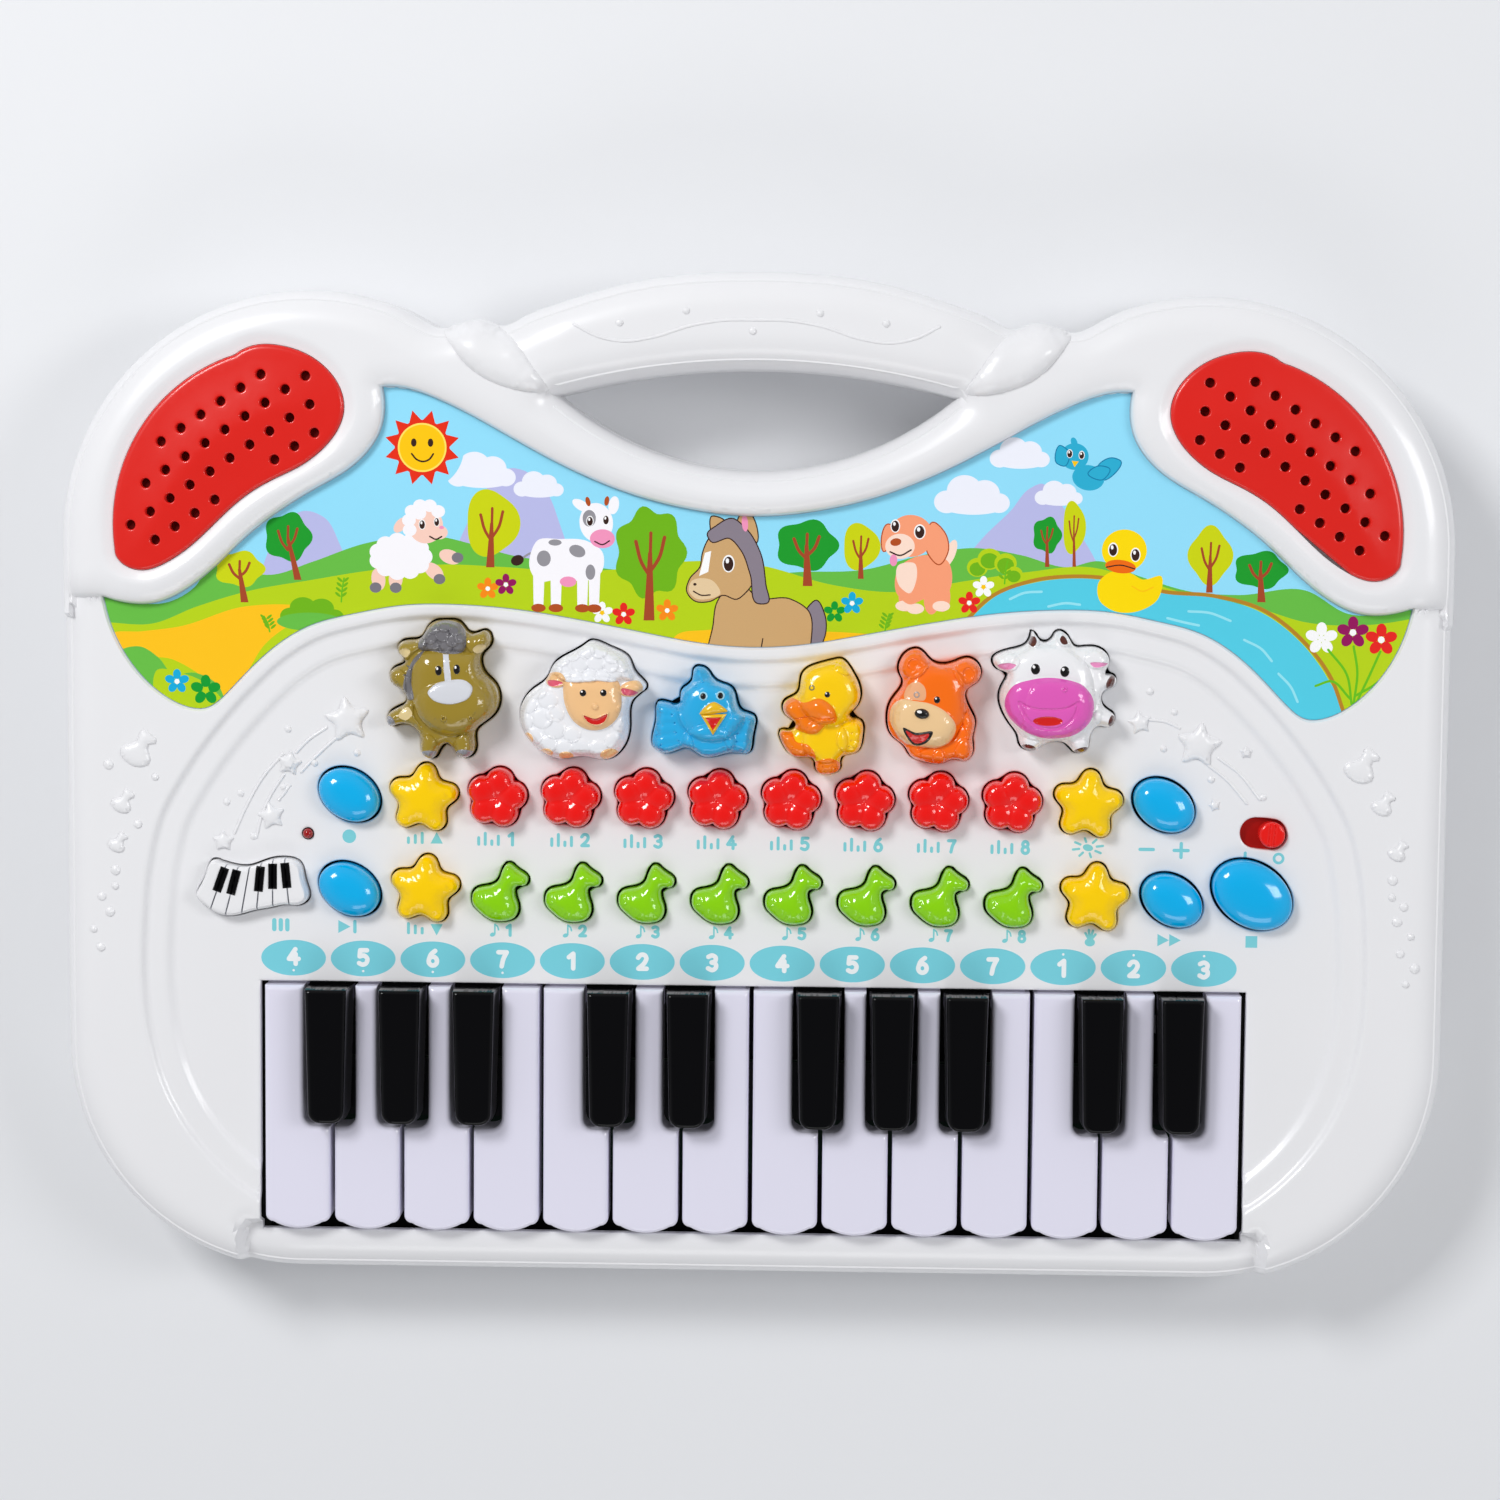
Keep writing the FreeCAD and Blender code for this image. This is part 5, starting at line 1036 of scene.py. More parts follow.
figure("sheep_figure", "sheep_button", sheep_white, [
    form([(-64.8, 14), (-66, 20), (-61, 27.4), (-55, 31), (-40, 31), (-35.8, 24), (-37, 15), (-41, 9.4),
          (-50, 8.2), (-60, 9.4)], 1.4, 5),
] + wool + [
    (oval(-64.2, 12.9, 1.3, 1.7, 30), 0.5, 0.8, sheep_peach),
    (oval(-59.1, 8.7, 1.9, 1.3), 0.5, 0.8, sheep_peach),
    (oval(-53.5, 7.8, 2.1, 1.4), 0.5, 0.8, sheep_peach),
    (oval(-41.1, 8.3, 2.6, 1.8, 10), 0.6, 0.9, sheep_peach),
    form([(-53.7, 29.8), (-54.2, 25.5), (-53.2, 21.1), (-50.9, 17.6), (-47, 15.5), (-43, 15.7),
          (-39.7, 17.8), (-37.7, 21.3), (-37.7, 25.7), (-38.5, 29.2), (-43.1, 30.6), (-49.7, 30.6)], 2.6,
         4.2, sheep_peach),
    form([(-57, 31.5), (-58.3, 33.3), (-56.3, 35.5), (-53.9, 37.3), (-51.2, 39.4), (-47.5, 40.2),
          (-43.1, 39.9), (-39.6, 38.2), (-36.8, 35.7), (-34.9, 32.6), (-34.9, 29.9), (-37.2, 29.9),
          (-40.2, 29.3), (-43.8, 29.6), (-48.9, 29.2), (-53.3, 29.3), (-55.5, 30.1)], 1.8, 2.6,
         sheep_white),
] + fringe + [
    form([(-59.7, 30), (-57.7, 31.7), (-54.8, 31.7), (-53.5, 29.9), (-54.4, 27.9), (-57, 27.5),
          (-59.2, 28.6)], 1.3, 1.5, sheep_peach),
    form([(-58.9, 29.1), (-56.3, 29.6), (-54.3, 28.9), (-56.2, 27.9), (-58.3, 28.1)], -0.4, 0.4,
         sheep_pink),
    form([(-38.3, 27.1), (-35.8, 29.3), (-32.8, 29.4), (-31.6, 27.6), (-32.4, 25.6), (-35, 24.9),
          (-37.8, 25.7)], 1.3, 1.5, sheep_peach),
    form([(-37.7, 27.2), (-35, 27.1), (-32.9, 26.1), (-35, 25.3), (-37.4, 26.1)], -0.4, 0.4, sheep_pink),
    (oval(-44.9, 22.3, 0.95, 1), 0.8, 0.8, sheep_peach),
    form([(-48.6, 20.2), (-44.9, 19.2), (-41, 20.7), (-42.2, 17.8), (-44.8, 16.8), (-47.2, 17.8)], 0.4,
         0.4),
    form([(-48.2, 19.7), (-44.9, 18.9), (-41.4, 20.2), (-42.4, 18), (-44.8, 17.2), (-47, 18)], -0.6, 0.4,
         mouth_red),
] + eye(-48.4, 26.2, 0.95, 1) + eye(-42.6, 26.3, 0.95, 1))

bird_blue = paint("bird_blue", (40, 172, 228))
beak_yellow = paint("beak_yellow", (236, 188, 24))
eye_ring = paint("eye_ring", (160, 218, 240))
feathers = []
for path in ([(-27.6, 20.4), (-23.2, 20)], [(-27.2, 17.2), (-22.4, 17.6)], [(-27.6, 13.9), (-22, 14.8)],
             [(-26.4, 11.2), (-21.2, 12.4)], [(-1, 18.6), (-4.2, 17.4)], [(-0.6, 15.6), (-4.4, 14.8)],
             [(-0.8, 12.2), (-4.6, 12.4)], [(-3, 9.6), (-6, 11)]):
    feathers.append((ribbon(path, 0.55), -0.6, 0.28, None))
figure("bird_figure", "bird_button", bird_blue, [
    form([(-28, 23.2), (-24, 23), (-20.7, 20.7), (-18.8, 16.3), (-17, 10.5), (-19.5, 8.6), (-26.1, 9.2),
          (-28.3, 11.5), (-26.9, 14.1), (-28.2, 17), (-26.8, 19.9)], 0.8, 1.6),
    form([(-5.4, 20.4), (-1.6, 20.2), (-0.4, 17.2), (-0.9, 13), (-2, 9.8), (-6.2, 9.4), (-8, 12.6)], 0.8,
         1.6),
] + feathers + [
    (oval(-12.6, 12.4, 7.6, 5), 1.8, 3.6, None),
    (oval(-11.9, 21.4, 9.7, 9), 3.4, 6, None),
    (ribbon([(-14.6, 30), (-16.2, 33.2)], 1.3), 0.9, 0.6, None),
    (ribbon([(-18.2, 29.4), (-16.6, 28.4)], 0.9), 0.6, 0.4, None),
    (polygon([(-14.9, 20.3), (-7.4, 20.6), (-11.3, 14.6)]), 1, 0.9, beak_yellow),
    form([(-15.2, 20.5), (-13.6, 22.6), (-11.2, 24), (-8.6, 22.7), (-7.2, 21.4), (-9.4, 20.9),
          (-11.9, 20.5)], 1.5, 1.4, beak_yellow),
    (polygon([(-13.5, 19.5), (-8.9, 19.7), (-11.3, 15.9)]), -0.5, 0.4, mouth_red),
    (oval(-14.2, 25.6, 1.25, 1.25), 0.2, 0.3, eye_ring),
    (oval(-9.3, 25.8, 1.25, 1.25), 0.2, 0.3, eye_ring),
] + eye(-14.2, 25.6, 0.8, 0.9, glint=False) + eye(-9.3, 25.8, 0.8, 0.9, glint=False))

duck_yellow = paint("duck_yellow", (255, 206, 0))
duck_orange = paint("duck_orange", (248, 126, 0))
duck_grey = paint("duck_grey", (142, 130, 70))
figure("duck_figure", "duck_button", duck_yellow, [
    form([(7.8, 15.1), (10.8, 15.4), (12.4, 12.6), (15.8, 11.8), (17.9, 8), (14.3, 7.2), (10, 9.7),
          (7.8, 12.5)], 0.6, 1.2, duck_orange),
    (ribbon([(9, 12.6), (11.4, 11)], 0.4), -0.4, 0.2, None),
    (ribbon([(11.2, 10.2), (13.4, 8.8)], 0.4), -0.4, 0.2, None),
    form([(16.6, 5.5), (19, 7.4), (23, 7.8), (25.2, 5.8), (24.4, 3.6), (22.2, 2.4), (19, 3.4)], 0.6, 1,
         duck_orange),
    (ribbon([(20, 5.6), (20.6, 3.6)], 0.4), -0.4, 0.2, None),
    (ribbon([(22.6, 5.8), (22.8, 3.8)], 0.4), -0.4, 0.2, None),
    (oval(20.6, 13, 6.6, 6.6), 1.8, 4.5, None),
    form([(23.9, 12.4), (26.1, 17.9), (29.1, 18.5), (31.1, 16.4), (31.1, 12.8), (29.3, 9.5), (26, 9.6)], 1,
         1.6),
    (ribbon([(30.8, 15.8), (28.2, 15.2)], 0.45), -0.45, 0.22, None),
    (ribbon([(30.8, 13), (28, 13)], 0.45), -0.45, 0.22, None),
    (ribbon([(29.6, 10.6), (27.4, 11.4)], 0.45), -0.45, 0.22, None),
    (oval(21.6, 26.4, 8.9, 8.9), 3.4, 6, None),
    form([(23.2, 34), (24.3, 35.6), (26.4, 35.6), (28.1, 34.1), (27.7, 32.1), (24.9, 32.2)], 0.8, 1),
    (ribbon([(25.4, 35.4), (25.8, 33.4)], 0.4), -0.4, 0.2, None),
    form([(8.7, 23), (10.7, 24.9), (14.3, 24), (18.9, 25.3), (23.4, 21.7), (23.8, 18.8), (20.8, 17.5),
          (18, 15.1), (14, 15.4), (10.6, 17.4), (8.8, 20)], 2.2, 2.8, duck_orange),
    (ribbon([(9.4, 19.6), (12, 19.2), (16.2, 20), (20.2, 19.2), (23, 19.8)], 0.4), -0.35, 0.2, None),
    (oval(16.7, 28.3, 0.85, 0.85), 0.2, 0.3, duck_grey),
    (oval(16.7, 28.3, 0.42, 0.42), 0, 1, duck_yellow),
] + eye(21.1, 26.4, 0.8, 0.85))

dog_orange = paint("dog_orange", (252, 112, 10))
dog_beige = paint("dog_beige", (240, 202, 150))
dog_patch = paint("dog_patch", (240, 176, 130))
dog_grey = paint("dog_grey", (176, 158, 150))
figure("dog_figure", "dog_button", dog_orange, [
    form([(51.9, 12), (56.8, 13.5), (60.3, 17.7), (62.8, 16.1), (62.6, 8.9), (60.1, 7.6), (53.7, 7.3),
          (45.6, 8.9)], 0.8, 1.8),
    form([(59.6, 20.1), (61.2, 21.6), (62.9, 18.5), (63.3, 15.3), (61.6, 13.7), (60.3, 16.9)], 0.8, 1.2),
    (oval(60, 10.6, 2.3, 3.6, -10), 0.9, 1.4, None),
    (oval(53.1, 8.4, 1.8, 2.6), 0.8, 1.1, None),
    (oval(45.9, 9.6, 2.1, 2.5, 10), 0.8, 1.2, None),
    form([(41.9, 32.8), (42.7, 36.2), (45.1, 38.2), (48.1, 37.9), (50.1, 35.7), (48.4, 32.6), (44.4, 31)],
         1.4, 1.8),
    (oval(45.6, 35.2, 1.9, 1.5, 30), -0.6, 1, None),
    form([(56.7, 33.8), (58, 35.6), (61.2, 36.4), (63.6, 35.2), (64.3, 32.2), (63, 29), (60.1, 28.6),
          (57.7, 31.2)], 1.4, 1.8),
    (oval(61.2, 32.6, 1.6, 1.9, 20), -0.6, 1, None),
    form([(42.4, 28), (44.3, 31.6), (48.4, 34.6), (54, 35.5), (58.6, 33), (60.8, 28.2), (60.6, 22.5),
          (59, 16.9), (56, 12.8), (50.3, 11.3), (43.9, 12.3), (40.2, 16.3), (39.9, 21.5)], 3, 6),
    form([(38.9, 19.9), (39.7, 23.1), (42.1, 25.1), (46.1, 24.8), (50.9, 23.9), (55.8, 20.9), (57.8, 17.7),
          (56.5, 13.5), (52.8, 11.4), (47.9, 11.6), (43.1, 12.9), (40, 16.5)], 1.5, 4, dog_beige),
    form([(43.1, 25.3), (43.9, 28.8), (46.4, 30.4), (48.6, 29), (48.7, 25.1), (45.7, 25.1)], 0, 1,
         dog_patch),
    (oval(48, 21.3, 2.1, 1.45, -8), 1.1, 1.1, eye_black),
    (oval(47.3, 21.9, 0.7, 0.4, -8), 0, 1, glint_white),
    form([(42.7, 17.2), (46.2, 15.9), (51.2, 16.1), (49.4, 12.9), (46.3, 12), (43.8, 14.5)], -0.3, 0.3,
         eye_black),
    form([(43.5, 16.4), (46.2, 15.2), (50.2, 15.4), (48.7, 13.3), (46.3, 12.7), (44.5, 14.5)], -0.3, 0.4,
         mouth_red),
    (oval(46.5, 26.6, 0.9, 0.95), 0.2, 0.3, dog_grey),
    (oval(46.5, 26.6, 0.45, 0.5), 0, 1, dog_patch),
] + eye(52.3, 25.2, 0.9, 1))

cow_white = paint("cow_white", (240, 240, 242), rough=0.2, coat=0.6)
cow_pink = paint("cow_pink", (226, 92, 186))
cow_brown = paint("cow_brown", (84, 34, 24))
cow_ear = paint("cow_ear", (240, 150, 200))
figure("cow_figure", "cow_button", cow_white, [
    form([(76.5, 18), (76, 12.6), (80, 11.2), (84, 13.2), (90, 13), (93, 10.8), (95.4, 12.6), (98.6, 18.2),
          (98.6, 27), (92, 30), (80, 30)], 0.6, 1.6),
    (oval(79, 12.6, 2.8, 2, -12), 0.6, 1, None),
    (oval(93.4, 12.2, 2.6, 2, 14), 0.6, 1, None),
    (oval(78.8, 11.6, 2, 0.95, -14), 0.3, 0.6, cow_brown),
    (oval(93.7, 10.9, 2.1, 0.95, 14), 0.3, 0.6, cow_brown),
    (ribbon([(98, 21), (101.6, 19.6)], 2.6), 0.6, 1, None),
    form([(101.3, 18.2), (102.3, 21), (103.5, 20.2), (103.1, 18.3), (102.2, 17.6)], 0.3, 0.5, cow_brown),
    (ribbon([(98.6, 24.6), (100.6, 28), (101.8, 31.6)], 1.2), 0.5, 0.6, None),
    form([(100.4, 29.4), (101.2, 31.6), (102.9, 32.5), (103, 31.3), (102.1, 28.9), (100.7, 28.6)], 0.4, 0.6,
         cow_brown),
    form([(68.3, 36.5), (70.8, 38.8), (74.2, 38.4), (75.8, 36), (73.6, 33.4), (69.4, 33.9)], 0.9, 1.3),
    form([(69.5, 34.9), (71.7, 35.7), (74.6, 35.2), (73, 34), (70.6, 34)], -0.4, 0.4, cow_ear),
    form([(94, 37.4), (96.9, 40), (100.3, 39.4), (101.4, 36.6), (99.6, 34.8), (96, 34.4)], 0.9, 1.3),
    form([(95.7, 35.9), (98.2, 36.2), (100.9, 35.7), (99, 34.9), (96.6, 34.9)], -0.4, 0.4, cow_ear),
    form([(77.3, 41.4), (78.5, 44), (80.3, 44), (81.6, 41.5), (79.6, 39.8)], 0.8, 1, cow_white),
    form([(78.3, 41.2), (79, 43.2), (79.9, 43.3), (80.5, 41.8), (79.4, 40.4)], -0.2, 0.4, cow_brown),
    form([(86.2, 43), (87.5, 44.5), (89, 43.4), (90, 40.8), (87.6, 40.6)], 0.8, 1, cow_white),
    form([(87, 42.7), (87.8, 43.7), (88.6, 43.1), (89.2, 41.3), (87.9, 41.2)], -0.2, 0.4, cow_brown),
    form([(70.7, 27.5), (72.3, 34.1), (76.4, 38.8), (82.8, 40.8), (90.1, 39.3), (95.2, 34.8), (96.9, 28.5),
          (97.1, 23.7), (95.8, 18.3), (90.6, 14.5), (84.2, 13.5), (77.9, 14.4), (73, 18.4), (71, 23.4)],
         2.8, 6),
    form([(71.6, 25.1), (73.6, 29.1), (79, 31.2), (87.8, 31.5), (94.1, 29.3), (96.9, 24.9), (96.4, 20.3),
          (92.8, 16.3), (86.6, 14.4), (80.1, 15.2), (74.6, 18.5), (72, 21.8)], 1.9, 4.4, cow_pink),
    form([(75.3, 25.3), (78.4, 23.9), (84, 23.2), (89.4, 23.9), (92.5, 25.4), (91.9, 21.2), (89, 18),
          (84.9, 16.8), (80.4, 17.6), (76.6, 20.7)], -0.45, 0.5),
    form([(76.2, 24.2), (78.8, 23.2), (84, 22.6), (89, 23.2), (91.7, 24.3), (90.9, 21.2), (88.4, 18.7),
          (84.9, 17.6), (80.9, 18.4), (77.6, 21)], 0.4, 0.7),
    (oval(83.7, 19.6, 4.2, 1.35), -0.3, 0.5, mouth_red),
    (oval(88.2, 28.7, 0.9, 0.85), 0.3, 0.3, None),
    (oval(88.2, 28.7, 0.45, 0.42), -0.4, 0.25, None),
] + eye(80.1, 34.2, 1.3, 1.55) + eye(88.4, 33.6, 1.3, 1.55))

# ------------------------------------------------------------------ piano button
PIANO_BACK = [(-155.5, -24.3), (-151.4, -25.6), (-145.9, -26.1), (-140.9, -24.6), (-134.9, -23.8),
              (-131.8, -24.9)]
PIANO_FRONT = [(-160.2, -34.4), (-154.4, -38.3), (-148.6, -38.6), (-141.6, -36.6), (-135.2, -35.6),
               (-129.6, -35.0)]
piano_loop = cap_loops("piano_button", 1, 38.0, 0.6)[0]
piano_border = Border([piano_loop])
back_line = smooth_path(PIANO_BACK, 0.5, False)
front_line = smooth_path(PIANO_FRONT, 0.5, False)


def along(line, share):
    place = share * (len(line) - 1)
    i = min(int(place), len(line) - 2)
    return line[i] + (line[i + 1] - line[i]) * (place - i)


piano_features = []
for k in range(1, 7):
    a, b = along(back_line, k / 7), along(front_line, k / 7)
    # the grooves between the little keys take finish 1, grey painted shade
    piano_features.append((ribbon([a + (a - b) * 0.03, b + (b - a) * 0.30], 0.42), -0.7, 0.21, 1))
for k in (1, 2, 4, 5, 6):
    a, b = along(back_line, k / 7), along(front_line, k / 7)
    direction = (b - a) / np.hypot(*(b - a))
    side = np.array([-direction[1], direction[0]]) * 1.3
    start, end = a + direction * 0.6, a + direction * 8.0
    piano_features.append((polygon([start - side, end - side, end + side, start + side]), 0.45, 0.2, 2))
# painted shade: grey laid into the grooves between the little keys
piano_groove_shade = plastic("piano_groove_shade", (168, 170, 176), rough=0.4)


def piano_top(points):
    front = np.interp(points[:, 0], front_line[:, 0], front_line[:, 1])
    slope = smoothstep((front + 0.4 - points[:, 1]) / 4.5)
    height = 38.0 + 2.9 * quarter(piano_border.distance(points) / 1.0) - 2.3 * slope
    for (shape, rise, width, _), own in zip(piano_features, piano_borders):
        height = height + rise * quarter(np.maximum(own.signed(points), 0) / width)
    return height


piano_borders = [Border([feature[0]], spacing=0.6) for feature in piano_features]
piano_extra = [rings(piano_loop, (0.06, 0.2, 0.45, 0.8, 1.1), piano_border)]
for (shape, rise, width, _), own in zip(piano_features, piano_borders):
    piano_extra.append(rings(shape, (0.1, -0.12), own))
piano_fill = away_from(hexagonal(piano_loop.min(0), piano_loop.max(0), 0.7),
                       np.vstack(piano_extra + [piano_loop]), 0.35)
place(solid("piano_figure", [piano_white, piano_groove_shade, key_black, shadow_black],
            sheet(piano_loop, piano_top, FLANGE_BOTTOM, inks=[(f[0], f[3]) for f in piano_features],
                  follow=piano_extra, fill=[piano_fill]), *flange("piano_button", 3), sharp=35.0),
      "piano_button", "piano_button")

# ------------------------------------------------------------------ raised decoration on the casing
def relief(loop, height, width, spacing=0.7, relax=3):
    """Low dome on the casing, sunk a little into it."""
    border = Border([loop], spacing=0.6)

    def surface(points):
        return shell_top(points) - 0.06 + height * quarter(border.distance(points) / width)

    inner = rings(loop, [width * share for share in (0.06, 0.3, 0.7)], border)
    fill = away_from(hexagonal(loop.min(0), loop.max(0), spacing), np.vstack([inner, loop]), 0.6 * spacing)
    return sheet(loop, surface, lambda points: shell_top(points) - 0.5, follow=[inner], fill=[fill],
                 relax=relax)


def star_loop(x, y, reach, tilt=0.0):
    corners = []
    for k in range(10):
        a = math.radians(90 + tilt + 36 * k)
        length = reach * (1.0 if k % 2 == 0 else 0.6)
        corners.append((x + length * math.cos(a), y + length * math.sin(a)))
    return blob(corners, 0.35)


def note_loop(x, y, size):
    """Outline of a song button, drawn smaller."""
    pattern = cap_loops("song_button_bank", 8)[3]
    pattern = (pattern - pattern.mean(0)) * size / (pattern[:, 0].max() - pattern[:, 0].min())
    return thinned(pattern + (x, y), 0.3)


raised = [relief(star_loop(*star), 1.6, 2.0) for star in (
    (-117.4, 16.8, 6.8, 8), (-134.3, 4.1, 3.8, -10), (-139.6, -11.3, 4.2, 12), (-153.6, -18.8, 3.3, 0),
    (127.9, 12.0, 6.7, -8), (110.9, 18.4, 3.5, 10), (141.5, 10.1, 2.0, 0), (132.7, -5.2, 1.9, 15))]
raised += [relief(note_loop(*note), 1.2, 1.9) for note in (
    (-177.0, 8.4, 10.6), (-181.8, -7.0, 7.0), (-183.4, -19.0, 6.0),
    (174.8, 7.2, 10.2), (181.0, -3.8, 7.0), (185.5, -17.4, 6.0))]
for x, y in ((-134.7, 14), (-114.7, 7.3), (-127, 4.2), (-136, -2.9), (-148.5, -4.8), (-152.6, -7.4),
             (-144.9, -17.3), (113.7, 27.4), (120.7, 21.5), (117.8, 11), (131.6, 2.2), (146.6, -2.8)):
    raised.append(relief(ellipse(x, y, 1.05, 1.05, count=18), 0.7, 1.0, 0.5))
for k, (x, y) in enumerate(((-186.3, 3.4), (-172.8, -0.1), (-177.9, -13.8), (-184.5, -27.3),
                            (-184.6, -31.9), (-188.5, -35), (-186.2, -39.4), (-191, -44.6), (-188.9, -49.8),
                            (183.8, -26), (183.7, -31), (187.1, -33.7), (185.3, -38), (189.3, -42.3),
                            (186.4, -47.2), (190.7, -51.5), (188.2, -56.1))):
    radius = (1.5, 1.1, 1.3)[k % 3]
    raised.append(relief(ellipse(x, y, radius, radius, count=20), 0.8, radius, 0.5))
for path in ([(-123.5, 14.6), (-129.2, 10.6), (-132.4, 7.2)],
             [(-135.9, 0.8), (-139.2, -4.2), (-142.4, -11.0), (-144.0, -17.6)],
             [(-121.0, 11.4), (-126.0, 6.8), (-131.0, 1.6)], [(-134.2, -2.4), (-137.4, -6.6)],
             [(-136.2, 6.8), (-141.6, 0.6), (-146.4, -7.6), (-150.4, -16.4)],
             [(113.8, 19.2), (118.0, 18.8), (122.2, 17.0)], [(130.6, 6.4), (136.2, 2.0), (141.9, -4.6)],
             [(133.6, 8.4), (139.6, 4.0), (145.6, -3.4)]):
    raised.append(relief(ribbon(path, 0.9), 0.6, 0.45, 0.5))
for side in (-1, 1):
    bulge = [(-89.3, 128.8), (-82.8, 131.4), (-77, 131.4), (-73.4, 129.7), (-63.2, 118.2), (-59.6, 111.7),
             (-62.5, 111.3), (-69.7, 112.3), (-80.6, 117.3), (-86.4, 123.7)]
    loop = blob(bulge if side < 0 else mirrored(bulge), 0.8)
    raised.append(relief(loop, 2.6, 4.6, 1.0, relax=6))
wave = [(51.7, 130.6), (45.5, 127.4), (38, 125.9), (29.5, 127), (18.5, 130.4), (9.8, 131.9), (0, 132.1)]
raised.append(relief(ribbon(wave + mirrored(wave[:-1])[::-1], 0.9), 0.45, 0.45, 0.5))
for x, y in ((-38.7, 131.1), (-19.9, 134.6), (-1, 129), (18, 134.1), (36.7, 131.3)):
    raised.append(relief(ellipse(x, y, 1.1, 1.1, count=18), 0.7, 1.0, 0.5))
place(solid("raised_decoration", [casing_white], *raised, sharp=75.0), "housing")

# ------------------------------------------------------------------ record lamp and power switch
LAMP = (-129.0, -16.3)
LAMP_RADIUS = 1.5
LAMP_BASE = 36.1
SHADE_RING_TOP, SHADE_RING_BOTTOM = 36.06, 35.7     # painted shade: dark ring round the lamp for the shaded gap of its hole
lamp_border = Border([ellipse(*LAMP, LAMP_RADIUS, LAMP_RADIUS, count=32)])


def lamp_top(points):
    return LAMP_BASE + LAMP_RADIUS * quarter(lamp_border.distance(points) / LAMP_RADIUS)


lamp_loop = lamp_border.loops[0]
lamp_shade_ring = sheet(ellipse(*LAMP, 1.7, 1.7, count=32), flat_top(SHADE_RING_TOP), SHADE_RING_BOTTOM, [lamp_loop])
place(solid("record_lamp", [lamp_red, shadow_black],
            sheet(lamp_loop, lamp_top, 33.0,
                  follow=[rings(lamp_loop, (0.1, 0.3, 0.6, 0.9, 1.2), lamp_border)]),
            refinished(lamp_shade_ring, 1), sharp=60.0), "housing", "record_led")

knob_loop = smooth_loop(cad_loops("power_switch_knob", 37.0)[0], 0.4)
knob_border = Border([knob_loop])
KNOB_TILT = math.radians(-5.0)
KNOB_TOP, KNOB_BOTTOM = 38.2, 32.6


def knob_top(points):
    x, y = (points - knob_loop.mean(0)).T
    across = x * math.cos(KNOB_TILT) + y * math.sin(KNOB_TILT)
    grip = np.zeros(len(points))
    for rib in (-0.75, 0.75):
        grip = grip + 0.45 * np.clip(1 - np.abs(across - rib) / 0.35, 0, 1)
    return KNOB_TOP - 0.7 * (1 - quarter(knob_border.distance(points) / 0.9)) - grip


knob_fill = hexagonal(knob_loop.min(0), knob_loop.max(0), 0.3)
knob_rings = rings(knob_loop, (0.05, 0.2, 0.45, 0.7, 0.95), knob_border)
knob = sheet(knob_loop, knob_top, KNOB_BOTTOM, follow=[knob_rings],
             fill=[away_from(knob_fill, knob_loop, 0.2)])
carrier_loop = smooth_loop(cad_loops("power_switch_knob", 32.4)[0], 0.8)
# the carrier seen through the slot takes the painted shade red
carrier = refinished(sheet(carrier_loop, flat_top(FLANGE_TOP), FLANGE_BOTTOM), 1)
slider = solid("switch_slider", [switch_red, slot_shaded_red], knob, carrier)
place(slider, "power_switch_knob", "power_switch_knob")

# ------------------------------------------------------------------ picture label
LABEL_COLOURS = {"sky": (148, 223, 250), "lilac": (186, 188, 232), "hill": (104, 190, 70),
                 "lime": (184, 212, 24), "sand": (255, 196, 26), "leaf_dark": (28, 156, 44),
                 "leaf_mid": (112, 182, 24), "leaf_lime": (204, 214, 14), "trunk": (166, 72, 40),
                 "cloud": (240, 242, 252), "water": (84, 206, 230), "bank": (184, 132, 40),
                 "ripple": (150, 228, 242), "sun_red": (232, 46, 20), "sun_glow": (255, 228, 100),
                 "sun_yellow": (255, 200, 10), "line": (56, 34, 28), "wool": (250, 248, 252),
                 "skin": (250, 208, 192), "hoof": (124, 120, 128), "pink": (244, 150, 190),
                 "spot": (150, 148, 154), "hide": (206, 166, 114), "hide_light": (230, 202, 160),
                 "mane": (138, 128, 140), "fur": (250, 160, 120), "fur_pale": (255, 224, 206),
                 "duck": (255, 220, 0), "bill": (240, 108, 16), "bluebird": (44, 174, 210),
                 "bluebird_dark": (20, 124, 168), "blossom_orange": (250, 140, 22),
                 "blossom_purple": (150, 20, 92), "blossom_white": (252, 252, 252),
                 "blossom_red": (232, 38, 32), "blossom_blue": (20, 172, 220),
                 "blossom_green": (16, 156, 50), "stem": (104, 192, 30), "brown": (180, 80, 34)}
INK = {name: i for i, name in enumerate(LABEL_COLOURS)}
label_finishes = [printed("label_" + name, colour) for name, colour in LABEL_COLOURS.items()]
art = []


def ink(loop, name):
    art.append((loop, INK[name]))


def spot(x, y, rx, ry, name, tilt=0.0):
    ink(ellipse(x, y, rx, ry, tilt, count=max(12, int(2 * math.pi * max(rx, ry) / 0.6))), name)


def line(path, width, name):
    ink(ribbon(path, width, spacing=0.6), name)


def patch(points, name, edge=None, edge_width=0.35):
    """Smooth area, with a thin darker outline if one is named."""
    loop = blob(points, 0.7)
    if edge:
        ink(polygon(ring(loop, -edge_width)), edge)
    ink(loop, name)


def ground(top, name, bottom=10.0):
    """Everything below a line that runs from left to right."""
    line_points = smooth_path(top, 1.5, False)
    low = [(line_points[-1][0], bottom), (line_points[0][0], bottom)]
    ink(polygon(np.vstack([line_points, low])), name)


def cloud(x, y, size):
    for dx, dy, r in ((-0.62, -0.1, 0.3), (-0.2, 0.16, 0.42), (0.28, 0.1, 0.36), (0.62, -0.12, 0.26)):
        spot(x + dx * size, y + dy * size, r * size, r * size * 0.9, "cloud")
    spot(x, y - 0.16 * size, 0.8 * size, 0.24 * size, "cloud")


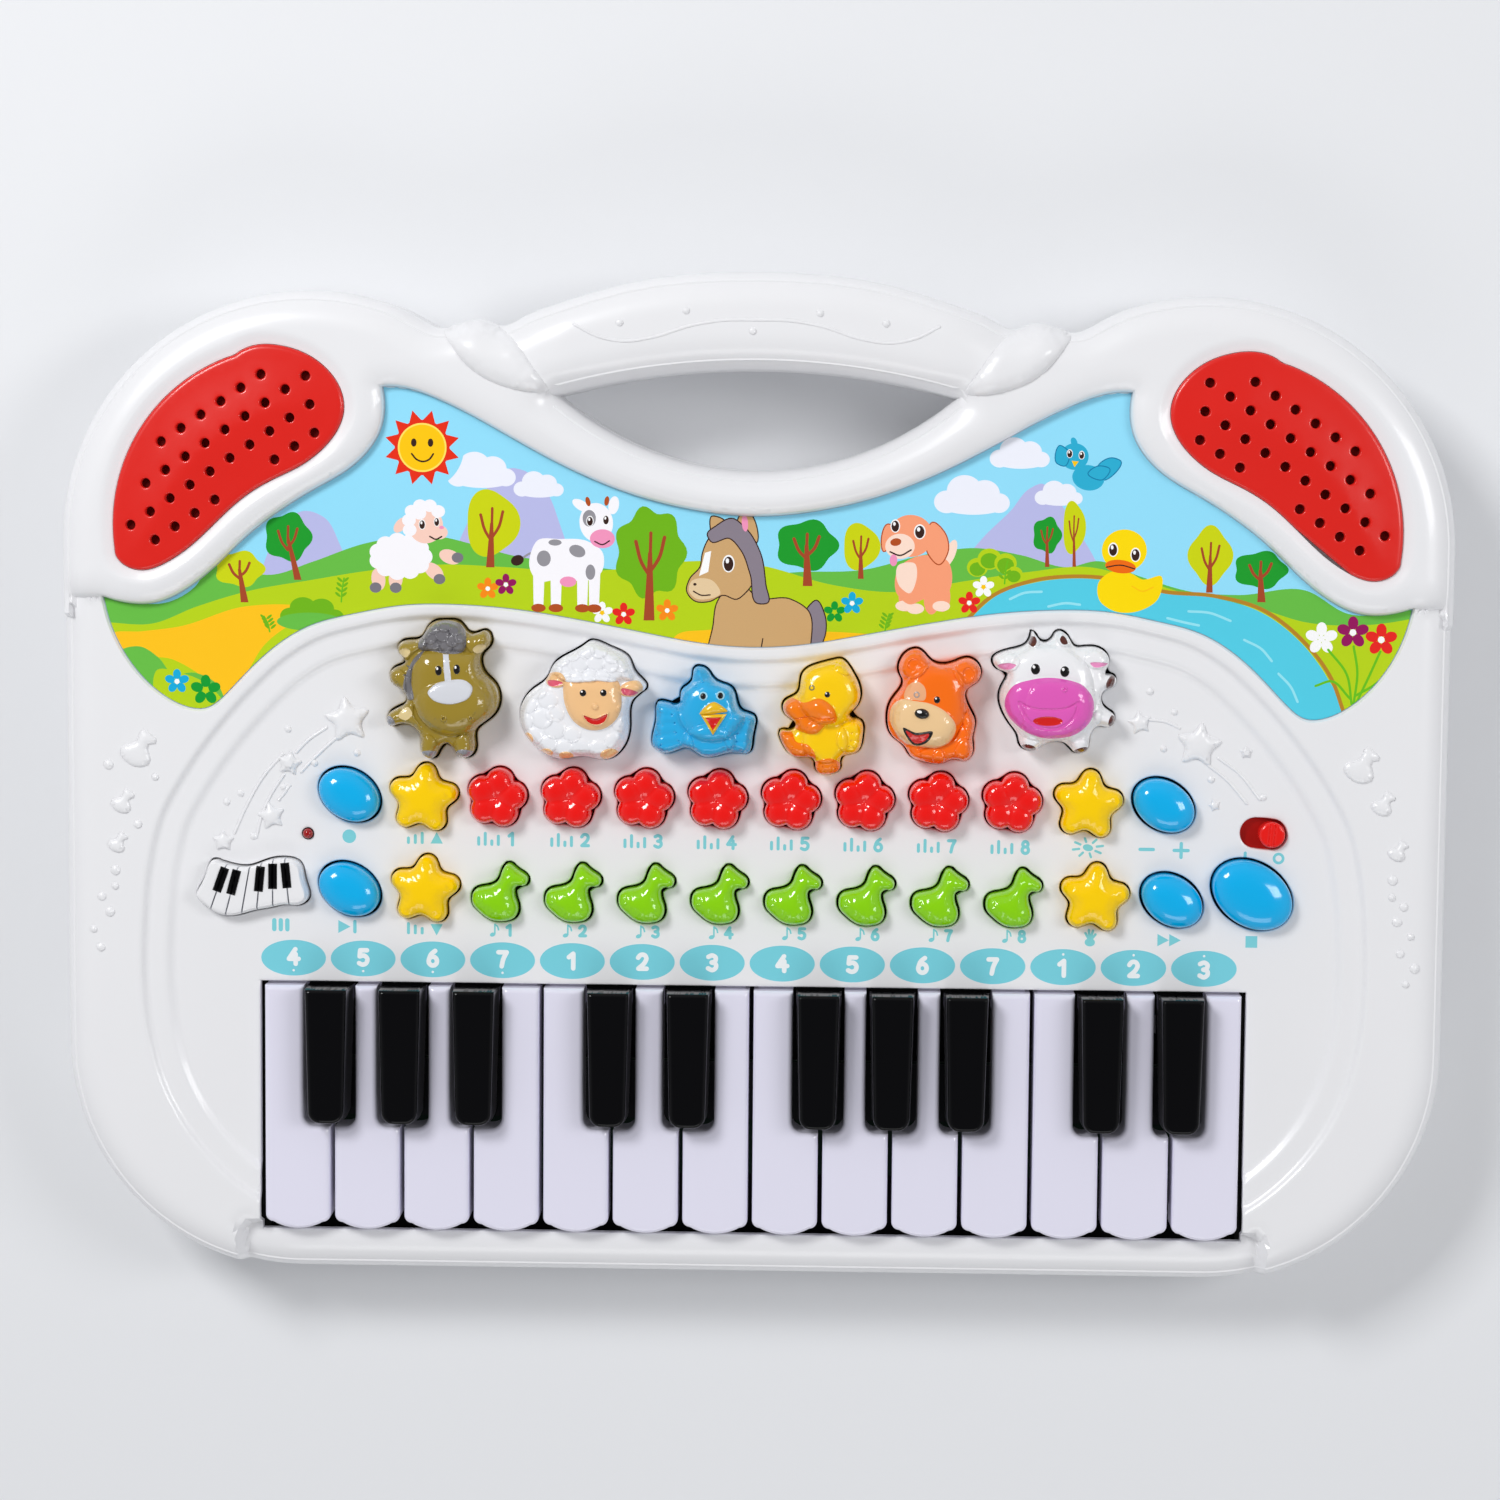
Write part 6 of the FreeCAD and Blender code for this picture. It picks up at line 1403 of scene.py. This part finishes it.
def tree(x, y, rx, ry, root, leaf, lobes=7):
    """Rounded canopy on a forked trunk."""
    angle = np.arange(0, 360, 6)
    wave = 1 + 0.09 * np.cos(np.radians(angle) * lobes)
    loop = np.column_stack([x + rx * wave * np.cos(np.radians(angle)),
                            y + ry * wave * np.sin(np.radians(angle))])
    ink(loop, leaf)
    foot_x, foot_y = root
    ink(polygon([(foot_x - 0.16 * rx, foot_y), (foot_x + 0.16 * rx, foot_y), (x + 0.06 * rx, y),
                 (x - 0.06 * rx, y)]), "trunk")
    fork = y - 0.25 * ry
    line([(x, fork - 0.3 * ry), (x - 0.24 * rx, fork), (x - 0.42 * rx, y + 0.25 * ry)], 0.09 * rx + 0.15,
         "trunk")
    line([(x, fork - 0.2 * ry), (x + 0.26 * rx, fork + 0.12 * ry), (x + 0.42 * rx, y + 0.35 * ry)],
         0.09 * rx + 0.15, "trunk")
    line([(x, fork), (x + 0.02 * rx, y + 0.45 * ry)], 0.08 * rx + 0.15, "trunk")


def flower(x, y, size, name, eye="blossom_white"):
    for k in range(5):
        a = math.radians(90 + 72 * k)
        spot(x + 0.62 * size * math.cos(a), y + 0.62 * size * math.sin(a), 0.44 * size, 0.34 * size, name,
             90 + 72 * k)
    spot(x, y, 0.22 * size, 0.22 * size, eye)


def plant(x, y, size, lean=0.0):
    line([(x, y - size), (x + 0.3 * lean, y), (x + lean, y + size)], 0.45, "stem")
    for k in range(4):
        h = y - 0.5 * size + k * 0.42 * size
        shift = lean * (k / 4 - 0.1)
        spot(x + shift - 0.9, h + 0.4, 1.0, 0.38, "leaf_mid", 140)
        spot(x + shift + 0.9, h + 0.4, 1.0, 0.38, "leaf_mid", 40)


def face_eye(x, y, rx, ry, glint=0.35):
    spot(x, y, rx * 1.25, ry * 1.2, "blossom_white")
    spot(x, y - 0.04 * ry, rx, ry, "line")
    spot(x - 0.25 * rx, y + 0.38 * ry, rx * glint, ry * glint, "blossom_white")


# distant hills and ground
patch([(-142.5, 50), (-139, 67.3), (-133.9, 75), (-129.4, 77), (-123.7, 75.1), (-119.3, 67.5), (-115, 50)],
      "lilac")
patch([(-88, 52), (-80.4, 78.1), (-75.4, 85.8), (-70.3, 89.7), (-66.5, 89.1), (-60.1, 83.4), (-56.3, 74.6),
       (-52, 52)], "lilac")
patch([(57, 60), (65, 71), (73, 79), (78.2, 85.2), (81.6, 86.6), (85.2, 83.2), (91, 75), (99, 60)], "lilac")
ground([(-195, 52), (-188.3, 52), (-180, 50.3), (-168.5, 50.6), (-160.8, 55.3), (-156.9, 61.6),
        (-148, 59.6), (-139.1, 58.6), (-127.6, 62.3), (-111, 68.1), (-90.6, 70), (-80.4, 67.7),
        (-70.2, 64.9), (-56, 62.9), (-40, 61), (-10, 61), (2, 60), (12.7, 60.8), (30.3, 61.5), (49.1, 66.2),
        (62.5, 68.1), (76, 66.2), (89.6, 62.9), (97.6, 64.7), (109.8, 60.5), (124.8, 56.2), (138.3, 55.4),
        (157.1, 56.9), (169.5, 50.3), (187.7, 51.6), (195, 52)], "hill")
ground([(-195, 44.5), (-187.7, 44.5), (-173.7, 44.2), (-160.8, 49.2), (-145.5, 53.9), (-127.6, 57.2),
        (-109.8, 60.2), (-89.4, 62), (-71.5, 61.4), (-52.4, 60.3), (-33.3, 61.8), (-20.5, 63.5),
        (0.9, 62.7), (22.2, 57.2), (39.8, 55.3), (60, 58.6), (78.8, 61.5), (95, 63), (105.8, 60.8),
        (124.8, 55.2), (143.8, 51.7), (157.4, 47.8), (175, 47.2), (195, 50.5)], "lime")
patch([(-185.8, 40.7), (-176.2, 42), (-166, 43.4), (-146.8, 49.4), (-137.9, 50.1), (-127.7, 49.6),
       (-120, 48.6), (-130.4, 45.8), (-141.1, 38.4), (-146.2, 30.5), (-152.4, 22.7), (-157.2, 27.5),
       (-167.4, 33.8), (-182.7, 36.2)], "sand")
patch([(-184.3, 35.2), (-177.3, 37.6), (-171.8, 34.4), (-168, 30), (-161, 30.1), (-154.4, 26.3),
       (-152.7, 19.5), (-162.4, 15.2), (-175.9, 20.2), (-182.2, 28.5)], "hill")
patch([(-172, 31), (-165, 30), (-158, 27), (-153, 21), (-162, 15), (-172, 20)], "lime")
patch([(-24.9, 39), (-22.6, 42.2), (-14, 43.9), (-6, 44.2), (6, 43.8), (20, 43.8), (30, 43.4), (37.9, 42.6),
       (26, 38), (0, 37)], "sand")
for x, y, r in ((-133.6, 46.8, 3), (-130, 49.2, 3.8), (-124.6, 49, 3.6), (-121, 46.6, 2.8)):
    spot(x, y, r, r * 0.8, "leaf_mid")
spot(-128, 45.2, 9.5, 2.6, "hill")

# sky
for shape in ((-78.4, 88.4, 11), (-62, 84.6, 8), (75.4, 94.6, 9.5), (62, 82.4, 12), (86.6, 83.4, 7.6)):
    cloud(*shape)
spot(-95.6, 95.4, 12, 12, "sky")
for k in range(12):
    a, half = math.radians(30 * k + 15), math.radians(15)
    ink(polygon([(-95.6 + 7.6 * math.cos(a - half), 95.4 + 7.6 * math.sin(a - half)),
                 (-95.6 + 10.9 * math.cos(a), 95.4 + 10.9 * math.sin(a)),
                 (-95.6 + 7.6 * math.cos(a + half), 95.4 + 7.6 * math.sin(a + half))]), "sun_red")
for shape in ((-95.6, 95.4, 7.9, 7.9, "sun_red"),
              (-95.6, 95.4, 7, 7, "sun_glow"),
              (-95.6, 95.4, 6.5, 6.5, "sun_yellow"),
              (-98, 96.8, 0.8, 1.2, "line"),
              (-93.2, 96.8, 0.8, 1.2, "line")):
    spot(*shape)
line([(-98.6, 93.6), (-97.2, 92), (-95.4, 91.4), (-93.6, 92), (-92.4, 93.6)], 0.5, "line")

# trees and bushes
for shape in ((-148.3, 60.2, 7, 5, (-146.8, 50.6), "leaf_lime", 5),
              (-134.3, 69.5, 6.6, 6.8, (-131.4, 57.2), "leaf_dark", 5),
              (-75.6, 74, 7.6, 9.4, (-76, 61.3), "leaf_lime", 3),
              (-30.1, 66, 9.8, 12.4, (-30.3, 46.5), "leaf_mid", 7),
              (14.7, 68.5, 8.6, 7, (15.1, 56.8), "leaf_dark", 5),
              (30.2, 68.2, 5.2, 6.6, (30.3, 59), "leaf_lime", 3),
              (83.3, 72, 4, 5, (83.5, 62.9), "leaf_dark", 5),
              (90.9, 74.2, 3.2, 7.4, (91.2, 63), "leaf_lime", 3),
              (129.9, 66.6, 6, 8, (129.8, 56), "leaf_lime", 4),
              (144.2, 62.6, 7.4, 5.2, (144.7, 53.4), "leaf_dark", 5)):
    tree(*shape)
for x, y, r in ((63.6, 62.6, 3), (67, 65, 3.4), (71.6, 63.8, 3.2), (74, 60.6, 2.6)):
    spot(x, y, r, r * 0.9, "lime")
    spot(x, y - 0.5, r * 0.75, r * 0.65, "leaf_mid")

# pond
patch([(60.9, 45.6), (68.8, 54.3), (80.6, 58.5), (92.3, 59.7), (103.1, 58.9), (116.7, 55.8), (131.6, 54.4),
       (144.4, 50.6), (155.9, 42.2), (164, 31.8), (168.6, 21.9), (160.3, 14.8), (150.7, 18.7),
       (142.3, 30.8), (128.5, 41.8), (114.9, 45.7), (97.9, 47.5), (76.3, 46.3)], "water")
line([(60, 46.8), (67.6, 54.2), (78.9, 58.8), (92.3, 60.3), (104.5, 59.3), (116.7, 56.2), (131.6, 55),
      (145.1, 51.2), (156.7, 42.5), (164.8, 32.2), (169, 21.6)], 1.1, "bank")
for path in ([(73, 53.6), (77, 55.4), (82, 55.8)], [(84, 51.6), (89, 52.6), (93, 52.2)],
             [(124, 50.6), (130, 50.2), (136, 48)], [(140, 42.6), (145, 40), (148, 36.6)],
             [(150, 33), (153.6, 29.2), (155.6, 25)], [(118, 48.6), (123, 47.4), (127, 46.6)]):
    line(path, 0.7, "ripple")

# flowers and grasses
for shape in ((-76.7, 55.2, 3, "blossom_orange"),
              (-71.5, 56.4, 3, "blossom_purple"),
              (-43.8, 48.6, 3, "blossom_white", "sun_yellow"),
              (-37.6, 48.2, 3.2, "blossom_red"),
              (-25.1, 49.4, 3.1, "blossom_orange"),
              (-166.5, 27.6, 3.4, "blossom_blue"),
              (-158.2, 25.2, 4.2, "blossom_green", "lime"),
              (22.9, 49.4, 3, "blossom_green", "lime"),
              (27.9, 52, 3.1, "blossom_blue"),
              (61.4, 52.4, 3.1, "blossom_red"),
              (65.4, 57, 3, "blossom_white", "sun_yellow")):
    flower(*shape)
for x, y, name in ((162, 43.2, "blossom_white"), (170.9, 45, "blossom_purple"), (179, 43, "blossom_red")):
    flower(x, y, 4.4, name)
for path in ([(171, 24.5), (169.4, 33), (164, 40)], [(171.6, 24.5), (172.4, 34), (171.2, 41)],
             [(172.4, 25), (176, 33), (178.8, 39.6)], [(170.6, 26), (165, 31), (160.6, 29.6)],
             [(172.2, 27), (178, 30.6), (182.6, 35.6)]):
    line(path, 0.7, "stem")
for shape in ((-118.9, 54.4, 3.4, 0.8), (-139.6, 44.4, 2.2, -1.6), (71.4, 61.2, 3.2, 0.8),
              (37.4, 46.4, 2.6, 1.2)):
    plant(*shape)

# lamb
for x, y, tilt in ((-108.2, 57.6, 8), (-103.2, 57.8, -4), (-92.2, 60, 50), (-87.6, 64.2, 70)):
    spot(x, y, 2, 3.2, "skin", tilt)
for x, y in ((-109, 55.2), (-103.2, 55.2), (-90.6, 57.8), (-85.4, 64)):
    spot(x, y, 1.7, 1.5, "hoof")
for k in range(11):
    a = math.radians(k * 360 / 11)
    spot(-101.8 + 6.6 * math.cos(a), 64.2 + 4.4 * math.sin(a), 2.6, 2.4, "wool")
for shape in ((-101.8, 64.2, 7.6, 5.4, "wool"),
              (-94.6, 73.2, 5, 5.2, "skin"),
              (-90.6, 71.2, 2.4, 2, "skin"),
              (-101.8, 73.2, 2.6, 1.5, "skin", 50)):
    spot(*shape)
for x, y in ((-99.4, 74.6), (-98.6, 77.2), (-96.2, 78.8), (-93.4, 78.8), (-91, 77.2), (-99.2, 71.8),
             (-96.4, 76.6)):
    spot(x, y, 2, 1.8, "wool")
face_eye(-95.6, 73.4, 0.8, 1.25)
face_eye(-91.4, 74.2, 0.7, 1.15)
line([(-93.4, 70), (-91.6, 69.2), (-90, 70)], 0.45, "line")
spot(-90, 72.6, 0.7, 0.5, "pink")

# cow
line([(-61.8, 66.2), (-65, 65.2), (-67, 63.8)], 0.6, "spot")
spot(-68.2, 63.4, 1.9, 1.5, "line", 20)
for x in (-62, -57, -49.4, -46):
    ink(polygon([(x - 1.5, 50.4), (x + 1.3, 50.4), (x + 1.7, 62), (x - 1.7, 62)]), "wool")
    spot(x - 0.1, 49.8, 2.1, 1.2, "brown")
patch([(-64.2, 66), (-62.6, 69), (-56, 69.6), (-48, 69), (-43.8, 66), (-44.2, 60), (-48, 57.8), (-56, 58.2),
       (-62.4, 57.6), (-64.6, 61)], "wool")
for shape in ((-53.6, 57.4, 2.4, 1.5, "pink"),
              (-60.6, 64, 2, 2.3, "spot"),
              (-51, 66.2, 2.4, 1.7, "spot", -20),
              (-47.2, 60.2, 1.4, 2.2, "spot"),
              (-57.4, 68.6, 1.9, 0.9, "spot"),
              (-49.8, 79.2, 3, 1.4, "wool", 150),
              (-40.6, 79.4, 1.5, 2.6, "wool", -10),
              (-45.6, 74.4, 4.8, 5.6, "wool", 8),
              (-47.6, 75.6, 1.9, 2.4, "spot"),
              (-48, 80.4, 0.7, 1.4, "brown", 15),
              (-42.6, 80.6, 0.7, 1.4, "brown", -10),
              (-43.8, 69.8, 3.6, 2.7, "pink")):
    spot(*shape)
face_eye(-47.4, 74.8, 0.85, 1.3)
face_eye(-42.8, 75.2, 0.8, 1.25)
line([(-46, 69), (-43.8, 68.1), (-41.8, 69.2)], 0.4, "line")

# horse behind the arch
patch([(15, 50), (17.6, 52.6), (20, 48.4), (19.9, 42), (17, 37.5), (13, 40), (14.2, 46)], "mane", "line")
patch([(-13.6, 34), (-11.8, 45), (-10.6, 52), (-4.6, 58), (0.7, 53.2), (10.1, 52.9), (15.2, 49.7), (16, 40),
       (15, 34)], "hide", "line")
patch([(-8.6, 72.6), (-11.4, 70), (-12.4, 76.4), (-8.6, 74.8)], "hide", "line")
patch([(-2.6, 78.6), (-5.4, 70), (0.2, 69), (-0.2, 75)], "hide", "line")
patch([(-13.2, 70), (-15, 65.7), (-15.6, 62), (-18.6, 58.4), (-19.4, 55.1), (-17.2, 52.4), (-13.3, 52.2),
       (-8.9, 54.1), (-5.2, 53), (-2.6, 55), (0.8, 62), (0, 69), (-4, 73), (-9.4, 73.4)], "hide", "line")
patch([(-18.4, 57.6), (-18.9, 55.1), (-17, 53), (-13.5, 52.8), (-9.9, 54.4), (-12, 58)], "hide_light")
patch([(-11.2, 73.6), (-6.6, 75.8), (-3.2, 73.4), (1.4, 66), (3, 57), (3.6, 52), (1, 51.8), (-1.2, 60),
       (-4, 67), (-7.4, 70.4), (-12.6, 69.4), (-13.6, 71.4)], "mane", "line")
spot(-3, 74.6, 0.9, 2.4, "pink", 5)
face_eye(-7.6, 63, 1.4, 2.1)
ink(polygon([(-14.4, 66), (-12.6, 66.6), (-13.4, 60.6), (-16, 59.4)]), "blossom_white")
line([(-17.6, 55), (-15.4, 53.9), (-12.8, 54)], 0.4, "line")
spot(-17.2, 57, 0.5, 0.4, "line")
line([(1.6, 36.4), (2.4, 41.6)], 0.35, "line")

# puppy
spot(55.8, 66.6, 1.5, 4, "fur_pale", -20)
for x, y in ((43.4, 54), (50.6, 53.2), (53.8, 54)):
    spot(x, y, 2.2, 4.2, "fur")
for x, y in ((42.8, 51.4), (46, 50.6), (53.4, 51.4)):
    spot(x, y, 2.5, 1.5, "fur_pale")
patch([(41, 62), (40.6, 55), (44.4, 51.8), (48.6, 53.4), (54.4, 53.8), (56.4, 58.6), (55, 64.4), (49, 66)],
      "fur")
patch([(41, 63), (41.4, 57), (44.4, 55), (46, 58), (45.6, 63.6)], "fur_pale")
patch([(50.6, 75.2), (54, 72.4), (55, 67), (52.6, 63.4), (49.8, 66), (49, 72)], "fur", "brown")
patch([(38, 74.6), (36.2, 70.4), (36.8, 67), (39.2, 69.6), (40, 73.6)], "fur", "brown")
for shape in ((44.4, 71.4, 6.4, 6, "fur"),
              (41.4, 68.4, 4.2, 3.6, "fur_pale"),
              (40.2, 69.6, 1.6, 1.1, "brown", 10)):
    spot(*shape)
face_eye(47, 72.6, 1.35, 1.8)
face_eye(40, 74.2, 1.1, 1.6)
line([(38.6, 66.8), (41.4, 65.8), (44.6, 67.4)], 0.45, "line")
spot(39.6, 64.4, 1.1, 1.7, "pink")

# duckling on the pond
patch([(98.6, 53.4), (98.2, 58.6), (101.6, 61.6), (107.6, 61.2), (110.6, 59.6), (116, 60.6), (115.2, 54),
       (110, 50.6), (102.4, 50.6)], "duck")
spot(105.4, 67.8, 6.4, 6, "duck")
spot(104.4, 63.2, 4.4, 1.9, "bill", -6)
line([(100.4, 63), (104.4, 63.6), (108.4, 62.6)], 0.35, "line")
face_eye(102.2, 68, 1.15, 1.7)
face_eye(108.6, 66.6, 1.15, 1.7)
line([(107.8, 57.6), (110.8, 56.2), (113.8, 57.4)], 0.4, "sun_yellow")

# small bird in the sky
patch([(99, 88), (103.8, 93.2), (101.4, 94), (97.4, 91.2)], "bluebird", "bluebird_dark", 0.3)
spot(94.8, 88.4, 4.6, 3.6, "bluebird", -10)
spot(90.8, 94.4, 4, 3.8, "bluebird")
patch([(86.6, 97.4), (85.8, 92.6), (88, 91.8), (89, 95.6)], "bluebird", "bluebird_dark", 0.3)
patch([(94.8, 89.6), (98.8, 88), (100.8, 90.8), (97.4, 91.6)], "bluebird", "bluebird_dark", 0.3)
spot(90.6, 98.4, 0.9, 1.5, "bluebird", 20)
face_eye(89.4, 95.2, 0.7, 1.05)
face_eye(92.8, 94.8, 0.7, 1.05)
ink(polygon([(90, 93.2), (92, 93), (90.8, 91.4)]), "sun_yellow")

picture = sheet(label_loop, flat_top(LABEL_TOP), LABEL_BED - 0.05, inks=art)
place(solid("farm_picture", label_finishes, picture), "housing", "scene_label")

# ------------------------------------------------------------------ CAD nodes that stay as they are
steel = plastic("steel", (190, 190, 194), rough=0.3, metallic=1.0)
rubber = plastic("rubber", (44, 44, 46), rough=0.85, bump=0.03, shine=0.2)
board_green = plastic("board_green", (8, 40, 24), rough=0.5, shine=0.2)
silicone = plastic("silicone", (40, 41, 42), rough=0.7, shine=0.2)
cell_green = plastic("cell_green", (30, 110, 60), rough=0.3, coat=0.3)
cone_black = plastic("cone_black", (28, 28, 30), rough=0.7)
NODE_FINISHES = {"key_chassis": shadow_black, "rubber_feet": rubber, "screws": steel,
                 "battery_door_screw": steel, "key_hinge_rod": steel, "battery_contacts": steel,
                 "main_circuit_board": board_green, "contact_pads": silicone, "batteries": cell_green,
                 "speaker_drivers": cone_black}
for node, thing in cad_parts.items():
    if thing.hide_render:
        continue
    finish = NODE_FINISHES.get(node, casing_underside)
    thing.data.materials.clear()
    thing.data.materials.append(finish)

# ------------------------------------------------------------------ floor, light and camera
floor_mesh = bpy.data.meshes.new("floor")
reach = 3.0
floor_mesh.from_pydata([(-reach, -reach, 0), (reach, -reach, 0), (reach, reach, 0), (-reach, reach, 0)], [],
                       [(0, 1, 2, 3)])
floor = bpy.data.objects.new("floor", floor_mesh)
floor_finish, floor_nodes, floor_links, floor_shader = material("floor_pale")
floor_shader.inputs["Base Color"].default_value = (0.80, 0.81, 0.83, 1)
floor_shader.inputs["Roughness"].default_value = 0.7
geometry = floor_nodes.new("ShaderNodeNewGeometry")
clear = floor_nodes.new("ShaderNodeBsdfTransparent")
either = floor_nodes.new("ShaderNodeMixShader")
floor_links.new(geometry.outputs["Backfacing"], either.inputs["Fac"])
floor_links.new(floor_shader.outputs["BSDF"], either.inputs[1])
floor_links.new(clear.outputs["BSDF"], either.inputs[2])
floor_links.new(either.outputs["Shader"], floor_nodes["Material Output"].inputs["Surface"])
floor_mesh.materials.append(floor_finish)
bpy.context.scene.collection.objects.link(floor)
floor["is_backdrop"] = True


def softbox(name, place, target, width, height, power, shadows=True):
    lamp = bpy.data.lights.new(name, "AREA")
    lamp.shape = "RECTANGLE"
    lamp.size, lamp.size_y = width, height
    lamp.energy = power
    lamp.use_shadow = shadows
    holder = bpy.data.objects.new(name, lamp)
    holder.location = place
    holder.rotation_euler = (Vector(target) - Vector(place)).to_track_quat("-Z", "Y").to_euler()
    bpy.context.scene.collection.objects.link(holder)
    holder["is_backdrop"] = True
    return holder


softbox("key_light", (-0.70, 0.75, 1.1), (0, 0, 0.03), 0.42, 0.36, 11.5)
softbox("side_light", (0.9, 0.25, 1.0), (0, 0, 0.03), 0.3, 0.5, 4.0)
softbox("front_light", (0.1, -1.2, 1.0), (0, 0, 0.03), 1.0, 0.4, 3.0)
softbox("under_light", (0.0, 0.0, -1.5), (0, 0, 0), 2.0, 2.0, 8.0, shadows=False)

world = bpy.data.worlds.new("studio")
world.use_nodes = True
sky_nodes, sky_links = world.node_tree.nodes, world.node_tree.links
direction = sky_nodes.new("ShaderNodeTexCoord")
split = sky_nodes.new("ShaderNodeSeparateXYZ")
fade = sky_nodes.new("ShaderNodeMapRange")
fade.inputs["From Min"].default_value = 0.55
fade.inputs["From Max"].default_value = 0.98
fade.inputs["To Min"].default_value = 0.52
fade.inputs["To Max"].default_value = 0.20
sky_links.new(direction.outputs["Generated"], split.inputs["Vector"])
sky_links.new(split.outputs["Z"], fade.inputs["Value"])
sky_nodes["Background"].inputs["Color"].default_value = (0.96, 0.97, 1.0, 1)
sky_links.new(fade.outputs["Result"], sky_nodes["Background"].inputs["Strength"])
scene = bpy.context.scene
scene.world = world
scene.view_settings.view_transform = "Standard"
scene.view_settings.look = "None"

CAMERA_DISTANCE = 1.0
FRAME_WIDTH = 0.4315
camera_data = bpy.data.cameras.new("camera")
camera_data.sensor_width = 36.0
camera_data.lens = 36.0 * CAMERA_DISTANCE / FRAME_WIDTH
camera_data.clip_start = 0.01
camera = bpy.data.objects.new("camera", camera_data)
target = Vector((-0.0010, 0.0095, 0.038))
tilt_back, tilt_right, roll = math.radians(5.0), math.radians(1.5), math.radians(-0.48)
away = Vector((math.sin(tilt_right), math.sin(tilt_back), 1.0)).normalized()
up = Vector((math.sin(roll), math.cos(roll), 0.0))
right = up.cross(away).normalized()
up = away.cross(right)
camera.location = target + away * CAMERA_DISTANCE
rotation = np.column_stack([right, up, away])
camera.rotation_euler = Matrix(rotation.tolist()).to_euler()
scene.collection.objects.link(camera)
scene.camera = camera

low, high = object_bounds()
